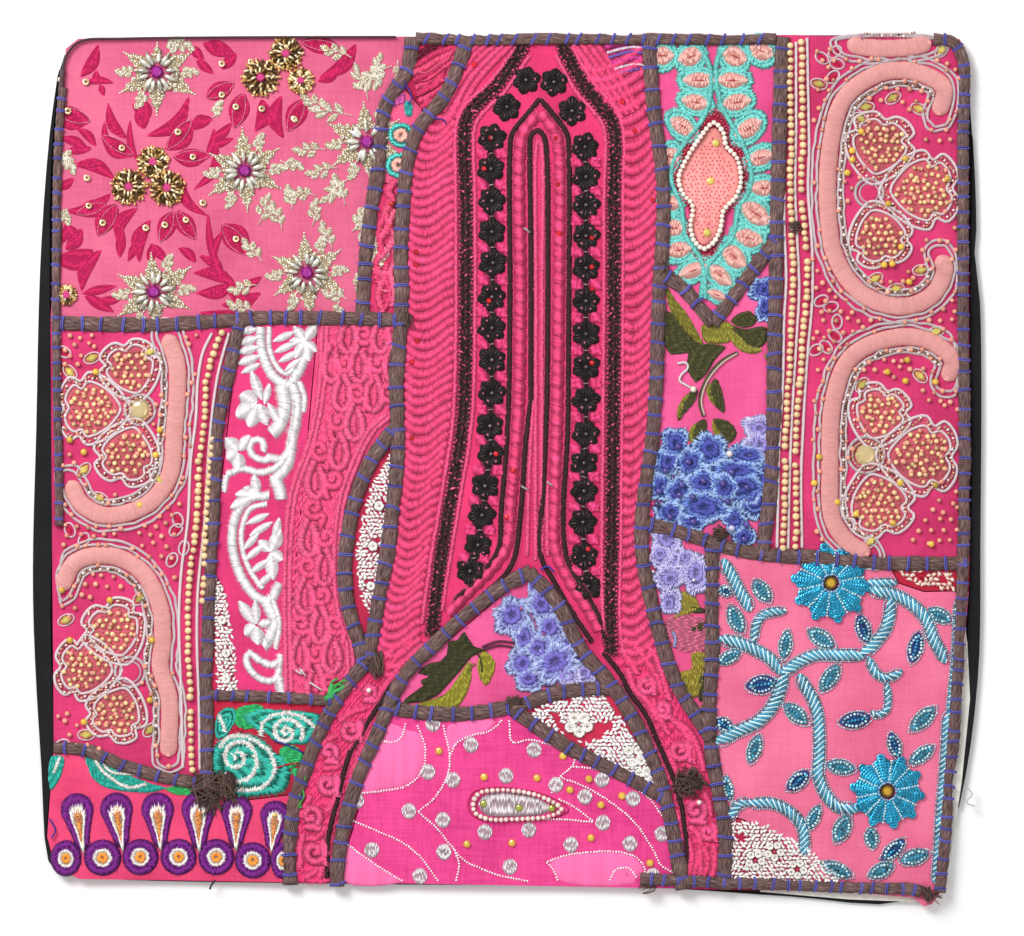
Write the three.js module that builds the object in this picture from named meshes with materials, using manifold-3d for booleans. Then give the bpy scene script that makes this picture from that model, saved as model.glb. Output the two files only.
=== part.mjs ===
// A patchwork cushion cover, empty and lying flat with its face up.
// A black back cloth carries a face of embroidered cloth patches, a strip of white lining shows at one corner,
// and thick yarn cords are laid over the seams between the patches.
// Millimetres. X runs to the right and Y to the top edge of the face, and Z = 0 is the underside of the back.

import * as THREE from "three";
import { mergeVertices } from "three/addons/utils/BufferGeometryUtils.js";
import Module from "manifold-3d";

const wasm = await Module();
wasm.setup();

// Driving dimensions
const COVER_WIDTH = 427;
const COVER_LENGTH = 391.5;
const BACK_THICKNESS = 1.2;
const BACK_HEM_HEIGHT = 2.8;
const SMALLEST_HEM_VOLUME = 400;
const LINING_THICKNESS = 1;
const LAYER_GAP = 0.3;
const FACE_UNDERSIDE = BACK_THICKNESS + LAYER_GAP;
const FACE_THICKNESS = 2.6;
const FACE_TOP = FACE_UNDERSIDE + FACE_THICKNESS;
const SEAM_GAP = 0.5;
const CORD_WIDTH = 7;
const CORD_HEIGHT = 3;
const EDGE_CORD_WIDTH = 5.6;
const CORD_SEAT = 0.45;
const CORD_CLEARANCE = 0.35;
const CORD_OVERHANG = 0.6;
const CORD_STEP = 11;
const PADDED_SCROLL_WIDTH = 8.2;
const PADDED_SCROLL_HEIGHT = 1.8;
const OUTLINE_STEP = 14;
const FACE_CELL = 26;

// The face isn't quite flat: long shallow swells of the padded and gathered patches.
const SWELLS = [
  { height: 0.35, across: 1 / 190, along: 1 / 260, phase: 0.4 },
  { height: 0.3, across: -1 / 150, along: 1 / 120, phase: 1.9 },
  { height: 0.2, across: 1 / 95, along: 1 / 170, phase: 3.1 },
];

const COLOURS = {
  blackCotton: 0x1d1c1e,
  liningCotton: 0xeee6dc,
  yarn: 0x5b4640,
  rose: 0xe85a86,
  hotPink: 0xf4316e,
  candyPink: 0xf5579b,
  fuchsia: 0xea2c86,
  carmine: 0xd9204f,
  coral: 0xf0506a,
  peach: 0xf7a99b,
  lace: 0xe6ddd3,
  teal: 0x1f9c8e,
};

// Outlines, each a ring of points that a closed curve runs through.
const BACK_OUTLINE = [
  { x: -206.6, y: -176 },
  { x: -209.7, y: -135 },
  { x: -213.5, y: -58 },
  { x: -212, y: 20 },
  { x: -209.7, y: 103 },
  { x: -204.3, y: 165 },
  { x: -199.5, y: 187 },
  { x: -193, y: 192.4 },
  { x: -178, y: 193.8 },
  { x: 0, y: 194.6 },
  { x: 190, y: 194 },
  { x: 205, y: 189.5 },
  { x: 209, y: 160 },
  { x: 211.4, y: 108 },
  { x: 210.6, y: 98 },
  { x: 213, y: 76 },
  { x: 213.24, y: -30 },
  { x: 212, y: -95 },
  { x: 204, y: -150 },
  { x: 193, y: -182 },
  { x: 178, y: -194.4 },
  { x: 127, y: -192.2 },
  { x: 60, y: -188 },
  { x: -70, y: -186.6 },
  { x: -190, y: -183.6 },
  { x: -203, y: -181 },
];
const FACE_OUTLINE = [
  { x: -204.8, y: -138 },
  { x: -203.9, y: -122 },
  { x: -205.2, y: -65 },
  { x: -203.9, y: -5 },
  { x: -205.4, y: 60 },
  { x: -204.3, y: 145 },
  { x: -198.6, y: 189.5 },
  { x: -193, y: 194.1 },
  { x: -180, y: 194.5 },
  { x: -120, y: 194.8 },
  { x: -60, y: 195 },
  { x: 55, y: 195.3 },
  { x: 190, y: 195.5 },
  { x: 203.8, y: 194 },
  { x: 207.6, y: 186 },
  { x: 208.2, y: 80 },
  { x: 208.7, y: -20 },
  { x: 204.4, y: -130 },
  { x: 201, y: -157.5 },
  { x: 197.6, y: -182 },
  { x: 194.8, y: -190.5 },
  { x: 191.2, y: -195.2 },
  { x: 187.6, y: -196.4 },
  { x: 183, y: -192.4 },
  { x: 90, y: -188.8 },
  { x: -20, y: -185 },
  { x: -100, y: -185.6 },
  { x: -192, y: -184 },
  { x: -203, y: -179 },
  { x: -206.8, y: -165 },
];
// A strip of the white lining that shows beyond the face at the lower right corner, listed round its edge.
const LINING_STRIP = [
  { x: 186, y: -58 },
  { x: 204.6, y: -58 },
  { x: 207.4, y: -78 },
  { x: 208.6, y: -103 },
  { x: 204.8, y: -141 },
  { x: 199.2, y: -178 },
  { x: 194, y: -190 },
  { x: 184, y: -194.6 },
  { x: 154, y: -193.4 },
  { x: 114, y: -190 },
  { x: 114, y: -172 },
  { x: 179, y: -172 },
];

// Seams between patches. A cord of the stated width lies over a seam, and a seam with no width has none.
const SEAMS = [
  { name: "centre_left", width: CORD_WIDTH,
    route: [[-16.5, 198], [-26.5, 171], [-41.5, 150], [-47.5, 108], [-47.5, 70], [-50, 40], [-49, 13], [-53.5, -33], [-62.5, -86]] },
  { name: "centre_right", width: CORD_WIDTH,
    route: [[63.5, 198], [65.7, 166], [70.5, 125], [68.3, 76], [66, 20], [60.4, -28], [63.5, -53], [75.5, -94], [92, -121]] },
  { name: "arch_left", width: CORD_WIDTH,
    route: [[11, -45.5], [-2, -52.5], [-28, -74], [-47, -94], [-58.5, -119], [-70.5, -149], [-76, -176], [-76.5, -189]] },
  { name: "arch_right", width: CORD_WIDTH,
    route: [[9.5, -46], [22, -59], [33, -80], [50, -101], [65, -129], [72, -150], [79.7, -192]] },
  { name: "scroll_left", width: CORD_WIDTH,
    route: [[124, 198], [122, 135], [120.4, 60], [119.2, 2], [115, -39]] },
  { name: "right_cross", width: CORD_WIDTH,
    route: [[59.5, -23.5], [78, -28], [107, -36.5], [150, -40.5], [180, -42.2], [211, -41.8]] },
  { name: "vine_left", width: CORD_WIDTH,
    route: [[92.2, -31], [92.2, -81], [91.4, -120], [96.3, -151], [98.5, -166], [96.8, -192]] },
  { name: "left_cross", width: CORD_WIDTH,
    route: [[-208, 66.2], [-157, 65.3], [-111, 68.4], [-65, 68], [-47, 67]] },
  { name: "zari_right", width: CORD_WIDTH,
    route: [[-42.5, 198], [-45, 180], [-54.5, 164], [-58, 137], [-63, 101], [-65.2, 67]] },
  { name: "left_column", width: 6,
    route: [[-120, 68.5], [-130, 18], [-132, -25], [-135, -81], [-135, -143]] },
  { name: "left_foot", width: 6,
    route: [[-209, -124.6], [-191, -126], [-170, -134], [-154, -138.4], [-134, -142]] },
  { name: "sliver_left", width: CORD_WIDTH,
    route: [[-49, 21], [-61.6, 3.5], [-71, -25], [-72.5, -55], [-63.5, -88]] },
  { name: "lower_left", width: CORD_WIDTH,
    route: [[-62, -84], [-77.5, -105], [-89, -130], [-97, -157], [-97.7, -190]] },
  { name: "teal_top", width: 5.5,
    route: [[-135.5, -101], [-98, -102.6], [-75, -104]] },
  { name: "arch_foot", width: CORD_WIDTH,
    route: [[-54.5, -107], [-28, -110], [0.5, -107], [24, -100], [49, -98]] },
  { name: "lace_foot", width: CORD_WIDTH,
    route: [[1, -106.5], [26, -124], [50, -136], [72, -148]] },
  { name: "notch_left", width: CORD_WIDTH,
    route: [[67.5, 89.5], [79, 82], [93, 66]] },
  { name: "notch_right", width: CORD_WIDTH,
    route: [[92.4, 65.6], [107.5, 85.5], [122.5, 105]] },
  { name: "crimson_cap", width: 0, route: [[-49.5, 176.5], [-42.8, 166.5], [-34.5, 158]] },
  { name: "teal_snippet", width: 0, route: [[-61, 129], [-43.5, 129]] },
  { name: "striped_snippet", width: 0, route: [[42, 199], [50, 187], [67, 175]] },
  { name: "lace_strip", width: 0, route: [[-135, -43.5], [-126.5, -56], [-123.8, -79], [-122, -104]] },
  { name: "white_scroll", width: 0, route: [[-84.5, 71], [-93, 14], [-100, -50], [-100.4, -105]] },
  { name: "chenille_snippet", width: 0, route: [[171, -40], [177, -51.5], [190, -55], [212, -54]] },
  { name: "lace_corner", width: 0, route: [[94, -155.5], [107, -157.5], [127, -168], [151, -193]] },
  { name: "spirals_foot", width: 0, route: [[-137, -140.5], [-120, -148], [-104, -147.6], [-93, -145.5]] },
];

// Cords along the outer edge of the face.
const EDGE_CORDS = [
  { name: "edge_top", width: 5.2,
    route: [[-41, 193.9], [-10, 193.5], [20, 194], [87, 193.5], [121, 193.8]] },
  { name: "edge_right", width: EDGE_CORD_WIDTH,
    route: [[192, 193.8], [200.5, 192.6], [205, 185], [205.2, 150], [205.2, 76], [205.8, -9], [203.6, -77], [198, -155],
      [194.6, -190]] },
  { name: "edge_bottom", width: EDGE_CORD_WIDTH,
    route: [[60, -184], [114, -186.2], [154, -187.8], [183, -189], [191, -191.5]] },
  { name: "edge_left", width: 4,
    route: [[-200, 172], [-202.2, 140], [-202.8, 67], [-201.6, -5], [-201.4, -25]] },
];

// Padded satin scrolls of the two beaded borders.
const PADDED_SCROLLS = [
  { name: "scroll_right_upper",
    route: [[194, 159.5], [196.5, 172], [184, 179], [168, 178.6], [152, 167.5], [145.5, 146], [144.5, 115], [148, 95], [160, 79],
      [178, 73.6], [191, 78.5], [197, 90], [194.5, 96.5]] },
  { name: "scroll_right_lower",
    route: [[197.5, 40], [200.5, 49], [190, 58], [174, 59.5], [155, 51], [147, 32], [145.3, 0], [146.5, -22], [153, -32], [163, -38.5]] },
  { name: "scroll_right_top", route: [[153, 192.1], [163, 190], [180, 190.2], [191, 192.4]] },
  { name: "scroll_left_upper",
    route: [[-153, 61], [-148.5, 47], [-149.5, 18], [-152, -3], [-162, -15.5], [-180, -20.5], [-191, -15.5], [-197, -5]] },
  { name: "scroll_left_lower",
    route: [[-201, -54], [-194, -41.5], [-178, -38.6], [-164, -46], [-156, -62], [-155, -78], [-156, -88], [-152, -103], [-152.4, -129]] },
];

// Patches, each found by a point that lies inside it.
const PATCHES = [
  { name: "patch_zari_floral", x: -130, y: 130, colour: COLOURS.rose },
  { name: "patch_crimson_cap", x: -33, y: 178, colour: COLOURS.carmine },
  { name: "patch_teal_snippet", x: -51, y: 145, colour: COLOURS.candyPink },
  { name: "patch_crimson_strip", x: -56, y: 95, colour: COLOURS.carmine },
  { name: "patch_neckline", x: 10, y: 70, colour: COLOURS.hotPink },
  { name: "patch_striped_snippet", x: 59, y: 190, colour: COLOURS.candyPink },
  { name: "patch_lozenge", x: 93, y: 130, colour: COLOURS.candyPink },
  { name: "patch_blue_blossom", x: 100, y: 30, colour: COLOURS.candyPink },
  { name: "patch_right_scroll", x: 170, y: 60, colour: COLOURS.carmine },
  { name: "patch_chenille_snippet", x: 195, y: -49, colour: COLOURS.lace },
  { name: "patch_bead_vine", x: 150, y: -110, colour: COLOURS.rose },
  { name: "patch_lace_corner", x: 110, y: -175, colour: COLOURS.lace },
  { name: "patch_violet_blossom", x: 80, y: -60, colour: COLOURS.candyPink },
  { name: "patch_left_scroll", x: -170, y: 0, colour: COLOURS.carmine },
  { name: "patch_white_scroll", x: -110, y: -20, colour: COLOURS.candyPink },
  { name: "patch_braided", x: -75, y: 20, colour: COLOURS.hotPink },
  { name: "patch_lace_strip", x: -129, y: -85, colour: COLOURS.lace },
  { name: "patch_spirals", x: -115, y: -125, colour: COLOURS.teal },
  { name: "patch_purple_border", x: -150, y: -165, colour: COLOURS.coral },
  { name: "patch_dotted_paisley", x: 0, y: -150, colour: COLOURS.fuchsia },
  { name: "patch_arch_blossom", x: 0, y: -85, colour: COLOURS.candyPink },
  { name: "patch_lace_triangle", x: 38, y: -112, colour: COLOURS.lace },
  { name: "patch_lace_sliver", x: -64, y: -40, colour: COLOURS.lace },
];

const FULL_TURN = 2 * Math.PI;

/** Height of the face's upper surface over the underside of the back. */
function faceHeight(x, y) {
  const swell = SWELLS.map((s) => s.height * Math.sin(FULL_TURN * (x * s.across + y * s.along) + s.phase));
  return FACE_TOP + swell.reduce((sum, rise) => sum + rise, 0);
}

/** A manifold solid from a closed three.js geometry. */
function solidFrom(geometry) {
  const bare = geometry.index ? geometry.toNonIndexed() : geometry.clone();
  bare.deleteAttribute("normal");
  bare.deleteAttribute("uv");
  const merged = mergeVertices(bare, 1e-4);
  return new wasm.Manifold(
    new wasm.Mesh({
      numProp: 3,
      vertProperties: merged.attributes.position.array,
      triVerts: new Uint32Array(merged.index.array),
    }),
  );
}

/** A named mesh from a solid, in a cloth's or yarn's plain finish. */
function meshFrom(name, solid, colour, roughness = 0.85) {
  const { vertProperties, triVerts } = solid.getMesh();
  const geometry = new THREE.BufferGeometry();
  geometry.setAttribute("position", new THREE.BufferAttribute(vertProperties, 3));
  geometry.setIndex(new THREE.BufferAttribute(triVerts, 1));
  const flat = geometry.toNonIndexed();
  flat.computeVertexNormals();
  const mesh = new THREE.Mesh(flat, new THREE.MeshStandardMaterial({ color: colour, roughness, metalness: 0 }));
  mesh.name = name;
  return mesh;
}

/** A smooth closed outline that keeps every point of a ring and fills in the long spans between them. */
function ringPoints(ring) {
  const corners = ring.map((p) => new THREE.Vector3(p.x, p.y, 0));
  const curve = new THREE.CatmullRomCurve3(corners, true, "centripetal");
  return corners.flatMap((corner, i) => {
    const span = corner.distanceTo(corners[(i + 1) % corners.length]);
    const count = Math.max(1, Math.round(span / OUTLINE_STEP));
    return Array.from({ length: count }, (_, k) => {
      const p = curve.getPoint((i + k / count) / corners.length);
      return new THREE.Vector2(p.x, p.y);
    });
  });
}

/** An outline moved outwards by a distance, for a ring that runs clockwise. */
function widened(points, distance) {
  return points.map((p, i) => {
    const before = points.at(i - 1);
    const after = points[(i + 1) % points.length];
    const along = after.clone().sub(before).normalize();
    return new THREE.Vector2(p.x - along.y * distance, p.y + along.x * distance);
  });
}

/** An upright solid between two heights over an outline. */
function prism(points, low, high) {
  const geometry = new THREE.ExtrudeGeometry(new THREE.Shape(points), { depth: high - low, bevelEnabled: false });
  geometry.translate(0, 0, low);
  return solidFrom(geometry);
}

/** A smooth level curve along a route, and the number of steps that it is swept in. */
function routeCurve(route) {
  const curve = new THREE.CatmullRomCurve3(route.map(([x, y]) => new THREE.Vector3(x, y, 0)), false, "centripetal");
  return { curve, steps: Math.max(2, Math.round(curve.getLength() / CORD_STEP)) };
}

/** A thin upright wall along a seam, which parts the patches on its two sides. */
function seamWall(route) {
  const { curve, steps } = routeCurve(route);
  const middle = curve.getSpacedPoints(steps);
  const sides = [1, -1].map((side) =>
    middle.map((p, i) => {
      const along = curve.getTangentAt(i / steps);
      return new THREE.Vector2(p.x - (side * along.y * SEAM_GAP) / 2, p.y + (side * along.x * SEAM_GAP) / 2);
    }),
  );
  return prism([...sides[0], ...sides[1].reverse()], 0, 2 * FACE_TOP);
}

/**
 * A cord with a flat underside and a rounded back, laid along a route on the face.
 * It is swept level with the shape's -X turned up, and then lifted onto the swelling face.
 */
function laidCord(route, width, height, lift) {
  const { curve, steps } = routeCurve(route);
  const half = width / 2;
  const section = new THREE.Shape([
    new THREE.Vector2(0, -half),
    new THREE.Vector2(0, half),
    new THREE.Vector2(-0.62 * height, 0.84 * half),
    new THREE.Vector2(-height, 0.34 * half),
    new THREE.Vector2(-height, -0.34 * half),
    new THREE.Vector2(-0.62 * height, -0.84 * half),
  ]);
  const cord = new THREE.ExtrudeGeometry(section, { steps, extrudePath: curve });
  const place = cord.attributes.position;
  for (let i = 0; i < place.count; i++) {
    place.setZ(i, place.getZ(i) + faceHeight(place.getX(i), place.getY(i)) + lift);
  }
  return solidFrom(cord);
}

/** The largest body of a solid, which drops the crumbs that a cut leaves. */
function largest(solid) {
  return solid.decompose().reduce((best, body) => (body.volume() > best.volume() ? body : best));
}

/** The black back cloth, whose hemmed margin stands up round the face. */
function makeBack() {
  const outline = ringPoints(BACK_OUTLINE);
  const insideHem = prism(widened(ringPoints(FACE_OUTLINE), SEAM_GAP), -1, BACK_HEM_HEIGHT + 1);
  const lining = prism(liningPoints(LAYER_GAP), -1, BACK_HEM_HEIGHT + 1);
  const hem = prism(outline, 0, BACK_HEM_HEIGHT).subtract(insideHem).subtract(lining);
  const wideHem = hem.decompose().filter((body) => body.volume() > SMALLEST_HEM_VOLUME);
  return wideHem.reduce((sum, body) => sum.add(body), prism(outline, 0, BACK_THICKNESS));
}

/** The outline of the lining strip, moved outwards by a distance. */
function liningPoints(grow) {
  return widened(LINING_STRIP.map((p) => new THREE.Vector2(p.x, p.y)), grow);
}

/** The strip of white lining between the back and the face, grown on all sides to cut its room in the face. */
function makeLining(grow = 0) {
  return prism(liningPoints(grow), FACE_UNDERSIDE - grow, FACE_UNDERSIDE + LINING_THICKNESS + grow);
}

/** The whole face before it is parted: a slab with a flat underside and a gently swelling top. */
function makeFace() {
  const across = Math.round(COVER_WIDTH / FACE_CELL);
  const along = Math.round(COVER_LENGTH / FACE_CELL);
  const slab = new THREE.BoxGeometry(COVER_WIDTH + FACE_CELL, COVER_LENGTH + FACE_CELL, FACE_THICKNESS, across, along, 1);
  slab.translate(0, 0, FACE_UNDERSIDE + FACE_THICKNESS / 2);
  const place = slab.attributes.position;
  for (let i = 0; i < place.count; i++) {
    if (place.getZ(i) > FACE_UNDERSIDE + FACE_THICKNESS / 2) place.setZ(i, faceHeight(place.getX(i), place.getY(i)));
  }
  return solidFrom(slab).intersect(prism(ringPoints(FACE_OUTLINE), 0, 2 * FACE_TOP));
}

/** The face parted along its seams, with a shallow recess where the lining lies under it. */
function makePatches() {
  const walls = SEAMS.map((seam) => seamWall(seam.route));
  const parted = walls.reduce((face, wall) => face.subtract(wall), makeFace());
  const pieces = parted.subtract(makeLining(LAYER_GAP)).decompose();
  return PATCHES.map((patch) => {
    const spot = [[-1, -1], [1, -1], [1, 1], [-1, 1]].map(([dx, dy]) => new THREE.Vector2(patch.x + dx, patch.y + dy));
    const probe = prism(spot, 0, 2 * FACE_TOP);
    const piece = pieces.find((body) => body.intersect(probe).volume() > 0);
    return meshFrom(patch.name, piece, patch.colour);
  });
}

/** Every cord, ended at the edge of the face and cut clear of the ones before it where they meet. */
function makeCords() {
  const rows = [...SEAMS.filter((seam) => seam.width > 0), ...EDGE_CORDS];
  const reach = prism(widened(ringPoints(FACE_OUTLINE), CORD_OVERHANG), 0, 3 * FACE_TOP);
  const cords = [];
  let taken = null;
  for (const row of rows) {
    const cord = laidCord(row.route, row.width, CORD_HEIGHT, CORD_SEAT).intersect(reach);
    const cleared = taken ? largest(cord.subtract(taken)) : cord;
    cords.push(meshFrom("cord_" + row.name, cleared, COLOURS.yarn, 0.95));
    const around = laidCord(row.route, row.width + 2 * CORD_CLEARANCE, CORD_HEIGHT + 1, CORD_SEAT - 0.5);
    taken = taken ? taken.add(around) : around;
  }
  return { cords, taken };
}

/** The padded scrolls, cut clear of the cords that cross them. */
function makeScrolls(taken) {
  return PADDED_SCROLLS.map((row) => {
    const scroll = laidCord(row.route, PADDED_SCROLL_WIDTH, PADDED_SCROLL_HEIGHT, CORD_SEAT);
    return meshFrom(row.name, largest(scroll.subtract(taken)), COLOURS.peach, 0.55);
  });
}

const cover = new THREE.Group();
const { cords, taken } = makeCords();
cover.add(meshFrom("back_panel", makeBack(), COLOURS.blackCotton, 0.9));
cover.add(meshFrom("lining_strip", makeLining(), COLOURS.liningCotton, 0.9));
cover.add(...makePatches(), ...cords, ...makeScrolls(taken));

export default cover;
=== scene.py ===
"""Dresses the patchwork cushion cover with its cloths, couched cords, embroidery, beads and sequins.

Places are given as (across, down) in the pixels of the 1024 x 936 photograph, through at(), or in millimetres from
the cover's centre, as in the part's source. Finished meshes are in metres.
"""

import logging
import math
from dataclasses import dataclass, field
from enum import Enum
from typing import Iterable, Sequence

import bmesh
import bpy
import numpy as np
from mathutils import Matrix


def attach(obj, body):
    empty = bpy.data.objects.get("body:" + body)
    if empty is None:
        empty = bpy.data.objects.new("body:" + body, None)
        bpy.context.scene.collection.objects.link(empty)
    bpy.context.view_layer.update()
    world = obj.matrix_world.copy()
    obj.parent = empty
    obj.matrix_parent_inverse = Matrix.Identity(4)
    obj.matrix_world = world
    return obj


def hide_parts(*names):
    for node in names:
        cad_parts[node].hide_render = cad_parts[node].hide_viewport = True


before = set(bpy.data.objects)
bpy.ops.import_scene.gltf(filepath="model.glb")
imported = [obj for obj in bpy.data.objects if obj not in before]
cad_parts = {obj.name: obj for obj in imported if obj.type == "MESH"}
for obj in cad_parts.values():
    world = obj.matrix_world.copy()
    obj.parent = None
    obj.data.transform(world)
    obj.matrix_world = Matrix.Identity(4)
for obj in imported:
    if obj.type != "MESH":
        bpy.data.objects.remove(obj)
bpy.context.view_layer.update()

log = logging.getLogger("cover")

MM = 0.001
PIXEL = 0.45
PHOTO_CENTRE = (507.0, 470.0)
FACE_TOP = 4.1
BODY = "root"

Points = np.ndarray
Route = Sequence[tuple[float, float]]


def at(pixels: Route) -> Points:
    """Returns the millimetre places of points given in the photograph's pixels."""
    spots = np.asarray(pixels, float)
    return np.column_stack([(spots[:, 0] - PHOTO_CENTRE[0]) * PIXEL, (PHOTO_CENTRE[1] - spots[:, 1]) * PIXEL])


def dye(code: str) -> tuple[float, float, float]:
    """Returns the linear colour of a six-digit hexadecimal colour."""
    parts = [int(code[i:i + 2], 16) / 255 for i in (0, 2, 4)]
    return tuple(c / 12.92 if c <= 0.04045 else ((c + 0.055) / 1.055) ** 2.4 for c in parts)


def smooth(points: Points, closed: bool = False, per_span: int = 12) -> Points:
    """Runs a centripetal curve through points.

    Args:
        points: The places to pass through, one a row.
        closed: Whether the curve returns to its first point.
        per_span: How many steps there are between two points.

    Returns:
        The curve's points, one a row.
    """
    points = np.asarray(points, float)
    if len(points) < 3:
        return points
    ring = np.vstack([points[-1:], points, points[:2]]) if closed else np.vstack(
        [2 * points[0] - points[1], points, 2 * points[-1] - points[-2]])
    a, b, c, d = (ring[i:len(ring) - 3 + i] for i in range(4))
    knots = [np.sqrt(np.linalg.norm(q - p, axis=1) + 1e-9) for p, q in ((a, b), (b, c), (c, d))]
    t1, t2, t3 = knots[0], knots[0] + knots[1], knots[0] + knots[1] + knots[2]
    out = []
    for step in np.arange(per_span) / per_span:
        t = (t1 + (t2 - t1) * step)[:, None]
        u1, u2, u3 = t1[:, None], t2[:, None], t3[:, None]
        p = a * (u1 - t) / u1 + b * t / u1
        q = b * (u2 - t) / (u2 - u1) + c * (t - u1) / (u2 - u1)
        r = c * (u3 - t) / (u3 - u2) + d * (t - u2) / (u3 - u2)
        s = p * (u2 - t) / u2 + q * t / u2
        w = q * (u3 - t) / (u3 - u1) + r * (t - u1) / (u3 - u1)
        out.append(s * (u2 - t) / (u2 - u1) + w * (t - u1) / (u2 - u1))
    line = np.stack(out, axis=1).reshape(-1, points.shape[1])
    return line if closed else np.vstack([line, points[-1:]])


def spaced(line: Points, step: float, least: int = 2) -> Points:
    """Sets a line's points again, an even step apart.

    Args:
        line: The line's points, one a row.
        step: The distance between two points.
        least: The fewest points that it may have.

    Returns:
        The new points, one a row.
    """
    runs = np.r_[0, np.cumsum(np.linalg.norm(np.diff(line, axis=0), axis=1))]
    count = max(least, int(round(runs[-1] / step)) + 1)
    marks = np.linspace(0, runs[-1], count)
    return np.column_stack([np.interp(marks, runs, line[:, k]) for k in range(line.shape[1])])


def lengths(line: Points) -> Points:
    """Returns how far along a line each of its points is."""
    return np.r_[0, np.cumsum(np.linalg.norm(np.diff(line, axis=0), axis=1))]


def sideways(line: Points) -> Points:
    """Finds which way is left of a plane line.

    Args:
        line: The line's points, one a row.

    Returns:
        The unit vector to the left at each point.
    """
    along = np.gradient(line, axis=0)
    along /= np.linalg.norm(along, axis=1, keepdims=True) + 1e-12
    return np.column_stack([-along[:, 1], along[:, 0]])


# The seams between the patches, in millimetres, as the part's source has them. A width of 0 is a seam with no cord.
SEAMS: dict[str, tuple[float, Route]] = {
    "centre_left": (7, [(-16.5, 198), (-26.5, 171), (-41.5, 150), (-47.5, 108), (-47.5, 70), (-50, 40), (-49, 13),
                        (-53.5, -33), (-62.5, -86)]),
    "centre_right": (7, [(63.5, 198), (65.7, 166), (70.5, 125), (68.3, 76), (66, 20), (60.4, -28), (63.5, -53),
                         (75.5, -94), (92, -121)]),
    "arch_left": (7, [(11, -45.5), (-2, -52.5), (-28, -74), (-47, -94), (-58.5, -119), (-70.5, -149), (-76, -176),
                      (-76.5, -189)]),
    "arch_right": (7, [(9.5, -46), (22, -59), (33, -80), (50, -101), (65, -129), (72, -150), (79.7, -192)]),
    "scroll_left": (7, [(124, 198), (122, 135), (120.4, 60), (119.2, 2), (115, -39)]),
    "right_cross": (7, [(59.5, -23.5), (78, -28), (107, -36.5), (150, -40.5), (180, -42.2), (211, -41.8)]),
    "vine_left": (7, [(92.2, -31), (92.2, -81), (91.4, -120), (96.3, -151), (98.5, -166), (96.8, -192)]),
    "left_cross": (7, [(-208, 66.2), (-157, 65.3), (-111, 68.4), (-65, 68), (-47, 67)]),
    "zari_right": (7, [(-42.5, 198), (-45, 180), (-54.5, 164), (-58, 137), (-63, 101), (-65.2, 67)]),
    "left_column": (6, [(-120, 68.5), (-130, 18), (-132, -25), (-135, -81), (-135, -143)]),
    "left_foot": (6, [(-209, -124.6), (-191, -126), (-170, -134), (-154, -138.4), (-134, -142)]),
    "sliver_left": (7, [(-49, 21), (-61.6, 3.5), (-71, -25), (-72.5, -55), (-63.5, -88)]),
    "lower_left": (7, [(-62, -84), (-77.5, -105), (-89, -130), (-97, -157), (-97.7, -190)]),
    "teal_top": (5.5, [(-135.5, -101), (-98, -102.6), (-75, -104)]),
    "arch_foot": (7, [(-54.5, -107), (-28, -110), (0.5, -107), (24, -100), (49, -98)]),
    "lace_foot": (7, [(1, -106.5), (26, -124), (50, -136), (72, -148)]),
    "notch_left": (7, [(67.5, 89.5), (79, 82), (93, 66)]),
    "notch_right": (7, [(92.4, 65.6), (107.5, 85.5), (122.5, 105)]),
    "edge_top": (5.2, [(-41, 193.9), (-10, 193.5), (20, 194), (87, 193.5), (121, 193.8)]),
    "edge_right": (5.6, [(192, 193.8), (200.5, 192.6), (205, 185), (205.2, 150), (205.2, 76), (205.8, -9),
                         (203.6, -77), (198, -155), (194.6, -190)]),
    "edge_bottom": (5.6, [(60, -184), (114, -186.2), (154, -187.8), (183, -189), (191, -191.5)]),
    "edge_left": (4, [(-200, 172), (-202.2, 140), (-202.8, 67), (-201.6, -5), (-201.4, -25)]),
    "crimson_cap": (0, [(-49.5, 176.5), (-42.8, 166.5), (-34.5, 158)]),
    "teal_snippet": (0, [(-61, 129), (-43.5, 129)]),
    "striped_snippet": (0, [(42, 199), (50, 187), (67, 175)]),
    "lace_strip": (0, [(-135, -43.5), (-126.5, -56), (-123.8, -79), (-122, -104)]),
    "white_scroll": (0, [(-84.5, 71), (-93, 14), (-100, -50), (-100.4, -105)]),
    "chenille_snippet": (0, [(171, -40), (177, -51.5), (190, -55), (212, -54)]),
    "lace_corner": (0, [(94, -155.5), (107, -157.5), (127, -168), (151, -193)]),
    "spirals_foot": (0, [(-137, -140.5), (-120, -148), (-104, -147.6), (-93, -145.5)]),
}


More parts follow.
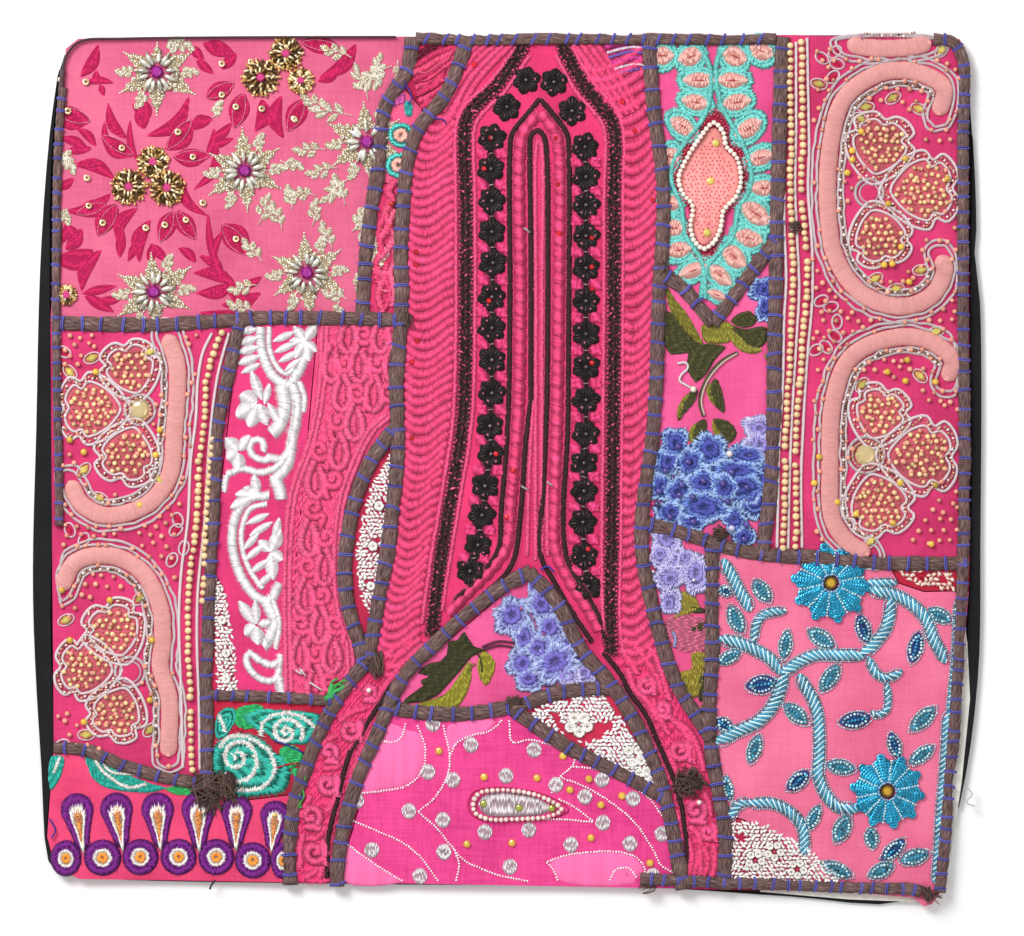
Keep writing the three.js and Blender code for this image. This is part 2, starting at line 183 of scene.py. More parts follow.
@dataclass
class Face:
    """The upper surface of the face: long swells, dips along the seams and soft creases in the cloths.

    Attributes:
        reach: Half the side of the square that the height map covers, in millimetres.
        cell: The height map's step, in millimetres.
        seam_dip: How deep the cloth is drawn down at a seam, in millimetres.
        swells: For each long wave its height, its waves per millimetre across and along, and its phase.
        creases: For each soft crease its two ends and its width in pixels, and its depth in millimetres.
        heights: The height map.
    """

    reach: float = 222.0
    cell: float = 1.0
    seam_dip: float = 0.75
    swells: tuple[tuple[float, float, float, float], ...] = (
        (0.35, 1 / 190, 1 / 260, 0.4), (0.3, -1 / 150, 1 / 120, 1.9), (0.2, 1 / 95, 1 / 170, 3.1))
    creases: tuple[tuple[float, float, float, float, float, float], ...] = (
        (700, 600, 960, 640, 16, 0.30), (730, 700, 940, 690, 14, 0.28), (760, 760, 930, 800, 12, -0.25),
        (830, 560, 800, 880, 18, 0.25), (60, 120, 330, 100, 14, 0.2), (120, 200, 360, 230, 18, -0.2),
        (250, 60, 230, 310, 14, 0.2), (670, 360, 760, 400, 10, 0.3), (410, 690, 520, 600, 12, 0.3),
        (860, 60, 940, 330, 12, 0.25), (870, 340, 930, 560, 12, -0.25), (60, 560, 180, 760, 16, 0.25))
    heights: Points = field(init=False)

    def __post_init__(self) -> None:
        """Works out the height map once."""
        line = np.arange(-self.reach, self.reach + self.cell, self.cell)
        x, y = np.meshgrid(line, line)
        z = np.full_like(x, FACE_TOP)
        for height, across, along, phase in self.swells:
            z += height * np.sin(2 * math.pi * (x * across + y * along) + phase)
        for x0, y0, x1, y1, width, depth in self.creases:
            (ax, ay), (bx, by) = at([(x0, y0), (x1, y1)])
            z -= depth * np.exp(-(self.distance(x, y, np.array([[ax, ay], [bx, by]])) / (width * PIXEL)) ** 2)
        near = np.full_like(x, 99.0)
        for _, route in SEAMS.values():
            near = np.minimum(near, self.distance(x, y, spaced(smooth(np.array(route)), 9)))
        z -= self.seam_dip * np.exp(-(near / 3.2) ** 2)
        self.heights = z

    @staticmethod
    def distance(x: Points, y: Points, line: Points) -> Points:
        """Measures how far each place of a map is from a line.

        Args:
            x: How far across each place is.
            y: How far along each place is.
            line: The line's points.

        Returns:
            The distances, in the map's own shape.
        """
        near = np.full_like(x, 1e9)
        for (ax, ay), (bx, by) in zip(line[:-1], line[1:]):
            dx, dy = bx - ax, by - ay
            t = np.clip(((x - ax) * dx + (y - ay) * dy) / (dx * dx + dy * dy + 1e-9), 0, 1)
            near = np.minimum(near, np.hypot(x - ax - t * dx, y - ay - t * dy))
        return near

    def height(self, x: Points, y: Points) -> Points:
        """Reads the height map between its points.

        Args:
            x: How far across each place is, in millimetres.
            y: How far along each place is.

        Returns:
            The surface's height there, in millimetres.
        """
        last = self.heights.shape[0] - 1.001
        u = np.clip((np.asarray(x, float) + self.reach) / self.cell, 0, last)
        v = np.clip((np.asarray(y, float) + self.reach) / self.cell, 0, last)
        i, j = u.astype(int), v.astype(int)
        f, g = u - i, v - j
        h = self.heights
        return ((h[j, i] * (1 - f) + h[j, i + 1] * f) * (1 - g) + (h[j + 1, i] * (1 - f) + h[j + 1, i + 1] * f) * g)


class Nodes:
    """Short ways to add and join shader nodes in one node tree."""

    def __init__(self, tree: bpy.types.NodeTree) -> None:
        """Keeps the tree."""
        self.tree = tree

    def add(self, kind: str, **values: object) -> bpy.types.Node:
        """Adds a node.

        Args:
            kind: The node's type name.
            values: Settings by name. One whose name starts with in_ is a socket's value or its source.

        Returns:
            The node.
        """
        node = self.tree.nodes.new(kind)
        for name, value in values.items():
            if not name.startswith("in_"):
                setattr(node, name, value)
        for name, value in values.items():
            if name.startswith("in_"):
                key = name[3:]
                socket = node.inputs[int(key) if key.isdigit() else key.replace("_", " ")]
                if isinstance(value, bpy.types.NodeSocket):
                    self.tree.links.new(value, socket)
                else:
                    socket.default_value = value
        return node

    def sum(self, operation: str, a: object, b: object = 0.0, c: object = 0.0) -> bpy.types.NodeSocket:
        """Returns the output of a Math node."""
        return self.add("ShaderNodeMath", operation=operation, in_0=a, in_1=b, in_2=c).outputs[0]

    def mix(self, share: object, a: object, b: object, blend: str = "MIX") -> bpy.types.NodeSocket:
        """Adds a colour mix.

        Args:
            share: The second colour's share, or where it comes from.
            a: The first colour, or where it comes from.
            b: The second colour.
            blend: How they are blended.

        Returns:
            The mixed colour's socket.
        """
        node = self.add("ShaderNodeMix", data_type="RGBA", blend_type=blend)
        for index, value in ((0, share), (6, a), (7, b)):
            if isinstance(value, bpy.types.NodeSocket):
                self.tree.links.new(value, node.inputs[index])
            else:
                node.inputs[index].default_value = value if index == 0 else (*value[:3], 1.0)
        return node.outputs[2]


def new_material(name: str, **values: float) -> tuple[bpy.types.Material, Nodes, bpy.types.Node]:
    """Makes a material with one Principled shader.

    Args:
        name: The material's name.
        values: Numbers of the shader's own sockets by name, with _ for a space.

    Returns:
        The material, its nodes and its shader.
    """
    material = bpy.data.materials.new(name)
    material.use_nodes = True
    shader = material.node_tree.nodes["Principled BSDF"]
    for socket, value in values.items():
        shader.inputs[socket.replace("_", " ")].default_value = value
    return material, Nodes(material.node_tree), shader


class Effects:
    """The shader node groups that several finishes share."""

    def __init__(self) -> None:
        """Builds each group once."""
        self.floss = self.make_floss()
        self.weave = self.make_weave()

    @staticmethod
    def group(name: str, inputs: dict[str, tuple[str, object]], outputs: dict[str, str]) -> bpy.types.NodeTree:
        """Makes an empty group with named sockets.

        Args:
            name: The group's name.
            inputs: Socket types and first values by name.
            outputs: Socket types by name.

        Returns:
            The group's node tree.
        """
        tree = bpy.data.node_groups.new(name, "ShaderNodeTree")
        for title, (kind, value) in inputs.items():
            tree.interface.new_socket(name=title, in_out="INPUT", socket_type=kind).default_value = value
        for title, kind in outputs.items():
            tree.interface.new_socket(name=title, in_out="OUTPUT", socket_type=kind)
        return tree

    def make_floss(self) -> bpy.types.NodeTree:
        """Makes the group for stitched thread, whose strands are counted along the piece's own map, with painted shade
        in the hollows between the strands.

        Returns:
            The group.
        """
        tree = self.group("floss", {"Tint": ("NodeSocketColor", (1, 1, 1, 1)), "Depth": ("NodeSocketFloat", 0.3)},
                          {"Color": "NodeSocketColor", "Height": "NodeSocketFloat"})
        n = Nodes(tree)
        given = n.add("NodeGroupInput")
        uv = n.add("ShaderNodeTexCoord").outputs["UV"]
        apart = n.add("ShaderNodeSeparateXYZ", in_0=uv)
        strand = n.sum("ABSOLUTE", n.sum("SINE", n.sum("MULTIPLY", apart.outputs[0], math.pi)))
        drift = n.add("ShaderNodeTexNoise", noise_dimensions="2D", in_Vector=uv, in_Scale=0.9, in_Detail=3.0)
        # Painted shade: the colour is darkened in the hollows between strands, by Depth; the drift noise is random
        # tone.
        shade = n.sum("MULTIPLY_ADD", strand, given.outputs["Depth"], n.sum("SUBTRACT", 1.04, given.outputs["Depth"]))
        shade = n.sum("MULTIPLY", shade, n.sum("MULTIPLY_ADD", drift.outputs[0], 0.5, 0.76))
        grey = n.add("ShaderNodeCombineColor", in_0=shade, in_1=shade, in_2=shade).outputs[0]
        tinted = n.mix(1.0, given.outputs["Tint"], grey, "MULTIPLY")
        n.add("NodeGroupOutput", in_Color=tinted, in_Height=strand)
        return tree

    def make_weave(self) -> bpy.types.NodeTree:
        """Makes the group for a plain woven cloth with slubs, on object coordinates, with painted shade between its
        crossing threads.

        Returns:
            The group.
        """
        white = ("NodeSocketColor", (1, 1, 1, 1))
        tree = self.group("weave", {"Color": white, "Deep": white, "Pitch": ("NodeSocketFloat", 0.5),
                                    "Slub": ("NodeSocketFloat", 0.3)},
                          {"Color": "NodeSocketColor", "Height": "NodeSocketFloat"})
        n = Nodes(tree)
        given = n.add("NodeGroupInput")
        place = n.add("ShaderNodeTexCoord").outputs["Object"]
        count = n.sum("DIVIDE", 1000 * math.pi, given.outputs["Pitch"])
        apart = n.add("ShaderNodeSeparateXYZ", in_0=place)
        warp = n.sum("SINE", n.sum("MULTIPLY", apart.outputs[0], count))
        weft = n.sum("SINE", n.sum("MULTIPLY", apart.outputs[1], count))
        knit = n.sum("MULTIPLY_ADD", n.sum("MULTIPLY", warp, weft), 0.5, 0.5)
        slubs = []
        for stretch in ((900, 90, 90), (90, 900, 90)):
            turned = n.add("ShaderNodeMapping", in_Vector=place, in_Scale=stretch).outputs[0]
            slubs.append(n.add("ShaderNodeTexNoise", in_Vector=turned, in_Scale=1.0, in_Detail=2.0).outputs[0])
        slub = n.sum("ADD", slubs[0], slubs[1])
        broad = n.add("ShaderNodeTexNoise", in_Vector=place, in_Scale=34.0, in_Detail=3.0).outputs[0]
        share = n.sum("ADD", n.sum("MULTIPLY", n.sum("SUBTRACT", slub, 1.0), given.outputs["Slub"]),
                      n.sum("MULTIPLY_ADD", broad, 1.6, -0.45))
        # Painted shade: the weave's low places lean towards the deep colour and its crossings away from it.
        share = n.sum("ADD", share, n.sum("MULTIPLY", knit, -0.12))
        share = n.add("ShaderNodeClamp", in_0=share).outputs[0]
        colour = n.mix(share, given.outputs["Color"], given.outputs["Deep"])
        height = n.sum("ADD", knit, n.sum("MULTIPLY", slub, 1.2))
        n.add("NodeGroupOutput", in_Color=colour, in_Height=height)
        return tree


@dataclass(frozen=True)
class ThreadFinish:
    """A finish for stitched thread, coloured by the piece's tint attribute, with painted shade between its strands.

    Attributes:
        name: The material's name.
        roughness: How matt the thread is.
        depth: How dark the painted shade in the hollows between strands is, from 0 to 1.
        relief: How strongly the strands stand out.
        metallic: 1 for drawn metal thread.
        sheen: The soft light at grazing angles.
    """

    name: str
    roughness: float = 0.6
    depth: float = 0.3
    relief: float = 0.5
    metallic: float = 0.0
    sheen: float = 0.04

    def build(self, effects: Effects) -> bpy.types.Material:
        """Makes the thread's material.

        Args:
            effects: The shared shader groups.

        Returns:
            The new material.
        """
        material, n, shader = new_material(
            self.name, Roughness=self.roughness, Metallic=self.metallic, Sheen_Weight=self.sheen, Sheen_Roughness=0.4,
            Specular_IOR_Level=0.25)
        tint = n.add("ShaderNodeAttribute", attribute_name="tint").outputs["Color"]
        floss = n.add("ShaderNodeGroup", node_tree=effects.floss, in_Tint=tint, in_Depth=self.depth)
        bump = n.add("ShaderNodeBump", in_Strength=self.relief, in_Distance=0.0004, in_Height=floss.outputs["Height"])
        n.tree.links.new(floss.outputs["Color"], shader.inputs["Base Color"])
        n.tree.links.new(bump.outputs[0], shader.inputs["Normal"])
        return material


@dataclass(frozen=True)
class GlassFinish:
    """A finish for beads, sequins and stones, coloured by the piece's tint attribute.

    Attributes:
        name: The material's name.
        roughness: How matt it is.
        metallic: How much of its shine is that of foil or metal.
        coat: The strength of the clear layer on it.
    """

    name: str
    roughness: float = 0.15
    metallic: float = 0.0
    coat: float = 0.6

    def build(self, effects: Effects) -> bpy.types.Material:
        """Makes the material of beads and stones.

        Args:
            effects: The shared shader groups.

        Returns:
            The new material.
        """
        material, n, shader = new_material(
            self.name, Roughness=self.roughness, Metallic=self.metallic, Coat_Weight=self.coat, Coat_Roughness=0.08)
        tint = n.add("ShaderNodeAttribute", attribute_name="tint").outputs["Color"]
        place = n.add("ShaderNodeTexCoord").outputs["Object"]
        noise = n.add("ShaderNodeTexNoise", in_Vector=place, in_Scale=900.0, in_Detail=2.0).outputs[0]
        shade = n.sum("MULTIPLY_ADD", noise, 0.5, 0.75)
        grey = n.add("ShaderNodeCombineColor", in_0=shade, in_1=shade, in_2=shade).outputs[0]
        n.tree.links.new(n.mix(1.0, tint, grey, "MULTIPLY"), shader.inputs["Base Color"])
        return material


@dataclass(frozen=True)
class ClothFinish:
    """A finish for a woven ground cloth.

    Attributes:
        name: The material's name.
        colour: The cloth's main colour.
        deep: The colour in its darker threads, in broad darker blotches and in the painted shade between its crossing
            threads.
        pitch: The distance between threads in millimetres.
        slub: How uneven its threads are.
        roughness: How matt it is.
        sheen: The soft light at grazing angles.
        relief: How strongly the threads stand out.
    """

    name: str
    colour: str
    deep: str
    pitch: float = 0.55
    slub: float = 0.45
    roughness: float = 0.75
    sheen: float = 0.05
    relief: float = 0.5

    def build(self, effects: Effects) -> bpy.types.Material:
        """Makes the cloth's material.

        Args:
            effects: The shared shader groups.

        Returns:
            The new material.
        """
        material, n, shader = new_material(
            self.name, Roughness=self.roughness, Sheen_Weight=self.sheen, Sheen_Roughness=0.5, Specular_IOR_Level=0.25)
        weave = n.add("ShaderNodeGroup", node_tree=effects.weave, in_Color=(*dye(self.colour), 1),
                      in_Deep=(*dye(self.deep), 1), in_Pitch=self.pitch, in_Slub=self.slub)
        bump = n.add("ShaderNodeBump", in_Strength=self.relief, in_Distance=0.0003, in_Height=weave.outputs["Height"])
        n.tree.links.new(weave.outputs["Color"], shader.inputs["Base Color"])
        n.tree.links.new(bump.outputs[0], shader.inputs["Normal"])
        return material


class Stuff(Enum):
    """The finishes that stitches, beads and stones come in."""

    COTTON = ThreadFinish("cotton_floss", roughness=0.75, depth=0.3, relief=1.0)
    SILK = ThreadFinish("silk_floss", roughness=0.5, depth=0.22, relief=0.8)
    YARN = ThreadFinish("couched_yarn", roughness=0.85, depth=0.5, relief=0.9)
    METAL = ThreadFinish("metal_thread", roughness=0.38, depth=0.35, relief=0.6, metallic=0.55)
    GLASS = GlassFinish("bead_glass", roughness=0.18)
    PEARL = GlassFinish("pearl_bead", roughness=0.35, coat=0.3)
    FOIL = GlassFinish("sequin_foil", roughness=0.28, metallic=0.6, coat=0.4)
    STONE = GlassFinish("cut_stone", roughness=0.08, metallic=0.35, coat=0.9)


class Batch:
    """Gathers many small shapes, each with its tints and its strand map, into the arrays of one mesh."""

    def __init__(self) -> None:
        """Starts empty."""
        self.points: list[Points] = []
        self.tints: list[Points] = []
        self.quads: list[Points] = []
        self.quad_maps: list[Points] = []
        self.count = 0

    def add(self, points: Points, quads: Points, maps: Points, tints: Points) -> None:
        """Adds one shape.

        Args:
            points: Its points in millimetres.
            quads: Its faces, four point numbers a row; a triangle repeats its last point.
            maps: The strand map at each corner of each face.
            tints: One colour, or one for each point.
        """
        self.points.append(points)
        self.tints.append(np.broadcast_to(np.asarray(tints, float), (len(points), 3)))
        self.quads.append(quads + self.count)
        self.quad_maps.append(maps)
        self.count += len(points)

    def piece(self, name: str, material: bpy.types.Material, slot: str, flat: bool = False) -> bpy.types.Object:
        """Makes the mesh, in metres.

        Args:
            name: The piece's name.
            material: Its finish.
            slot: The record's material slot; not used.
            flat: Whether its faces are shaded flat, as on cut stones.

        Returns:
            The piece, riding on the part's one body.
        """
        points = np.vstack(self.points) * MM
        tints = np.vstack(self.tints)
        quads = np.vstack(self.quads)
        maps = np.vstack(self.quad_maps)
        short = quads[:, 3] == quads[:, 2]
        corners = np.ones(quads.shape, bool)
        corners[short, 3] = False
        totals = corners.sum(axis=1)
        mesh = bpy.data.meshes.new(name)
        mesh.vertices.add(len(points))
        mesh.vertices.foreach_set("co", points.astype(np.float32).ravel())
        mesh.loops.add(int(totals.sum()))
        mesh.loops.foreach_set("vertex_index", quads[corners].astype(np.int32))
        mesh.polygons.add(len(quads))
        mesh.polygons.foreach_set("loop_start", np.r_[0, np.cumsum(totals)[:-1]].astype(np.int32))
        mesh.uv_layers.new(name="strands").uv.foreach_set("vector", maps[corners].astype(np.float32).ravel())
        tint = mesh.color_attributes.new("tint", "FLOAT_COLOR", "POINT")
        tint.data.foreach_set("color", np.column_stack([tints, np.ones(len(tints))]).astype(np.float32).ravel())
        mesh.update(calc_edges=True)
        mesh.validate()
        mesh.polygons.foreach_set("use_smooth", np.full(len(mesh.polygons), not flat))
        mesh.materials.append(material)
        piece = bpy.data.objects.new(name, mesh)
        bpy.context.scene.collection.objects.link(piece)
        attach(piece, BODY)
        return piece


class Strands(Enum):
    """Which way the strands of a stitched form run."""

    ALONG = "along"
    ACROSS = "across"
    TWISTED = "twisted"


class Needle:
    """Lays stitches, threads and beads on the face."""

    def __init__(self, face: Face, seed: int) -> None:
        """Starts with an empty batch for each stuff.

        Args:
            face: The surface that it sews on.
            seed: The seed of its small unevennesses.
        """
        self.face = face
        self.chance = np.random.default_rng(seed)
        self.batches: dict[Stuff, Batch] = {}

    def batch(self, stuff: Stuff) -> Batch:
        """Returns the batch that a stuff's shapes go into."""
        return self.batches.setdefault(stuff, Batch())

    def vary(self, tint: str | Sequence[float], spread: float = 0.08, count: int = 1) -> Points:
        """Returns slightly different shades of one colour, one a row."""
        base = np.array(dye(tint) if isinstance(tint, str) else tint)
        return np.clip(base * (1 + spread * self.chance.standard_normal((count, 1))), 0, 1)

    def sweep(self, spine: Points, half_widths: Points | float, rise: Points | float, tint: str | Points,
              strands: Strands = Strands.ACROSS, stuff: Stuff = Stuff.SILK, lift: float = 0.12, ribs: int = 5,
              pitch: float = 0.5, jagged: float = 0.0, edge_tint: str | None = None, sink: float = 0.35,
              over: Points | float = 0.0) -> None:
        """Lays a rounded form along a spine on the face.

        Args:
            spine: The places along the form's middle, in millimetres, evenly spaced.
            half_widths: Half the form's width at each of them.
            rise: How high the form stands in its middle.
            tint: One colour, or a linear one for each place.
            strands: Which way its threads run.
            stuff: Its finish.
            lift: The height of its edges above the face.
            ribs: How many points it has across its top.
            pitch: The width of a strand.
            jagged: How uneven its edges are, as a share of its width.
            edge_tint: A second colour towards its two edges.
            sink: How far its underside goes below its edges.
            over: The height of what it passes over, at each place.
        """
        count = len(spine)
        half = np.broadcast_to(np.asarray(half_widths, float), (count,)).copy()
        rises = np.broadcast_to(np.asarray(rise, float), (count,))
        side = sideways(spine)
        angle = np.linspace(0, math.pi, ribs)
        across, up = -np.cos(angle), np.sin(angle) ** 0.8
        spreads = half[:, None] * across[None, :]
        if jagged:
            spreads[:, 0] *= 1 + jagged * self.chance.standard_normal(count)
            spreads[:, -1] *= 1 + jagged * self.chance.standard_normal(count)
        places = spine[:, None, :] + side[:, None, :] * spreads[:, :, None]
        x, y = places[..., 0].ravel(), places[..., 1].ravel()
        z = self.face.height(x, y).reshape(count, ribs) + lift + rises[:, None] * up[None, :]
        z += np.broadcast_to(np.asarray(over, float), (count,))[:, None]
        z[:, [0, -1]] -= sink
        points = np.column_stack([x, y, z.ravel()])
        run = lengths(spine)
        rows, cols = np.meshgrid(np.arange(count - 1), np.arange(ribs), indexing="ij")
        nxt = (cols + 1) % ribs
        quads = np.stack([rows * ribs + cols, rows * ribs + nxt, (rows + 1) * ribs + nxt, (rows + 1) * ribs + cols],
                         axis=-1).reshape(-1, 4)[:, ::-1]
        low, high = run[rows], run[rows + 1]
        wide = np.abs(across)
        width = np.cumsum(np.r_[0, np.hypot(np.diff(across), np.diff(up) * 0.5)])
        left = width[cols] * half.max()
        right = np.where(nxt > 0, width[nxt], width[-1] * 2) * half.max()
        if strands is Strands.ALONG:
            maps = [(left, low), (right, low), (right, high), (left, high)]
        elif strands is Strands.ACROSS:
            maps = [(low, left), (low, right), (high, right), (high, left)]
        else:
            maps = [(low + left, left), (low + right, right), (high + right, right), (high + left, left)]
        uv = np.stack([np.stack([u / pitch, v * 0.3], axis=-1) for u, v in maps], axis=-2).reshape(-1, 4, 2)[:, ::-1]
        base = np.array(dye(tint)) if isinstance(tint, str) else np.asarray(tint, float)
        base = np.broadcast_to(base, (count, 3))[:, None, :] * np.ones((1, ribs, 1))
        if edge_tint:
            share = (wide ** 3)[None, :, None]
            base = base * (1 - share) + np.array(dye(edge_tint)) * share
        caps = []
        for row, order in ((0, 1), (count - 1, -1)):
            ring = row * ribs + np.arange(ribs)
            for k in range(1, ribs - 1):
                caps.append([ring[0], ring[k], ring[k + 1], ring[k + 1]] if order == 1 else
                            [ring[0], ring[k + 1], ring[k], ring[k]])
        caps = np.array(caps)
        self.batch(stuff).add(points, np.vstack([quads, caps]),
                              np.concatenate([uv, np.zeros((len(caps), 4, 2))]), base.reshape(-1, 3))

    def line(self, pixels: Route | Points, width: float, tint: str | Points, rise: float | None = None,
             closed: bool = False, step: float = 1.6, raw: bool = False, **more: object) -> Points:
        """Lays a thread along a smooth line and returns its spine.

        Args:
            pixels: The places that it passes, in pixels, or in millimetres if raw.
            width: Its width in millimetres.
            tint: Its colour.
            rise: Its height, or half its width if left out.
            closed: Whether it returns to its start.
            step: The length of its facets.
            raw: Whether the places are in millimetres.
            more: Anything else that sweep() takes.

        Returns:
            The spine, in millimetres.
        """
        places = np.asarray(pixels, float) if raw else at(pixels)
        line = smooth(places, closed)
        if closed:
            line = np.vstack([line, line[:1]])
        spine = spaced(line, step)
        options: dict[str, object] = {"strands": Strands.ALONG, "ribs": 4, "stuff": Stuff.COTTON, "pitch": width / 3}
        options.update(more)
        self.sweep(spine, width / 2, width * 0.5 if rise is None else rise, tint, **options)
        return spine

    def mound(self, edge: Points, rings: Sequence[tuple[float, float, str | Points]], turn: float | None = None,
              stuff: Stuff = Stuff.SILK, pitch: float = 0.5, lift: float = 0.12, frill: float = 0.0,
              step: float = 1.2) -> None:
        """Fills a closed shape with padded stitches, ring by ring from its edge inwards.

        Args:
            edge: The places along its edge, in millimetres.
            rings: For each ring the share of the way out, its height in millimetres and its colour. The last is the
                middle point.
            turn: The angle of its threads in radians, or None where they run from the edge to the middle.
            stuff: Its finish.
            pitch: The width of a thread.
            lift: The height of its edge above the face.
            frill: How uneven its edge is, in millimetres.
            step: The distance between points on its edge.
        """
        edge = spaced(np.vstack([edge, edge[:1]]), step, 8)[:-1]
        if np.sum(edge[:, 0] * np.roll(edge[:, 1], -1) - np.roll(edge[:, 0], -1) * edge[:, 1]) < 0:
            edge = edge[::-1]
        count, centre = len(edge), edge.mean(axis=0)
        out = edge - centre
        out = out * (1 + frill * self.chance.standard_normal((count, 1)) / (np.linalg.norm(out, axis=1, keepdims=True)
                                                                            + 0.5))
        plan = np.vstack([centre + out * share for share, _, _ in rings[:-1]] + [centre[None]])
        ups = np.r_[np.repeat([up for _, up, _ in rings[:-1]], count), rings[-1][1]]
        z = self.face.height(plan[:, 0], plan[:, 1]) + lift + ups
        here, there = np.arange(count), (np.arange(count) + 1) % count
        levels = len(rings) - 1
        quads = [np.column_stack([k * count + here, k * count + there, (k + 1) * count + there,
                                  (k + 1) * count + here]) for k in range(levels - 1)]
        last, tip = (levels - 1) * count, np.full(count, len(plan) - 1)
        quads.append(np.column_stack([last + here, last + there, tip, tip]))
        if turn is None:
            run = np.linalg.norm(np.roll(edge, -1, axis=0) - edge, axis=1).cumsum() / pitch
            left, right = np.r_[0, run[:-1]], run
            way = np.linalg.norm(out, axis=1).mean() * 0.3
            maps = []
            for k in range(levels):
                low, high = rings[k][0] * way, rings[k + 1][0] * way
                maps.append(np.stack([np.column_stack([u, np.full(count, v)]) for u, v in (
                    (left, low), (right, low), (right, high), (left, high))], axis=1))
            maps = np.concatenate(maps)
        else:
            strands = np.column_stack([plan @ np.array([-math.sin(turn), math.cos(turn)]) / pitch,
                                       plan @ np.array([math.cos(turn), math.sin(turn)]) * 0.3])
            maps = strands[np.vstack(quads)]
        floor = np.array([[0, k + 1, k, k] for k in range(1, count - 1)])
        colours = [np.array(dye(tint)) if isinstance(tint, str) else np.ravel(tint) for _, _, tint in rings]
        tints = np.vstack([np.tile(colour, (count, 1)) for colour in colours[:-1]] + [colours[-1][None]])
        self.batch(stuff).add(np.column_stack([plan, z]), np.vstack([*quads, floor]),
                              np.concatenate([maps, np.zeros((len(floor), 4, 2))]), tints)

    def dome(self, outline: Points, rise: float, tint: str | Points, turn: float = 0.0,
             middle_tint: str | Points | None = None, raw: bool = True, ragged: float = 0.0, **more: object) -> None:
        """Fills a closed shape with padded satin stitch.

        Args:
            outline: The places round the shape's edge, in millimetres if raw, or else in pixels.
            rise: How high its middle stands, in millimetres.
            tint: Its colour.
            turn: The angle of its threads, in radians.
            middle_tint: A second colour towards its middle.
            raw: Whether the places are in millimetres.
            ragged: How uneven its edge is, in millimetres.
            more: Anything else that mound() takes.
        """
        edge = smooth(np.asarray(outline, float) if raw else at(outline), closed=True)
        outer = np.array(dye(tint)) if isinstance(tint, str) else np.ravel(tint)
        inner = outer if middle_tint is None else (
            np.array(dye(middle_tint)) if isinstance(middle_tint, str) else np.ravel(middle_tint))
        rings = [(share, up if up < 0 else up * rise, outer * (1 - blend) + inner * blend) for share, up, blend in (
            (1.0, -0.3, 0), (0.97, 0.35, 0.05), (0.8, 0.78, 0.4), (0.5, 0.95, 0.9), (0, 1, 1))]
        self.mound(edge, rings, turn, frill=ragged, **more)

    def slivers(self, starts: Points, ends: Points, widths: Points | float, tints: Points, rise: Points | float = 0.35,
                stuff: Stuff = Stuff.COTTON, lift: float = 0.1) -> None:
        """Lays many straight stitches at once, each thickest in its middle.

        Args:
            starts: Where each goes in, in millimetres.
            ends: Where each comes out.
            widths: Their widths.
            tints: One linear colour, or one for each.
            rise: How high their middles stand.
            stuff: Their finish.
            lift: The height of their ends above the face.
        """
        starts, ends = np.atleast_2d(starts), np.atleast_2d(ends)
        count = len(starts)
        if not count:
            return
        widths = np.broadcast_to(np.asarray(widths, float), (count,))
        rises = np.broadcast_to(np.asarray(rise, float), (count,))
        along = ends - starts
        along = along / (np.linalg.norm(along, axis=1, keepdims=True) + 1e-9)
        side = np.column_stack([-along[:, 1], along[:, 0]]) * widths[:, None] / 2
        middle = (starts + ends) / 2
        plan = np.stack([starts, ends, middle + side, middle - side, middle], axis=1)
        z = self.face.height(plan[..., 0], plan[..., 1]) + np.broadcast_to(np.asarray(lift, float), (count,))[:, None]
        z[:, 4] += rises
        z[:, :2] -= 0.15
        z[:, 2:4] += rises[:, None] * 0.68
        points = np.concatenate([plan, z[..., None]], axis=2).reshape(-1, 3)
        one = np.array([[0, 4, 2, 2], [2, 4, 1, 1], [1, 4, 3, 3], [3, 4, 0, 0], [0, 2, 1, 3]])
        quads = (one[None] + 5 * np.arange(count)[:, None, None]).reshape(-1, 4)
        shades = np.repeat(np.broadcast_to(np.asarray(tints, float), (count, 3)), 5, axis=0)
        self.batch(stuff).add(points, quads, np.full((len(quads), 4, 2), 0.5), shades)

    def satin(self, spine: Points, half: Points | float, tint: str | Points, gap: float = 0.62, wide: float = 0.66,
              rise: Points | float = 0.3, rough: float = 0.14, slant: float = 0.0, stuff: Stuff = Stuff.SILK,
              lift: Points | float = 0.25, spread: float = 0.12, shade: Points | float = 1.0) -> None:
        """Lays single stitches side by side across a line.

        Args:
            spine: The line's places in millimetres.
            half: How far each stitch reaches to both sides, at each place.
            tint: The thread's colour.
            gap: The distance between two stitches.
            wide: The width of a stitch.
            rise: How high its middle stands.
            rough: How uneven the stitches' ends are, as a share of their reach.
            slant: How far they lean along the line, as a share of their reach.
            stuff: The thread's finish.
            lift: The height of their ends above the face.
            spread: How much their shades differ.
            shade: How bright they are painted at each place; below 1 this is painted shade.
        """
        run = lengths(spine)
        marks = np.arange(gap / 2, run[-1], gap)
        spots = np.column_stack([np.interp(marks, run, spine[:, k]) for k in (0, 1)])
        if len(spots) < 2:
            return
        reach, high, up, light = (np.interp(marks, run, np.broadcast_to(np.asarray(value, float), (len(spine),)))
                                  for value in (half, rise, lift, shade))
        reach = reach[:, None]
        side = sideways(spots)
        over = (side + np.column_stack([side[:, 1], -side[:, 0]]) * slant) * reach
        uneven = 1 + rough * self.chance.standard_normal((2, len(spots), 1))
        # Painted shade: the stitches' colours are scaled by light, taken from shade.
        self.slivers(spots + over * uneven[0], spots - over * uneven[1], wide,
                     self.vary(tint, spread, len(spots)) * light[:, None], high, stuff, up)

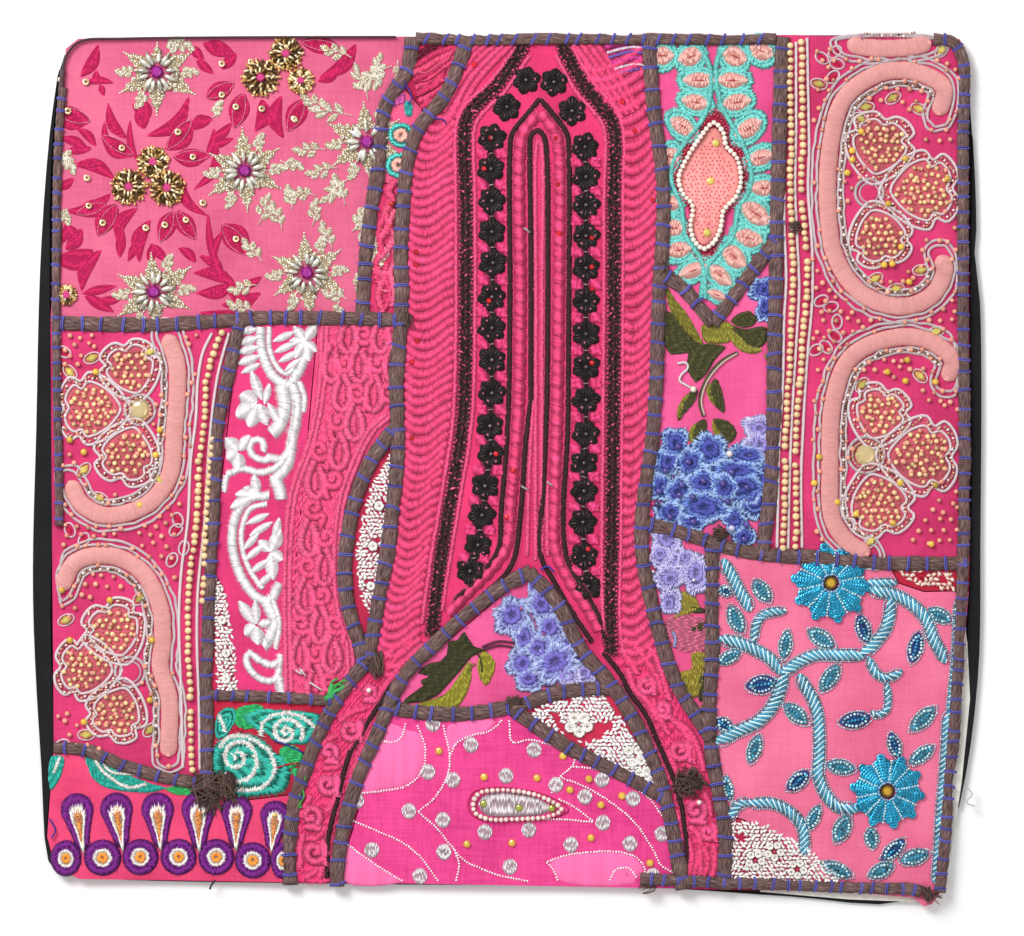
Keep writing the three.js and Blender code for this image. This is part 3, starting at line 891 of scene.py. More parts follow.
    def hatch(self, outline: Points, tint: str | Points, angle: float = 0.0, long: float = 3.8, gap: float = 0.66,
              wide: float = 0.72, rise: float = 0.25, rough: float = 0.35, stuff: Stuff = Stuff.SILK,
              lift: float = 0.3, spread: float = 0.13) -> None:
        """Covers a closed shape with rows of single stitches whose ends pass its edge unevenly.

        Args:
            outline: The places round its edge, in pixels.
            tint: The thread's colour.
            angle: The stitches' angle in radians.
            long: Their length in millimetres.
            gap: The distance between two rows.
            wide: The width of a stitch.
            rise: How high its middle stands.
            rough: How far the ends pass the edge, in millimetres.
            stuff: The thread's finish.
            lift: The height of their ends above the face.
            spread: How much their shades differ.
        """
        cos, sin = math.cos(angle), math.sin(angle)
        turn = np.array([[cos, -sin], [sin, cos]])
        edge = smooth(at(outline), closed=True, per_span=5) @ turn
        after = np.roll(edge, -1, axis=0)
        starts, ends = [], []
        for y in np.arange(edge[:, 1].min() + gap / 2, edge[:, 1].max(), gap):
            hit = (edge[:, 1] > y) != (after[:, 1] > y)
            a, b = edge[hit], after[hit]
            marks = np.sort(a[:, 0] + (y - a[:, 1]) / (b[:, 1] - a[:, 1]) * (b[:, 0] - a[:, 0]))
            for low, high in zip(marks[::2], marks[1::2]):
                low, high = low - rough * self.chance.random(), high + rough * self.chance.random()
                count = max(1, int((high - low) / long + self.chance.random()))
                cuts = np.linspace(low, high, count + 1)
                cuts[1:-1] += self.chance.normal(0, long * 0.15, count - 1)
                starts += [(x, y) for x in cuts[:-1]]
                ends += [(x + 0.2, y) for x in cuts[1:]]
        if starts:
            self.slivers(np.array(starts) @ turn.T, np.array(ends) @ turn.T, wide,
                         self.vary(tint, spread, len(starts)), rise, stuff, lift)

    def rays(self, outline: Points, layers: Sequence[tuple[float, float, str]], base: str, gap: float = 0.62,
             wide: float = 0.7, rise: float = 0.35, rough: float = 0.05, stuff: Stuff = Stuff.SILK, lift: float = 0.1,
             height: float = 0.5, dip: float = 0.2) -> None:
        """Covers a closed shape with single stitches that run in towards its middle.

        Args:
            outline: The places round its edge, in pixels.
            layers: For each layer its outer and its inner reach as shares of the way out, and its colour.
            base: The colour between the stitches, given darker than theirs as painted shade between them.
            gap: The distance between two stitches at the edge.
            wide: The width of a stitch.
            rise: How high its middle stands.
            rough: How uneven the reaches are.
            stuff: The thread's finish.
            lift: The height of the shape's edge above the face.
            height: How high its rim stands.
            dip: How high its middle stands.
        """
        edge = smooth(at(outline), closed=True, per_span=5)
        self.mound(edge, [(0.99, -0.25, base), (0.93, height * 0.6, base), (0.7, height, base), (0, dip, base)], None,
                   stuff, lift=lift, step=1.6)
        core = spaced(edge, 1.5).mean(axis=0)
        around = spaced(np.vstack([edge, edge[:1]]), gap)[:-1] - core
        for outer, inner, tint in layers:
            step = 1 if outer > 0.6 else 2
            rays = around[::step]
            count = len(rays)
            far = (outer + rough * self.chance.standard_normal(count))[:, None]
            near = (inner + rough * self.chance.standard_normal(count))[:, None]
            level = height if outer > 0.6 else (height + dip) / 2
            self.slivers(core + rays * far, core + rays * near, wide, self.vary(tint, 0.13, count), rise, stuff,
                         lift + level)

    def stamp(self, template: "Template", places: Points, sizes: Points | float, tints: Points, stuff: Stuff,
              turns: Points | float = 0.0, lift: Points | float = 0.0, raw: bool = False,
              shape: Sequence[float] = (1, 1, 1)) -> None:
        """Sets many copies of a small template on the face.

        Args:
            template: The shape, one unit across.
            places: Where, in pixels, or in millimetres if raw.
            sizes: Their sizes in millimetres.
            tints: One linear colour, or one for each.
            stuff: Their finish.
            turns: Their angles in radians.
            lift: The height of their middles above the face.
            raw: Whether the places are in millimetres.
            shape: Their width, length and height as shares of their size.
        """
        spots = np.asarray(places, float) if raw else at(places)
        count = len(spots)
        if not count:
            return
        scale = np.broadcast_to(np.asarray(sizes, float), (count,))[:, None] * np.array(shape, float)
        turns = np.broadcast_to(np.asarray(turns, float), (count,))
        copies = template.points[None] * scale[:, None, :]
        cos, sin = np.cos(turns)[:, None], np.sin(turns)[:, None]
        x = copies[..., 0] * cos - copies[..., 1] * sin + spots[:, :1]
        y = copies[..., 0] * sin + copies[..., 1] * cos + spots[:, 1:]
        z = copies[..., 2] + (self.face.height(spots[:, 0], spots[:, 1]) + lift)[:, None]
        points = np.stack([x, y, z], axis=-1).reshape(-1, 3)
        each = len(template.points)
        quads = (template.quads[None] + each * np.arange(count)[:, None, None]).reshape(-1, 4)
        shades = np.repeat(np.broadcast_to(np.asarray(tints, float), (count, 3)), each, axis=0)
        # Painted shade: each copy's colour is darkened towards its underside by the template's shade.
        shades = shades * np.tile(template.shade, count)[:, None]
        self.batch(stuff).add(points, quads, np.full((len(quads), 4, 2), 0.5), np.clip(shades, 0, 1))

    def finish(self, name: str, slot: str, materials: dict[Stuff, bpy.types.Material]) -> list[bpy.types.Object]:
        """Makes one piece of each stuff used.

        Args:
            name: The start of the pieces' names.
            slot: The record's material slot.
            materials: The finish of each stuff.

        Returns:
            The pieces.
        """
        made = []
        for stuff, batch in self.batches.items():
            piece = batch.piece(f"{name}_{stuff.value.name}", materials[stuff], slot, flat=stuff is Stuff.STONE)
            log.info("%s: %d faces", piece.name, len(piece.data.polygons))
            made.append(piece)
        return made


@dataclass
class Template:
    """A small shape to repeat: its points, its faces and, for each point, a painted shade that darkens it towards the
    underside.
    """

    points: Points
    quads: Points
    shade: Points

    @classmethod
    def from_bmesh(cls, shape: bmesh.types.BMesh, shade: float = 0.0) -> "Template":
        """Takes a shape out of a bmesh, and frees it.

        Args:
            shape: The shape, one unit across.
            shade: How much darker its lowest points are painted, as painted shade.

        Returns:
            The template.
        """
        bmesh.ops.recalc_face_normals(shape, faces=shape.faces)
        shape.verts.ensure_lookup_table()
        points = np.array([v.co[:] for v in shape.verts])
        rows = []
        for face in shape.faces:
            ids = [v.index for v in face.verts]
            if len(ids) <= 4:
                rows.append(ids + ids[-1:] * (4 - len(ids)))
            else:
                rows.extend([ids[0], ids[k], ids[k + 1], ids[k + 1]] for k in range(1, len(ids) - 1))
        low, high = points[:, 2].min(), points[:, 2].max()
        # Painted shade: lower points get a darker colour.
        painted_underside_shade = 1 - shade * (high - points[:, 2]) / max(high - low, 1e-9)
        shape.free()
        return cls(points, np.array(rows), painted_underside_shade)

    @classmethod
    def bead(cls, around: int = 8, rows: int = 5, flat: float = 0.8) -> "Template":
        """Makes a round bead, slightly flattened.

        Args:
            around: How many facets it has around.
            rows: How many rows of facets it has.
            flat: Its height as a share of its width.

        Returns:
            The bead.
        """
        shape = bmesh.new()
        bmesh.ops.create_uvsphere(shape, u_segments=around, v_segments=rows, radius=0.5)
        bmesh.ops.scale(shape, vec=(1, 1, flat), verts=shape.verts)
        return cls.from_bmesh(shape, 0.35)

    @classmethod
    def bugle(cls) -> "Template":
        """Makes a bugle bead, a short six-sided tube that lies along its first axis.

        Returns:
            The bead.
        """
        shape = bmesh.new()
        bmesh.ops.create_cone(shape, cap_ends=True, segments=6, radius1=0.5, radius2=0.5, depth=1.0)
        turn = ((0, 0, 1), (0, 1, 0), (-1, 0, 0))
        for v in shape.verts:
            v.co = [sum(turn[i][k] * v.co[k] for k in range(3)) for i in range(3)]
        return cls.from_bmesh(shape, 0.3)

    @classmethod
    def sequin(cls) -> "Template":
        """Makes a cupped sequin with a hole in its middle.

        Returns:
            The sequin.
        """
        shape = bmesh.new()
        bmesh.ops.create_cone(shape, cap_ends=False, segments=7, radius1=0.14, radius2=0.5, depth=0.14)
        bmesh.ops.solidify(shape, geom=shape.faces[:], thickness=0.05)
        return cls.from_bmesh(shape, 0.2)

    @classmethod
    def stone(cls, around: int = 8) -> "Template":
        """Makes a cut stone with a flat table and sloping facets.

        Args:
            around: How many facets it has around.

        Returns:
            The stone.
        """
        shape = bmesh.new()
        bmesh.ops.create_cone(shape, cap_ends=True, segments=around, radius1=0.5, radius2=0.3, depth=0.3)
        bmesh.ops.bevel(shape, geom=[e for e in shape.edges if all(v.co.z > 0 for v in e.verts)], offset=0.06,
                        segments=1, profile=0.5, affect="EDGES", material=-1)
        return cls.from_bmesh(shape, 0.25)

    @classmethod
    def marquise(cls) -> "Template":
        """Makes a cut stone that is pointed at both ends.

        Returns:
            The stone.
        """
        shape = bmesh.new()
        bmesh.ops.create_cone(shape, cap_ends=True, segments=8, radius1=0.5, radius2=0.22, depth=0.3)
        for v in shape.verts:
            v.co.y *= 0.55 * (1.15 - abs(v.co.x) * 1.2)
        return cls.from_bmesh(shape, 0.25)


@dataclass(frozen=True)
class YarnFinish:
    """The finish of the thick couched yarn: loose fibres of three colours that run along it."""

    name: str = "cord_yarn"
    light: str = "8a766e"
    brown: str = "6e5250"
    dark: str = "3a2b2a"

    def build(self, effects: Effects) -> bpy.types.Material:
        """Makes the yarn's material.

        Args:
            effects: The shared shader groups.

        Returns:
            The new material.
        """
        material, n, shader = new_material(
            self.name, Roughness=0.85, Specular_IOR_Level=0.2)
        uv = n.add("ShaderNodeTexCoord").outputs["UV"]
        long_way = n.add("ShaderNodeMapping", in_Vector=uv, in_Scale=(1.0, 0.35, 1.0)).outputs[0]
        fine = n.add("ShaderNodeTexNoise", noise_dimensions="2D", in_Vector=long_way, in_Scale=1.3, in_Detail=4.0)
        broad = n.add("ShaderNodeTexNoise", noise_dimensions="2D", in_Vector=uv, in_Scale=0.16, in_Detail=2.0)
        ramp = n.add("ShaderNodeValToRGB", in_0=fine.outputs[0])
        stops = ramp.color_ramp.elements
        stops[0].position, stops[0].color = 0.3, (*dye(self.dark), 1)
        stops[1].position, stops[1].color = 0.7, (*dye(self.light), 1)
        middle = stops.new(0.5)
        middle.color = (*dye(self.brown), 1)
        shade = n.sum("MULTIPLY_ADD", broad.outputs[0], 0.8, 0.6)
        grey = n.add("ShaderNodeCombineColor", in_0=shade, in_1=shade, in_2=shade).outputs[0]
        bump = n.add("ShaderNodeBump", in_Strength=0.8, in_Distance=0.0006, in_Height=fine.outputs[0])
        n.tree.links.new(n.mix(1.0, ramp.outputs[0], grey, "MULTIPLY"), shader.inputs["Base Color"])
        n.tree.links.new(bump.outputs[0], shader.inputs["Normal"])
        return material


@dataclass
class PatchCloth:
    """One patch's ground cloth, cut to its outline and laid beside its neighbours.

    Attributes:
        node: The patch's name.
        flat: The width and length of the rectangle that it is cut from, in millimetres; not used.
        finish: The cloth's finish.
        cell: The size of its facets, in millimetres.
        underside: The height of its underside, in millimetres.
    """

    node: str
    flat: tuple[float, float]
    finish: ClothFinish
    cell: float = 3.0
    underside: float = 1.5

    def build(self, face: Face, effects: Effects) -> bpy.types.Object:
        """Cuts, lays and dresses the patch.

        Args:
            face: The surface that it follows.
            effects: The shared shader groups.

        Returns:
            The patch, which stands for its solid.
        """
        node = f"patch_{self.node}"
        shape = bmesh.new()
        shape.from_mesh(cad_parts[node].data)
        bmesh.ops.remove_doubles(shape, verts=shape.verts, dist=1e-6)
        shape.normal_update()
        bmesh.ops.delete(shape, geom=[f for f in shape.faces if f.normal.z < 0.5], context="FACES")
        bmesh.ops.dissolve_limit(shape, angle_limit=0.3, verts=shape.verts, edges=shape.edges)
        area = sum(f.calc_area() for f in shape.faces)
        spots = np.array([v.co[:] for v in shape.verts])
        for axis in (0, 1):
            normal = (1, 0, 0) if axis == 0 else (0, 1, 0)
            first, last = spots[:, axis].min() / MM, spots[:, axis].max() / MM
            for place in np.arange(math.ceil(first / self.cell) * self.cell, last, self.cell):
                bmesh.ops.bisect_plane(shape, geom=shape.verts[:] + shape.edges[:] + shape.faces[:],
                                       plane_co=tuple(place * MM * k for k in normal), plane_no=normal)
        spots = np.array([v.co[:] for v in shape.verts]) / MM
        for vert, height in zip(shape.verts, face.height(spots[:, 0], spots[:, 1])):
            vert.co.z = height * MM
        rim = [e for e in shape.edges if e.is_boundary]
        made = bmesh.ops.extrude_edge_only(shape, edges=rim)["geom"]
        for vert in (v for v in made if isinstance(v, bmesh.types.BMVert)):
            vert.co.z = self.underside * MM
        bmesh.ops.holes_fill(shape, edges=[e for e in shape.edges if e.is_boundary], sides=0)
        bmesh.ops.recalc_face_normals(shape, faces=shape.faces)
        return lay(shape, node, node, self.finish.build(effects), area)


def lay(shape: bmesh.types.BMesh, name: str, node: str, material: bpy.types.Material,
        area: float) -> bpy.types.Object:
    """Makes a sheet of cloth of a shape, and frees the shape.

    Args:
        shape: The cloth, in metres.
        name: The start of the piece's name.
        node: The solid that it stands for.
        material: Its finish.
        area: The cut's area in square metres.

    Returns:
        The piece.
    """
    mesh = bpy.data.meshes.new(f"{name}_cloth")
    shape.to_mesh(mesh)
    shape.free()
    mesh.materials.append(material)
    for face in mesh.polygons:
        face.use_smooth = abs(face.normal.z) > 0.6
    piece = bpy.data.objects.new(f"{name}_cloth", mesh)
    bpy.context.scene.collection.objects.link(piece)
    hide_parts(node)
    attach(piece, BODY)
    log.info("%s: %d faces, %.0f square mm", piece.name, len(mesh.polygons), area / MM ** 2)
    return piece


@dataclass
class BackCloth:
    """The black cotton back with its turned hem, or the white lining strip beside it.

    Attributes:
        node: The solid that it stands for.
        slot: The record's material slot; not used.
        flat: The width and length of its cut, in millimetres; not used.
        finish: The cloth's finish.
        rests_on: What it lies on; not used.
        ripple: How uneven it lies, in millimetres.
    """

    node: str
    slot: str
    flat: tuple[float, float]
    finish: ClothFinish
    rests_on: str
    ripple: float = 0.25

    def build(self, effects: Effects) -> bpy.types.Object:
        """Makes the cloth, closed all round, uneven on top and flat where it rests.

        Args:
            effects: The shared shader groups.

        Returns:
            The cloth.
        """
        shape = bmesh.new()
        shape.from_mesh(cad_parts[self.node].data)
        bmesh.ops.remove_doubles(shape, verts=shape.verts, dist=1e-6)
        area = sum(f.calc_area() for f in shape.faces if f.normal.z < -0.5)
        for axis in (0, 1):
            normal = (1, 0, 0) if axis == 0 else (0, 1, 0)
            for place in np.arange(-210, 211, 14.0):
                bmesh.ops.bisect_plane(shape, geom=shape.verts[:] + shape.edges[:] + shape.faces[:],
                                       plane_co=tuple(place * MM * k for k in normal), plane_no=normal)
        for vert in shape.verts:
            x, y, z = (c / MM for c in vert.co)
            wave = math.sin(x / 9.1 + 1.3 * math.sin(y / 17)) * math.sin(y / 11.7 + 0.8 * math.sin(x / 23))
            if z > 2:
                vert.co.z -= self.ripple * (0.5 + 0.5 * wave) * MM
        return lay(shape, self.node, self.node, self.finish.build(effects), area)


@dataclass
class Couching:
    """The thick yarn over the seams and edges, and the blue stitches that hold it down.

    Attributes:
        height: How high the yarn stands, in millimetres.
        seat: How high its underside lies above the drawn-down seam.
        plump: The yarn's own width as a share of the width that it is given.
        blue: The colour of the holding stitches.
        stitch_gap: The least and the most distance between two of them.
        tucked: The seams whose yarn starts or ends under another.
    """

    height: float = 2.7
    seat: float = 0.35
    plump: float = 0.97
    blue: str = "8480f0"
    stitch_gap: tuple[float, float] = (7.0, 10.0)
    tucked: tuple[str, ...] = ("right_cross", "left_cross", "zari_right", "vine_left", "arch_foot", "lace_foot",
                               "teal_top", "left_foot", "notch_left", "notch_right", "lower_left")

    def build(self, face: Face, materials: dict["Stuff", bpy.types.Material], yarn: bpy.types.Material) -> None:
        """Lays each length of yarn and stitches it down.

        Args:
            face: The surface under it.
            materials: The finishes of threads.
            yarn: The yarn's own finish.
        """
        for seed, (name, (width, route)) in enumerate(SEAMS.items()):
            if not width:
                continue
            needle = Needle(face, 100 + seed)
            spine = spaced(smooth(np.array(route, float)), 1.7)
            spine = spine[self.kept(spine)]
            run = lengths(spine)
            marks = self.marks(run[-1], needle.chance, name.startswith("edge"))
            self.lay_yarn(needle, name, width * self.plump, spine, run, marks)
            piece = needle.batch(Stuff.YARN).piece(f"cord_{name}_yarn", yarn, "seam_yarn")
            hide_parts(f"cord_{name}")
            log.info("%s: %d faces", piece.name, len(piece.data.polygons))
            stitches = Needle(face, 200 + seed)
            self.whip(stitches, width * self.plump, spine, run, marks, name)
            stitches.finish(f"whip_{name}", "seam_yarn", materials)

    @staticmethod
    def kept(spine: Points) -> Points:
        """Returns which places of a route lie inside the cover's edges."""
        low = np.where(spine[:, 0] < 0, -187.5, -190.2)
        return (spine[:, 0] > -205) & (spine[:, 0] < 208.5) & (spine[:, 1] < 195.6) & (spine[:, 1] > low)

    def marks(self, run: float, chance: np.random.Generator, at_edge: bool) -> Points:
        """Spaces the holding stitches.

        Args:
            run: The yarn's length in millimetres.
            chance: The random source.
            at_edge: Whether the yarn lies along the cover's edge.

        Returns:
            How far along the yarn each stitch is.
        """
        low, high = (5.2, 8.5) if at_edge else self.stitch_gap
        gaps = chance.uniform(low, high, int(run / low) + 2)
        places = np.cumsum(gaps) - gaps[0] / 2
        return places[places < run - 2]

    def lay_yarn(self, needle: Needle, name: str, width: float, spine: Points, run: Points, marks: Points) -> None:
        """Lays one length of yarn, drawn in at each holding stitch.

        Args:
            needle: Where its mesh goes.
            name: The seam's name.
            width: The yarn's width in millimetres.
            spine: Its places.
            run: How far along each of them is.
            marks: How far along each holding stitch is.
        """
        pinch = np.exp(-((run[:, None] - marks[None, :]) / 1.5) ** 2).max(axis=1) if len(marks) else run * 0
        sway = np.convolve(needle.chance.standard_normal(len(run) + 8), np.ones(9) / 3, "valid")
        half = width / 2 * (1 + 0.05 * sway - 0.13 * pinch)
        high = self.height * (1 - 0.2 * pinch)
        seat = self.seat - (0.5 if name in self.tucked else 0.0)
        side = sideways(spine)
        spine = spine + side * (0.25 * sway)[:, None] * 0.6
        ribs = 15
        angle = np.linspace(0, math.pi, ribs)
        ridge = 1 + 0.045 * np.cos(np.arange(ribs) * math.pi)[None, :] * np.sin(run / 9 + 1)[:, None]
        across = -np.cos(angle)[None, :] * half[:, None]
        places = spine[:, None, :] + side[:, None, :] * across[:, :, None]
        middle = needle.face.height(spine[:, 0], spine[:, 1])
        z = middle[:, None] + seat + high[:, None] * (np.sin(angle) ** 0.7)[None, :] * ridge
        z[:, [0, -1]] = middle[:, None] + seat - 0.1
        points = np.column_stack([places.reshape(-1, 2), z.ravel()])
        count = len(spine)
        rows, cols = np.meshgrid(np.arange(count - 1), np.arange(ribs), indexing="ij")
        nxt = (cols + 1) % ribs
        quads = np.stack([rows * ribs + cols, (rows + 1) * ribs + cols, (rows + 1) * ribs + nxt, rows * ribs + nxt],
                         axis=-1).reshape(-1, 4)
        twist = run * 0.25
        u = angle[None, :] * width / 1.2
        left, right = u[0][cols], np.where(nxt > 0, u[0][nxt], 2 * u[0][-1])
        maps = [(left + twist[rows], run[rows]), (left + twist[rows + 1], run[rows + 1]),
                (right + twist[rows + 1], run[rows + 1]), (right + twist[rows], run[rows])]
        uv = np.stack([np.stack([a, b / 2], axis=-1) for a, b in maps], axis=-2).reshape(-1, 4, 2)
        caps = [[0, k, k + 1, k + 1] for k in range(1, ribs - 1)]
        end = (count - 1) * ribs
        caps += [[end, end + k + 1, end + k, end + k] for k in range(1, ribs - 1)]
        needle.batch(Stuff.YARN).add(points, np.vstack([quads, np.array(caps)]),
                                     np.concatenate([uv, np.full((len(caps), 4, 2), 0.5)]), np.ones(3))

    def whip(self, needle: Needle, width: float, spine: Points, run: Points, marks: Points, name: str) -> None:
        """Takes the blue stitches over one length of yarn.

        Args:
            needle: Where the stitches go.
            width: The yarn's width.
            spine: Its places.
            run: How far along each of them is.
            marks: How far along each stitch is.
            name: The seam's name.
        """
        side = sideways(spine)
        along = np.column_stack([side[:, 1], -side[:, 0]])
        slant = 0.45 if name == "edge_top" else 0.04
        for mark in marks:
            k = int(np.searchsorted(run, mark))
            k = min(k, len(spine) - 1)
            lean = needle.chance.normal(slant, 0.09)
            bend = needle.chance.normal(0, 0.35)
            reach = width / 2 + needle.chance.uniform(-0.1, 0.35, 2)
            for strand in range(2):
                gap = (strand - 0.5) * 0.78
                t = np.linspace(-1, 1, 8)
                out = np.where(t < 0, -t * reach[0], t * reach[1]) * np.sign(t)
                shift = lean * out + gap * (1 - 0.35 * t ** 2) + bend * (1 - t ** 2)
                line = spine[k] + side[k] * out[:, None] + along[k] * shift[:, None]
                over = self.height * 0.84 * np.sqrt(np.clip(1 - (out / (width / 2 + 0.25)) ** 2, 0, 1))
                tint = needle.vary(self.blue, 0.16)[0]
                needle.sweep(line, 0.31, 0.42, tint, Strands.ALONG, Stuff.COTTON, lift=0.2, ribs=4, pitch=0.33,
                             over=over + self.seat, sink=0.15)


@dataclass
class Studio:
    """The floor, the lights and the camera straight above the cover.

    Attributes:
        height: The camera's height in metres.
        across: The width that the picture takes in, in metres.
        middle: The place under the middle of the picture, in metres.
    """

    height: float = 1.6
    across: float = 0.4608
    middle: tuple[float, float] = (0.00225, 0.0009)

    def build(self) -> None:
        """Sets up the floor, the lights and the camera."""
        scene = bpy.context.scene
        scene.view_settings.view_transform = "Standard"
        self.floor()
        world = bpy.data.worlds.new("studio")
        world.use_nodes = True
        world.node_tree.nodes["Background"].inputs["Color"].default_value = (1.0, 1.0, 1.0, 1)
        world.node_tree.nodes["Background"].inputs["Strength"].default_value = 0.5
        scene.world = world
        self.light("key", (-0.8, 0.9, 1.15), 0.7, 27.0)
        self.light("fill", (0.95, -0.5, 1.5), 1.3, 5.0)
        camera = bpy.data.cameras.new("camera")
        camera.sensor_width = 36
        camera.lens = 36 * (self.height - 0.004) / self.across
        holder = bpy.data.objects.new("camera", camera)
        holder.location = (*self.middle, self.height)
        scene.collection.objects.link(holder)
        scene.camera = holder

    @staticmethod
    def light(name: str, place: tuple[float, float, float], size: float, power: float) -> None:
        """Adds a square area light aimed at the cover.

        Args:
            name: The light's name.
            place: Where it hangs, in metres.
            size: The length of its side.
            power: Its power in watts.
        """
        data = bpy.data.lights.new(name, "AREA")
        data.size = size
        data.energy = power
        lamp = bpy.data.objects.new(name, data)
        lamp.location = place
        lamp.rotation_euler = (-lamp.location).to_track_quat("-Z", "Y").to_euler()
        bpy.context.scene.collection.objects.link(lamp)

    @staticmethod
    def floor() -> None:
        """Adds the pale plain floor."""
        shape = bmesh.new()
        bmesh.ops.create_grid(shape, x_segments=2, y_segments=2, size=4.0)
        mesh = bpy.data.meshes.new("floor")
        shape.to_mesh(mesh)
        shape.free()
        material, n, shader = new_material("floor_paper", Roughness=0.9, Specular_IOR_Level=0.0)
        place = n.add("ShaderNodeTexCoord").outputs["Object"]
        noise = n.add("ShaderNodeTexNoise", in_Vector=place, in_Scale=3.0, in_Detail=2.0).outputs[0]
        n.tree.links.new(n.mix(noise, (0.93, 0.93, 0.93), (0.955, 0.955, 0.955)), shader.inputs["Base Color"])
        mesh.materials.append(material)
        floor = bpy.data.objects.new("floor", mesh)
        floor.location.z = -0.0002
        bpy.context.scene.collection.objects.link(floor)


class Motifs(Needle):
    """Stitched and beaded motifs, placed by the photograph's pixels."""

    def __init__(self, face: Face, seed: int) -> None:
        """Makes the templates that are stamped.

        Args:
            face: The surface that it sews on.
            seed: The seed of its small unevennesses.
        """
        super().__init__(face, seed)
        self.bead, self.bugle = Template.bead(7, 4), Template.bugle()
        self.seed_bead = Template.bead(5, 3)
        self.sequin, self.stone, self.marquise = Template.sequin(), Template.stone(), Template.marquise()

    def petal(self, base: Sequence[float], tip: Sequence[float], width: float, tint: str | Points, rise: float = 0.6,
              stuff: Stuff = Stuff.SILK, strands: Strands = Strands.ALONG, bend: float = 0.0, full: float = 0.5,
              edge_tint: str | None = None, pitch: float = 0.4, steps: int = 6, lift: float = 0.15,
              jagged: float = 0.0) -> None:
        """Stitches one petal or leaf.

        Args:
            base: Its narrow start, in pixels.
            tip: Its end, in pixels.
            width: Its greatest width in pixels.
            tint: Its colour.
            rise: How high it stands, in millimetres.
            stuff: Its finish.
            strands: Which way its threads run.
            bend: How far its middle swings aside, as a share of its length.
            full: Where along it the petal is widest.
            edge_tint: A second colour at its edges.
            pitch: The width of a thread in millimetres.
            steps: How many facets it has along it.
            lift: The height of its edges.
            jagged: How uneven its edges are.
        """
        ends = at([base, tip])
        t = np.linspace(0, 1, steps + 1)
        along = ends[1] - ends[0]
        side = np.array([-along[1], along[0]])
        spine = ends[0] + along * t[:, None] + side * (bend * np.sin(math.pi * t))[:, None]
        warp = np.where(t < full, t / full * 0.5, 0.5 + (t - full) / (1 - full) * 0.5)
        half = width * PIXEL / 2 * np.clip(np.sin(math.pi * warp), 0.06, 1) ** 0.75
        self.sweep(spine, half, rise * np.clip(np.sin(math.pi * warp), 0.15, 1), tint, strands, stuff, lift=lift,
                   pitch=pitch, edge_tint=edge_tint, jagged=jagged)

    def flower(self, centre: Sequence[float], radius: float, count: int, width: float, tint: str, turn: float = 0.0,
               start: float = 0.12, **more: object) -> None:
        """Stitches a ring of petals round a centre.

        Args:
            centre: Its middle, in pixels.
            radius: How far the petals reach.
            count: How many there are.
            width: The width of a petal.
            tint: Their colour.
            turn: The first petal's angle in radians.
            start: Where the petals start, as a share of the radius.
            more: Other settings of the petals.
        """
        for k in range(count):
            angle = turn + 2 * math.pi * k / count
            way = np.array([math.cos(angle), math.sin(angle)])
            shade = self.vary(tint, 0.1)[0]
            self.petal(centre + way * radius * start, centre + way * radius * self.chance.uniform(0.94, 1.04), width,
                       shade, **more)

    def disc(self, centre: Sequence[float], radius: float | tuple[float, float], tint: str, rise: float = 0.5,
             turn: float = 0.0, **more: object) -> None:
        """Fills a round or oval shape with satin stitch.

        Args:
            centre: Its middle, in pixels.
            radius: Its radius, or half its width and half its height.
            tint: Its colour.
            rise: How high its middle stands, in millimetres.
            turn: Its angle in radians.
            more: Other settings of the stitches.
        """
        wide, tall = (radius, radius) if isinstance(radius, (int, float)) else radius
        angles = np.linspace(0, 2 * math.pi, 12, endpoint=False)
        cos, sin = math.cos(turn), math.sin(turn)
        x, y = np.cos(angles) * wide, np.sin(angles) * tall
        ring = np.column_stack([centre[0] + x * cos - y * sin, centre[1] + x * sin + y * cos])
        self.dome(ring, rise, tint, raw=False, **more)

    def ring(self, centre: Sequence[float], radius: float | tuple[float, float], width: float, tint: str,
             turn: float = 0.0, rise: float = 0.5, **more: object) -> None:
        """Stitches a closed satin ring.

        Args:
            centre: Its middle, in pixels.
            radius: Its radius, or half its width and half its height.
            width: The width of its line.
            tint: Its colour.
            turn: Its angle in radians.
            rise: How high it stands, in millimetres.
            more: Other settings of the stitches.
        """
        wide, tall = (radius, radius) if isinstance(radius, (int, float)) else radius
        angles = np.linspace(0, 2 * math.pi, 14, endpoint=False)
        cos, sin = math.cos(turn), math.sin(turn)
        x, y = np.cos(angles) * wide, np.sin(angles) * tall
        places = np.column_stack([centre[0] + x * cos - y * sin, centre[1] + x * sin + y * cos])
        options: dict[str, object] = {"strands": Strands.ACROSS, "stuff": Stuff.SILK, "pitch": 0.4, "step": 1.0,
                                      "ribs": 4}
        options.update(more)
        self.line(places, width * PIXEL, tint, rise=rise, closed=True, **options)

    def band(self, route: Route, width: float, tint: str | Points, rise: float = 0.5, step: float = 1.4,
             **more: object) -> None:
        """Stitches a satin band along a route; when stitched, the band under the stitches is painted darker, as the
        shade between them.

        Args:
            route: The places that it passes, in pixels.
            width: Its width in pixels.
            tint: Its colour.
            rise: How high it stands, in millimetres.
            step: Half the length of its facets, in millimetres.
            more: Other settings, among them rough, slant and whether it is stitched.
        """
        options: dict[str, object] = {"strands": Strands.ACROSS, "stuff": Stuff.SILK, "pitch": 0.42, "ribs": 4}
        options.update(more)
        stitched, rough = bool(options.pop("stitched", True)), float(options.pop("rough", 0.14))
        slant = float(options.pop("slant", 0.0))
        # Painted shade: under stitches the band is darkened, so that it shows between them as shade.
        base = np.array(dye(tint) if isinstance(tint, str) else tint) * (0.86 if stitched else 1.0)
        spine = self.line(route, width * PIXEL, base, rise=rise * 0.7, step=step * 2.0, **options)
        if stitched:
            self.satin(spine, width * PIXEL * 0.56, tint, stuff=options["stuff"], rise=rise + 0.1, rough=rough,
                       slant=slant, lift=float(options.get("lift", 0.12)) + 0.05, spread=0.15)

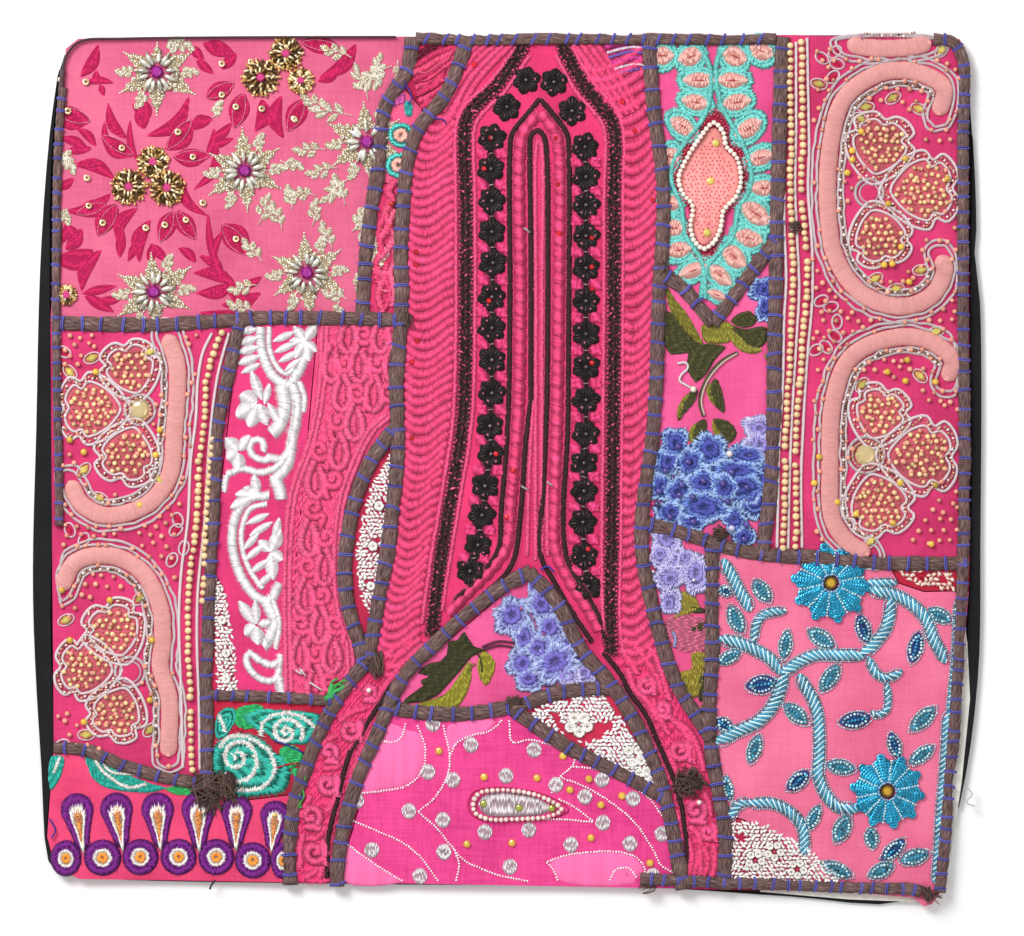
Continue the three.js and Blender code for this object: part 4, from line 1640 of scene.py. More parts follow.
    def coil(self, spot: Sequence[float], radius: float, width: float, tint: str, hand: int, turn: float = 0.0,
             tail: Route = (), **more: object) -> None:
        """Couches one curl of braid.

        Args:
            spot: The curl's middle, in pixels.
            radius: How far it reaches.
            width: The braid's width.
            tint: Its colour.
            hand: 1 or -1, the way that it winds.
            turn: The angle at which it ends, in radians.
            tail: Places that it runs on to.
            more: Other settings of the band.
        """
        angle = np.linspace(0, 3.1 * math.pi, 14)
        reach = radius * (0.1 + 0.9 * angle / angle[-1])
        angle = turn - hand * (angle[-1] - angle)
        curl = np.column_stack([spot[0] + reach * np.cos(angle), spot[1] + reach * np.sin(angle)])
        route = np.vstack([curl, np.asarray(tail, float).reshape(-1, 2)])
        self.band(route, width, tint, **({"rise": 0.6, "stuff": Stuff.COTTON, "slant": 0.35, "rough": 0.1} | more))

    def twist(self, route: Route, width: float, tint: str, rise: float | None = None, **more: object) -> None:
        """Couches a twisted thread along a route.

        Args:
            route: The places that it passes, in pixels.
            width: Its width in pixels.
            tint: Its colour.
            rise: Its height in millimetres, or half its width if left out.
            more: Other settings of the stitches.
        """
        options: dict[str, object] = {"strands": Strands.TWISTED, "stuff": Stuff.SILK, "pitch": 0.55, "step": 1.5,
                                      "ribs": 4}
        options.update(more)
        self.line(route, width * PIXEL, tint, rise=rise, **options)

    def beads_along(self, route: Route, size: float, pitch: float, tint: str, stuff: Stuff = Stuff.GLASS,
                    closed: bool = False, miss: float = 0.0, spread: float = 0.1, wander: float = 0.12,
                    lift: float = 0.45) -> None:
        """Threads beads along a route.

        Args:
            route: The places that it passes, in pixels.
            size: The beads' size in millimetres.
            pitch: The distance between them in millimetres.
            tint: Their colour.
            stuff: Their finish.
            closed: Whether the route returns to its start.
            miss: The share of beads that are lost.
            spread: How much their shades differ.
            wander: How far they stray, in millimetres.
            lift: The height of their middles as a share of their size.
        """
        line = smooth(at(route), closed)
        if closed:
            line = np.vstack([line, line[:1]])
        spots = spaced(line, pitch)
        if closed:
            spots = spots[:-1]
        spots = spots + self.chance.normal(0, wander, spots.shape)
        spots = spots[self.chance.random(len(spots)) >= miss]
        template = self.seed_bead if size < 1.6 else self.bead
        self.stamp(template, spots, size * self.chance.normal(1, 0.06, len(spots)),
                   self.vary(tint, spread, len(spots)), stuff, lift=size * lift, raw=True)

    def scatter(self, route: Route, gap: float) -> Points:
        """Spreads places inside a closed outline.

        Args:
            route: The places round the outline, in pixels.
            gap: About how far apart they are.

        Returns:
            The places, in pixels.
        """
        outline = np.asarray(route, float)
        low, high = outline.min(axis=0), outline.max(axis=0)
        spots = []
        for row, y in enumerate(np.arange(low[1], high[1], gap * 0.87)):
            for x in np.arange(low[0] + (row % 2) * gap / 2, high[0], gap):
                spots.append((x, y))
        spots = np.array(spots) + self.chance.normal(0, gap * 0.13, (len(spots), 2))
        return spots[inside(spots, outline)]


def inside(spots: Points, outline: Points) -> Points:
    """Tells which places lie inside a closed outline.

    Args:
        spots: The places.
        outline: The outline's points.

    Returns:
        True for each place inside.
    """
    hit = np.zeros(len(spots), bool)
    for (ax, ay), (bx, by) in zip(outline, np.roll(outline, -1, axis=0)):
        crosses = (ay > spots[:, 1]) != (by > spots[:, 1])
        with np.errstate(divide="ignore", invalid="ignore"):
            edge = (bx - ax) * (spots[:, 1] - ay) / (by - ay + 1e-12) + ax
        hit ^= crosses & (spots[:, 0] < edge)
    return hit


def pairs(flat: Sequence[float]) -> Points:
    """Returns the places of a flat list of numbers, two for each."""
    return np.asarray(flat, float).reshape(-1, 2)


def lens(base: Sequence[float], tip: Sequence[float], width: float, share: float = 1.0) -> Points:
    """Draws a closed leaf outline.

    Args:
        base: The leaf's start.
        tip: Its end.
        width: Its greatest width.
        share: How far the outline is drawn in, as a share.

    Returns:
        The places round it.
    """
    base, tip = np.asarray(base, float), np.asarray(tip, float)
    middle, along = (base + tip) / 2, (tip - base) / 2 * share
    side = np.array([-along[1], along[0]]) / (np.linalg.norm(along) + 1e-9) * width / 2 * share
    return np.array([middle + along * a + side * b for a, b in (
        (1, 0), (0.6, 0.72), (0, 1), (-0.6, 0.72), (-1, 0), (-0.6, -0.72), (0, -1), (0.6, -0.72))])


def along_way(angle: float) -> Points:
    """Returns the unit step of an angle in the photograph's pixels, where down is positive."""
    return np.array([math.cos(angle), math.sin(angle)])


@dataclass
class Neckline:
    """The long pink centre panel: scalloped bands, black flower columns, crossed black bands and two legs.

    Attributes:
        pink: The main thread's colour.
        bright: A lighter thread.
        black: The black thread's colour.
        flower_radius: The black flowers' radius in pixels.
        crossed: The routes of the two broad bands of crossed stitches.
        thin_black: The routes of the narrow black bands.
        ridges: The routes of the upright ridges beside the crossed bands.
        inner_ridges: The routes of the ridges in the middle.
        puffs: The routes of the two columns of puffed stitches.
        flowers: The black flowers' places, first the left column, then the right one and the top.
        red_stones: The places of the red stones.
        left_leg: The outline of the left leg.
        right_leg: The outline of the right leg.
        left_edge: The panel's left edge.
        right_edge: The panel's right edge.
        leg_ridges: The routes of the ridges on the legs.
        leg_curls: For each curl of braid on the legs its place, its radius and the way that it winds.
    """

    name: str = "neckline"
    pink: str = "ff5288"
    bright: str = "ff5e94"
    black: str = "221618"
    flower_radius: float = 15.0
    crossed: tuple[Route, ...] = (
        ((524, 44), (509, 68), (494, 88), (475, 106), (466, 122), (466, 200), (466, 320), (463, 420), (452, 493),
         (440, 565), (433, 624), (431, 636)),
        ((562, 44), (574, 68), (586, 88), (602, 108), (613, 125), (614, 200), (614, 300), (613, 420), (612, 536),
         (610, 624), (611, 655)))
    thin_black: tuple[Route, ...] = (
        ((540, 99), (526, 116), (512, 134), (510, 152), (510, 300), (508, 420), (501, 516), (499, 548), (478, 578),
         (455, 600)),
        ((540, 99), (556, 118), (567, 134), (569, 152), (569, 300), (568, 420), (566, 554), (586, 594), (598, 615),
         (605, 638)),
        ((531, 400), (531, 250), (530, 150), (531, 136), (537, 130), (544, 136), (547, 158), (548, 250), (547, 400),
         (544, 480), (541, 556), (552, 578), (572, 612), (592, 642)),
        ((531, 400), (526, 440), (521, 510), (515, 556), (506, 574), (480, 598), (455, 620), (446, 632)),
        ((603, 652), (621, 675), (630, 693), (643, 710), (651, 725), (656, 738), (664, 756), (673, 777), (682, 808),
         (684, 825), (687, 843), (686, 861), (684, 878)),
        ((424, 650), (410, 668), (391, 686), (383, 699), (372, 716), (359, 740), (351, 751), (345, 769), (341, 784),
         (337, 801), (331, 825), (328, 843), (327, 878)))
    ridges: tuple[Route, ...] = (
        ((516, 46), (501, 68), (486, 86), (466, 104), (457, 122), (456, 200), (456, 320), (453, 420), (442, 493),
         (430, 565), (422, 624)),
        ((530, 55), (517, 74), (503, 94), (484, 112), (475, 126), (475, 200), (475, 320), (472, 420), (461, 493),
         (449, 565), (442, 610)),
        ((556, 55), (567, 76), (578, 94), (594, 112), (604, 128), (604, 200), (604, 300), (603, 420), (602, 536),
         (602, 590), (604, 630)),
        ((572, 46), (584, 68), (596, 86), (612, 104), (622, 124), (623, 200), (623, 300), (622, 420), (621, 536),
         (620, 624), (624, 655)))
    inner_ridges: tuple[Route, ...] = (
        ((535.5, 560), (535.5, 480), (536, 300), (536, 150), (538, 140)),
        ((541.5, 560), (541.5, 480), (542, 300), (542, 150), (540, 140)),
        ((527, 556), (529, 480), (533, 400)), ((548, 556), (547, 520), (548, 480)))
    puffs: tuple[Route, ...] = (
        (
            (538, 112), (524, 132), (520, 150), (520.5, 300), (518, 420), (511, 500), (507, 545), (494, 566),
            (470, 590), (448, 614)),
        (
            (541, 112), (555, 132), (559, 150), (559, 300), (557, 420), (555, 500), (555, 548), (568, 578),
            (586, 606), (600, 630)))
    flowers: Route = (
        (492, 138), (491, 169), (492, 201), (492, 232), (493, 263), (492, 297), (492, 328), (492, 360), (492, 393),
        (490, 426), (491, 454), (485, 486), (482, 515), (478, 545), (470, 571), (585, 147), (586, 177), (586, 205),
        (586, 236), (586, 268), (586, 301), (586, 334), (586, 367), (586, 400), (586, 434), (584, 463), (584, 491),
        (583, 522), (584, 556), (588, 586), (526, 80), (554, 82), (507, 107), (572, 111))
    red_stones: Route = (
        (491, 138), (484, 169), (489, 301), (416, 252), (416, 265), (417, 341), (412, 362), (412, 438), (496, 454),
        (513, 471), (507, 517), (588, 549), (592, 363), (592, 267), (592, 238), (592, 289), (622, 102), (635, 131),
        (653, 200), (474, 65), (556, 138), (558, 185), (559, 234), (352, 786))
    left_leg: tuple[float, ...] = (
        404, 640, 432, 640, 396, 690, 372, 730, 352, 780, 342, 830, 338, 880, 292, 880, 294, 840, 304, 790, 322,
        740, 350, 700, 378, 665)
    right_leg: tuple[float, ...] = (
        600, 650, 622, 636, 655, 640, 668, 680, 690, 730, 706, 780, 716, 830, 718, 880, 680, 880, 682, 840, 670,
        790, 650, 730, 626, 685)
    left_edge: Route = (
        (452, 95), (425, 120), (411, 150), (407, 200), (406, 300), (406, 400), (404, 470), (400, 524), (390, 575),
        (381, 626), (375, 668))
    right_edge: Route = (
        (640, 60), (653, 110), (657, 150), (656, 250), (655, 350), (650, 450), (648, 540), (652, 600), (664, 650))
    leg_ridges: tuple[Route, ...] = (
        ((404, 640), (388, 654), (378, 668)), ((412, 638), (396, 658), (382, 676)),
        ((424, 644), (404, 662), (388, 682), (374, 704)), ((366, 708), (352, 712), (340, 722)),
        ((384, 712), (370, 734), (360, 754), (352, 780), (346, 810), (340, 840), (337, 870)),
        ((372, 722), (362, 736), (350, 752)), ((338, 736), (330, 738), (320, 746)),
        ((342, 764), (334, 768), (322, 768)), ((336, 790), (334, 802), (326, 812)),
        ((312, 796), (304, 806), (300, 818)), ((326, 826), (318, 838), (306, 838)),
        ((303, 834), (300, 850), (300, 868)), ((318, 868), (312, 874), (304, 878)), ((322, 866), (320, 878)),
        ((622, 650), (632, 664), (638, 674)), ((634, 645), (648, 662), (658, 680), (662, 694)),
        ((646, 642), (656, 658), (664, 680), (670, 700)), ((628, 668), (634, 688), (648, 702), (658, 720)),
        ((654, 698), (654, 706), (662, 722), (668, 734)), ((668, 716), (680, 726), (692, 744), (694, 764)),
        ((676, 722), (688, 730), (698, 748), (704, 772)), ((668, 750), (674, 766), (682, 780), (690, 794)),
        ((686, 764), (698, 774), (706, 788)), ((700, 786), (708, 800), (711, 816)),
        ((690, 826), (700, 838), (698, 858), (694, 876)), ((688, 838), (692, 858), (688, 878)),
        ((704, 846), (708, 860), (704, 878)), ((714, 846), (715, 862), (712, 878)), ((701, 850), (700, 878)),
        ((616, 682), (632, 708), (645, 730), (656, 754), (668, 780)), ((677, 810), (680, 832), (682, 862)))
    leg_curls: tuple[tuple[float, ...], ...] = (
        (369, 692, 10, 1), (351, 730, 14, -1), (329, 752, 12, 1), (328, 784, 14, -1), (311, 816, 14, 1),
        (315, 852, 15, -1), (646, 685, 12, -1), (663, 709, 10, 1), (680, 750, 14, -1), (696, 810, 14, 1),
        (708, 832, 11, -1))

    def build(self, face: Face, materials: dict[Stuff, bpy.types.Material]) -> None:
        """Stitches the panel.

        Args:
            face: The surface that it lies on.
            materials: The threads' finishes.
        """
        needle = Motifs(face, 1)
        self.scallops(needle)
        self.columns(needle)
        self.crosses(needle)
        self.legs(needle)
        for spot in self.flowers:
            self.black_flower(needle, spot)
        self.pink_stars(needle)
        spots = np.array(self.red_stones, float)
        needle.stamp(needle.stone, spots, 2.6, needle.vary("d81c28", 0.2, len(spots)), Stuff.STONE,
                     turns=needle.chance.uniform(0, 3, len(spots)), lift=1.1)
        needle.finish(self.name, f"cloth_{self.name}", materials)

    @staticmethod
    def edge_at(route: Route, y: float) -> float:
        """Returns how far across an edge is at a height."""
        line = np.array(route, float)
        return float(np.interp(y, line[:, 1], line[:, 0]))

    def scallops(self, needle: Motifs) -> None:
        """Lays the curved thick ridges of the two outer bands, and those round the neck.

        Args:
            needle: What it is sewn with.
        """
        y = 112.0
        while y < 668:
            right, left = self.edge_at(self.ridges[0], y) - 2, self.edge_at(self.left_edge, y) - 1
            span, wave = right - left, 2.2 * math.sin(y / 17)
            route = [(right, y - 10), (right - span * 0.22, y - 3 + wave), (right - span * 0.5, y + 6 + wave),
                     (right - span * 0.8, y + 6), (left, y - 3)]
            needle.band(route, 11.4, needle.vary(self.pink, 0.04)[0], rise=0.7, stuff=Stuff.COTTON, slant=0.15,
                        rough=0.08)
            y += needle.chance.uniform(8.8, 10.0)
        y = 60.0
        while y < 664:
            left, right = self.edge_at(self.ridges[3], y) + 2, self.edge_at(self.right_edge, y) + 1
            span, wave = right - left, 3 * math.sin(y / 23)
            route = [(left, y + 7), (left + span * 0.25, y + 9 + wave), (left + span * 0.6, y + 2 + wave),
                     (right, y - 12)]
            needle.band(route, 12.0, needle.vary(self.pink, 0.04)[0], rise=0.8, stuff=Stuff.COTTON, slant=0.3,
                        rough=0.08)
            y += needle.chance.uniform(10.2, 12.0)
        for offset in np.arange(0, 58, 8.6):
            drop = 118 - offset * 0.35
            left = ((512 - offset, 44), ((968 - offset * 1.72) / 2 - 5, (44 + drop) / 2 - 2),
                    (456 - offset * 0.72, drop))
            right = ((574 + offset * 0.9, 44), ((1196 + offset * 1.52) / 2 + 2, (44 + drop) / 2),
                     (622 + offset * 0.62, drop))
            for route in (left, right):
                if 455 < route[0][0] < 604:
                    needle.band(route, 8.4, needle.vary(self.pink, 0.05)[0], rise=0.6, stuff=Stuff.COTTON, slant=0.2)

    def columns(self, needle: Motifs) -> None:
        """Stitches the upright ridges, the puffed columns and the thin black lines, with painted shade in the crevices
        between the puffs.

        Args:
            needle: What it is sewn with.
        """
        for route in self.ridges:
            needle.band(route, 5.2, self.bright, rise=0.7, stuff=Stuff.COTTON, rough=0.2)
        for route in self.inner_ridges:
            needle.band(route, 5.4, self.bright, rise=0.6, stuff=Stuff.COTTON, rough=0.15)
        for route in self.thin_black:
            needle.band(route, 5.4, "402428", rise=0.45, stuff=Stuff.COTTON, rough=0.16, lift=0.5)
            spine = spaced(smooth(at(route)), 1.0)
            for hand in (-1, 1):
                needle.satin(spine + sideways(spine) * 1.45 * hand, 0.5, self.bright, gap=1.05, wide=0.5, rise=0.3,
                             rough=0.45, stuff=Stuff.COTTON, lift=0.5)
        for route in self.puffs:
            spine = spaced(smooth(at(route)), 0.9)
            run = lengths(spine) + needle.chance.uniform(0, 5)
            puff = np.abs(np.sin(run / 5.8 * math.pi)) ** 0.55
            # Painted shade: a deeper pink under the puffs, and stitches darkened where the puffs dip, stand in for the
            # shade in the crevices.
            needle.sweep(spine, 2.5 + 0.8 * puff, 0.05 + 0.7 * puff, "d03868", Strands.ACROSS, Stuff.COTTON, pitch=0.5)
            needle.satin(spine, 2.3 + 0.95 * puff, self.pink, gap=0.56, slant=0.3, rise=0.2 + 0.35 * puff, rough=0.07,
                         stuff=Stuff.COTTON, lift=0.05 + 0.7 * puff, shade=0.55 + 0.5 * puff, spread=0.16)

    def crosses(self, needle: Motifs) -> None:
        """Stitches the two broad black bands of crossed stitches, with pink dots between them.

        Args:
            needle: What it is sewn with.
        """
        for route in self.crossed:
            spine = spaced(smooth(at(route)), 1.0)
            side = sideways(spine)
            along = np.column_stack([side[:, 1], -side[:, 0]])
            count = len(spine)
            needle.sweep(spine[::2], 3.2, 0.2, "341c22", Strands.ACROSS, Stuff.COTTON, lift=0.05, pitch=0.5,
                         jagged=0.08)
            for lane in (-2.3, 0.0, 2.3):
                for lean in (-1, 1):
                    shift = needle.chance.normal(0, 0.2, (count, 2))
                    needle.slivers(spine + side * (lane - 1.35) - along * 0.9 * lean + shift,
                                   spine + side * (lane + 1.35) + along * 0.9 * lean + shift,
                                   needle.chance.uniform(0.5, 0.8, count), needle.vary("42282a", 0.4, count), 0.45,
                                   Stuff.COTTON, 0.3)
            for lane, start in ((-1.7, 0), (0.0, 2), (1.7, 1)):
                dots = spine[start::4] + side[start::4] * lane
                dots = dots + needle.chance.normal(0, 0.42, dots.shape)
                lean = needle.chance.normal(0, 0.8, (len(dots), 1))
                way = (along[start::4] + side[start::4] * lean) * needle.chance.uniform(0.4, 0.95, (len(dots), 1))
                tints = np.where((needle.chance.random(len(dots)) < 0.7)[:, None],
                                 needle.vary("8c2a4c", 0.25, len(dots)), needle.vary("d8587c", 0.2, len(dots)))
                needle.slivers(dots - way, dots + way, needle.chance.uniform(0.6, 1.2, len(dots)), tints, 0.25,
                               Stuff.COTTON, 0.6)
            for hand in (-1, 1):
                teeth = spine[1::2] + side[1::2] * 3.5 * hand
                tips = teeth - side[1::2] * hand * needle.chance.uniform(0.8, 2.0, (len(teeth), 1))
                needle.slivers(teeth, tips + along[1::2] * 0.25, needle.chance.uniform(0.7, 1.3, len(teeth)),
                               needle.vary("d84474", 0.2, len(teeth)), 0.3, Stuff.COTTON, 0.6)

    def black_flower(self, needle: Motifs, spot: Sequence[float]) -> None:
        """Stitches one black flower with a beaded middle and grey sheen painted along its petals.

        Args:
            needle: What it is sewn with.
            spot: Its middle, in pixels.
        """
        centre = np.array(spot, float)
        turn = needle.chance.uniform(0, 0.4) + math.pi / 2
        for k in range(6):
            way = along_way(turn + math.pi / 3 * k)
            reach = self.flower_radius * needle.chance.uniform(0.94, 1.04)
            needle.petal(centre + way * 1.5, centre + way * reach, 12.0, self.black, rise=0.9, full=0.66,
                         stuff=Stuff.COTTON, pitch=0.5, lift=0.2)
            # Painted sheen: grey slivers along each petal stand in for the light on its black threads.
            for lane in (-0.34, 0.0, 0.34):
                loop = along_way(turn + math.pi / 3 * k + lane)
                needle.slivers(at([centre + loop * reach * 0.3]), at([centre + loop * reach * 0.92]), 0.75,
                               needle.vary("3a3234", 0.4), 0.4, Stuff.COTTON, 1.0 - 0.25 * abs(lane) / 0.34)
            if needle.chance.random() < 0.5:
                glint = centre + along_way(turn + math.pi / 3 * k + 0.15) * reach * 0.6
                step = along_way(needle.chance.uniform(1.2, 2.4)) * 1.5
                needle.slivers(at([glint - step]), at([glint + step]), 0.75, needle.vary("ee7a98", 0.15), 0.3,
                               Stuff.COTTON, 1.15)
        needle.stamp(needle.bead, centre[None], 1.7, needle.vary("5a5054", 0.3), Stuff.GLASS, lift=1.1)

    def pink_stars(self, needle: Motifs) -> None:
        """Stitches the small pink squares and the black links between the black flowers, over a dark maroon strip
        painted as the shade between their petals.

        Args:
            needle: What it is sewn with.
        """
        for column in (self.flowers[:15], self.flowers[15:30]):
            # Painted shade: a dark maroon strip under each column stands in for the shade between the flowers' petals.
            needle.line(column, 11.6, "8e2248", rise=0.08, stuff=Stuff.COTTON, pitch=50, step=3.0)
            for (x0, y0), (x1, y1) in zip(column[:-1], column[1:]):
                middle = np.array([(x0 + x1) / 2, (y0 + y1) / 2])
                for aside in (-9.8, 9.8):
                    corner = middle + (aside, 0)
                    square = corner + pairs((-5, -4.4, 0, -5.2, 5, -4.4, 5.4, 0, 5, 4.4, 0, 5.2, -5, 4.4, -5.4, 0))
                    needle.dome(square, 0.35, "ff3c80", raw=False, stuff=Stuff.COTTON, lift=0.3, step=2.0)
                    needle.hatch(square, "ff5090", needle.chance.uniform(0.4, 1.1), long=5, gap=0.7, rise=0.25,
                                 rough=0.8, stuff=Stuff.COTTON, lift=0.72)
                needle.band([(middle[0], middle[1] - 6), (middle[0], middle[1] + 6)], 5, self.black,
                            stuff=Stuff.COTTON, lift=0.2)
                way = (needle.chance.uniform(2.5, 4), needle.chance.normal(0, 0.6))
                needle.slivers(at([middle - way]), at([middle + way]), 0.6, needle.vary("a08888", 0.2), 0.3,
                               Stuff.COTTON, 1.0)

    def legs(self, needle: Motifs) -> None:
        """Lays the curls and lengthwise ridges of the two legs.

        Args:
            needle: What they are sewn with.
        """
        for outline, angle in ((self.left_leg, 1.25), (self.right_leg, -1.25)):
            needle.hatch(pairs(outline), "fa4680", angle, long=4.5, gap=0.8, wide=0.95, rise=0.2, lift=0.06,
                         stuff=Stuff.COTTON, spread=0.12)
        for route in self.leg_ridges:
            needle.band(route, 9.4, needle.vary(self.pink, 0.05)[0], rise=0.6, stuff=Stuff.COTTON, slant=0.3)
        for x, y, radius, hand in self.leg_curls:
            needle.coil((x, y), radius - 2, 9.0, needle.vary(self.bright, 0.04)[0], hand, math.pi / 2 * hand + 0.6,
                        tail=((x + 0.75 * radius, y + radius * 0.9),), lift=0.45, rise=0.6)
        needle.stamp(needle.bead, [(369, 690), (699, 802)], 2.4, needle.vary("f6e8dc", 0.1, 2), Stuff.PEARL, lift=2.0)


@dataclass
class ScrollBorder:
    """A beaded border: padded satin scrolls with twisted outlines, three-petalled flowers and rows of pearls.

    Attributes:
        name: The patch's name.
        scrolls: The padded scrolls' routes in millimetres, as in the part's source, by name.
        pearl_rows: Routes of the rows of pearls.
        twists: Routes of the twisted threads beside them.
        flowers: For each flower its middle, its ring's radius, its petals' tips and whether it holds a stone.
        marquises: Places of the pointed stones.
        golds: Places of the gold beads.
        eyes: Places of the small ringed leaves.
        region: The outline in which loose beads are scattered.
        width: The padded scrolls' width in millimetres.
        height: Their height in millimetres.
    """

    name: str
    scrolls: dict[str, Route]
    pearl_rows: tuple[tuple[float, ...], ...]
    twists: tuple[tuple[float, ...], ...]
    flowers: tuple[tuple[tuple[float, float], float, tuple[float, ...], bool], ...]
    marquises: tuple[float, ...]
    golds: tuple[float, ...]
    eyes: tuple[float, ...]
    region: Route
    width: float = 8.2
    height: float = 1.8
    satin: str = "ffb0ac"
    shell: str = "ffecf0"
    pearl: str = "f4cf9c"

    def build(self, face: Face, materials: dict[Stuff, bpy.types.Material]) -> None:
        """Stitches and beads the border.

        Args:
            face: The surface that it is sewn on.
            materials: The finish of each stuff.
        """
        needle = Motifs(face, len(self.name))
        taken = [self.scroll(face, materials, needle, name, route) for name, route in self.scrolls.items()]
        for row in self.pearl_rows:
            needle.beads_along(pairs(row), 3.2, 3.3, self.pearl, Stuff.PEARL, miss=0.03, spread=0.07, wander=0.18)
        for row in self.twists:
            needle.twist(pairs(row), 3.6, self.shell, rise=0.9)
        taken += [self.flower(needle, *flower) for flower in self.flowers]
        self.stones(needle)
        self.loose(needle, np.vstack(taken + [pairs(row) for row in self.pearl_rows]))
        needle.finish(self.name, f"cloth_{self.name}", materials)

    def scroll(self, face: Face, materials: dict[Stuff, bpy.types.Material], needle: Motifs, name: str,
               route: Route) -> Points:
        """Pads and outlines one scroll, and returns its places in pixels.

        Args:
            face: The surface that it is sewn on.
            materials: The finish of each stuff.
            needle: What it is sewn with.
            name: The solid that the scroll stands for.
            route: The places along its middle, in millimetres.

        Returns:
            The places that it covers, in pixels.
        """
        satin = Motifs(face, len(route))
        spine = spaced(smooth(np.array(route, float)), 1.1)
        run = lengths(spine)
        ends = np.clip(np.minimum(run, run[-1] - run) / (self.width * 0.5), 0, 1)
        half = self.width / 2 * np.sqrt(1 - (1 - ends) ** 2).clip(0.25)
        satin.sweep(spine, half, self.height * np.clip(ends + 0.4, 0, 1), satin.vary(self.satin, 0.035, len(spine)),
                    Strands.ACROSS, Stuff.SILK, ribs=9, pitch=0.45, jagged=0.04, sink=0.5)
        satin.satin(spine, half * 1.02, satin.vary(self.satin, 0)[0], gap=0.8, wide=0.8, rise=self.height * 0.6 + 0.2,
                    rough=0.035, slant=0.12, lift=0.55, spread=0.06)
        for piece in satin.finish(name, "padded_satin", materials):
            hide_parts(name)
        side = sideways(spine)
        for offset in (self.width / 2 + 0.8, self.width / 2 + 3.0):
            sides = []
            for reach in (offset, -offset):
                line = spine + side * reach
                turned = np.sum(np.gradient(line, axis=0) * np.gradient(spine, axis=0), axis=1) > 0.15
                sides.append(line[turned][::3])
            caps = []
            for end, hand in ((-1, 1), (0, -1)):
                out = np.array([side[end, 1], -side[end, 0]]) * hand
                caps.append([spine[end] + offset * (out * math.sin(t) + side[end] * hand * math.cos(t))
                             for t in (0.6, 1.1, 1.57, 2.04, 2.54)])
            line = np.vstack([sides[0], caps[0], sides[1][::-1], caps[1]])
            line = line[(np.abs(line[:, 0]) < 203) & (line[:, 1] < 194)]
            line = line + needle.chance.normal(0, 0.28, line.shape)
            needle.line(line, 1.45, self.shell, rise=0.85, raw=True, closed=True, strands=Strands.TWISTED, pitch=0.55)
        ways = np.diff(spine, axis=0)
        bend = float(np.sum(ways[:-1, 0] * ways[1:, 1] - ways[:-1, 1] * ways[1:, 0]))
        inner = spine + side * math.copysign(self.width / 2 + 1.9, bend)
        inner = spaced(inner[6:-6], 1.4)
        silver = inner[::3] + needle.chance.normal(0, 0.5, inner[::3].shape)
        needle.stamp(needle.bead, silver, 1.7, needle.vary("e8d8d4", 0.2, len(silver)), Stuff.METAL, lift=0.9,
                     raw=True)
        needle.stamp(needle.seed_bead, inner, 1.5, needle.vary("9a7c68", 0.3, len(inner)), Stuff.METAL, lift=0.6,
                     raw=True)
        return np.column_stack([spine[:, 0] / PIXEL + PHOTO_CENTRE[0], PHOTO_CENTRE[1] - spine[:, 1] / PIXEL])

    def flower(self, needle: Motifs, middle: tuple[float, float], radius: float, tips: tuple[float, ...],
               stone: bool) -> Points:
        """Works one three-petalled flower.

        Args:
            needle: What it is sewn with.
            middle: Its middle, in pixels.
            radius: The radius of its heart.
            tips: The tips of its petals.
            stone: Whether its heart is a cut stone.

        Returns:
            The places that it covers.
        """
        lobes = np.array([(0.12, 0.04), (0.28, 0.26), (0.48, 0.4), (0.66, 0.44), (0.75, 0.33), (0.86, 0.38),
                          (0.98, 0.27), (1.02, 0.12), (0.95, 0.0)])
        lobes = np.vstack([lobes, lobes[-2::-1] * (1, -1)])
        middle = np.array(middle, float)
        places = [middle]
        for tip in pairs(tips):
            along = tip - middle
            side = np.array([-along[1], along[0]])
            heart = middle + lobes[:, :1] * along + lobes[:, 1:] * side * 1.02
            core = heart.mean(axis=0)
            for share, rise, tint, lift in ((0.98, 0.1, "c84a6c", 0.1), (0.74, 0.15, "c8586a", 0.15)):
                needle.dome(core + (heart - core) * share, rise, tint, raw=False, stuff=Stuff.COTTON, pitch=50,
                            lift=lift)
            for share, thick in ((1.0, 3.5), (0.76, 3.2)):
                line = core + (heart - core) * share + needle.chance.normal(0, 0.35, heart.shape)
                needle.twist(line, thick, self.shell, rise=0.85, closed=True, lift=0.25)
            rim = core + (heart - core) * 0.88
            needle.beads_along(rim, 1.5, 1.7, "d09880", Stuff.METAL, closed=True, miss=0.12, spread=0.3, wander=0.4)
            needle.beads_along(rim, 1.3, 5.0, "fff0ea", Stuff.PEARL, closed=True, spread=0.1, wander=0.5, lift=0.9)
            fill = needle.scatter(core + (heart - core) * 0.68, 7.6)
            needle.stamp(needle.bead, fill, needle.chance.uniform(2.0, 2.5, len(fill)),
                         needle.vary("f0c890", 0.16, len(fill)), Stuff.PEARL, lift=0.75)
            fill = needle.scatter(core + (heart - core) * 0.66, 4.6)
            needle.stamp(needle.seed_bead, fill, 1.15, needle.vary("b87860", 0.25, len(fill)), Stuff.METAL, lift=0.35)
            places.append(heart)
        needle.ring(middle, radius, 3.8, self.shell, rise=0.95, strands=Strands.TWISTED, stuff=Stuff.COTTON)
        needle.ring(middle, radius - 4.5, 2.6, "ffd8e0", rise=0.7, strands=Strands.TWISTED, stuff=Stuff.COTTON)
        if stone:
            needle.stamp(needle.stone, middle[None], 10.5, needle.vary("d8c08a", 0.1), Stuff.STONE, lift=0.9,
                         shape=(1, 1, 0.5))
            needle.beads_along([middle + along_way(a) * (radius - 4) for a in np.arange(0, 6.2, 0.8)], 1.5, 1.7,
                               "c09a70", Stuff.METAL, closed=True)
        else:
            needle.disc(middle, radius - 5, "f4407c", rise=0.6)
        return np.vstack(places)

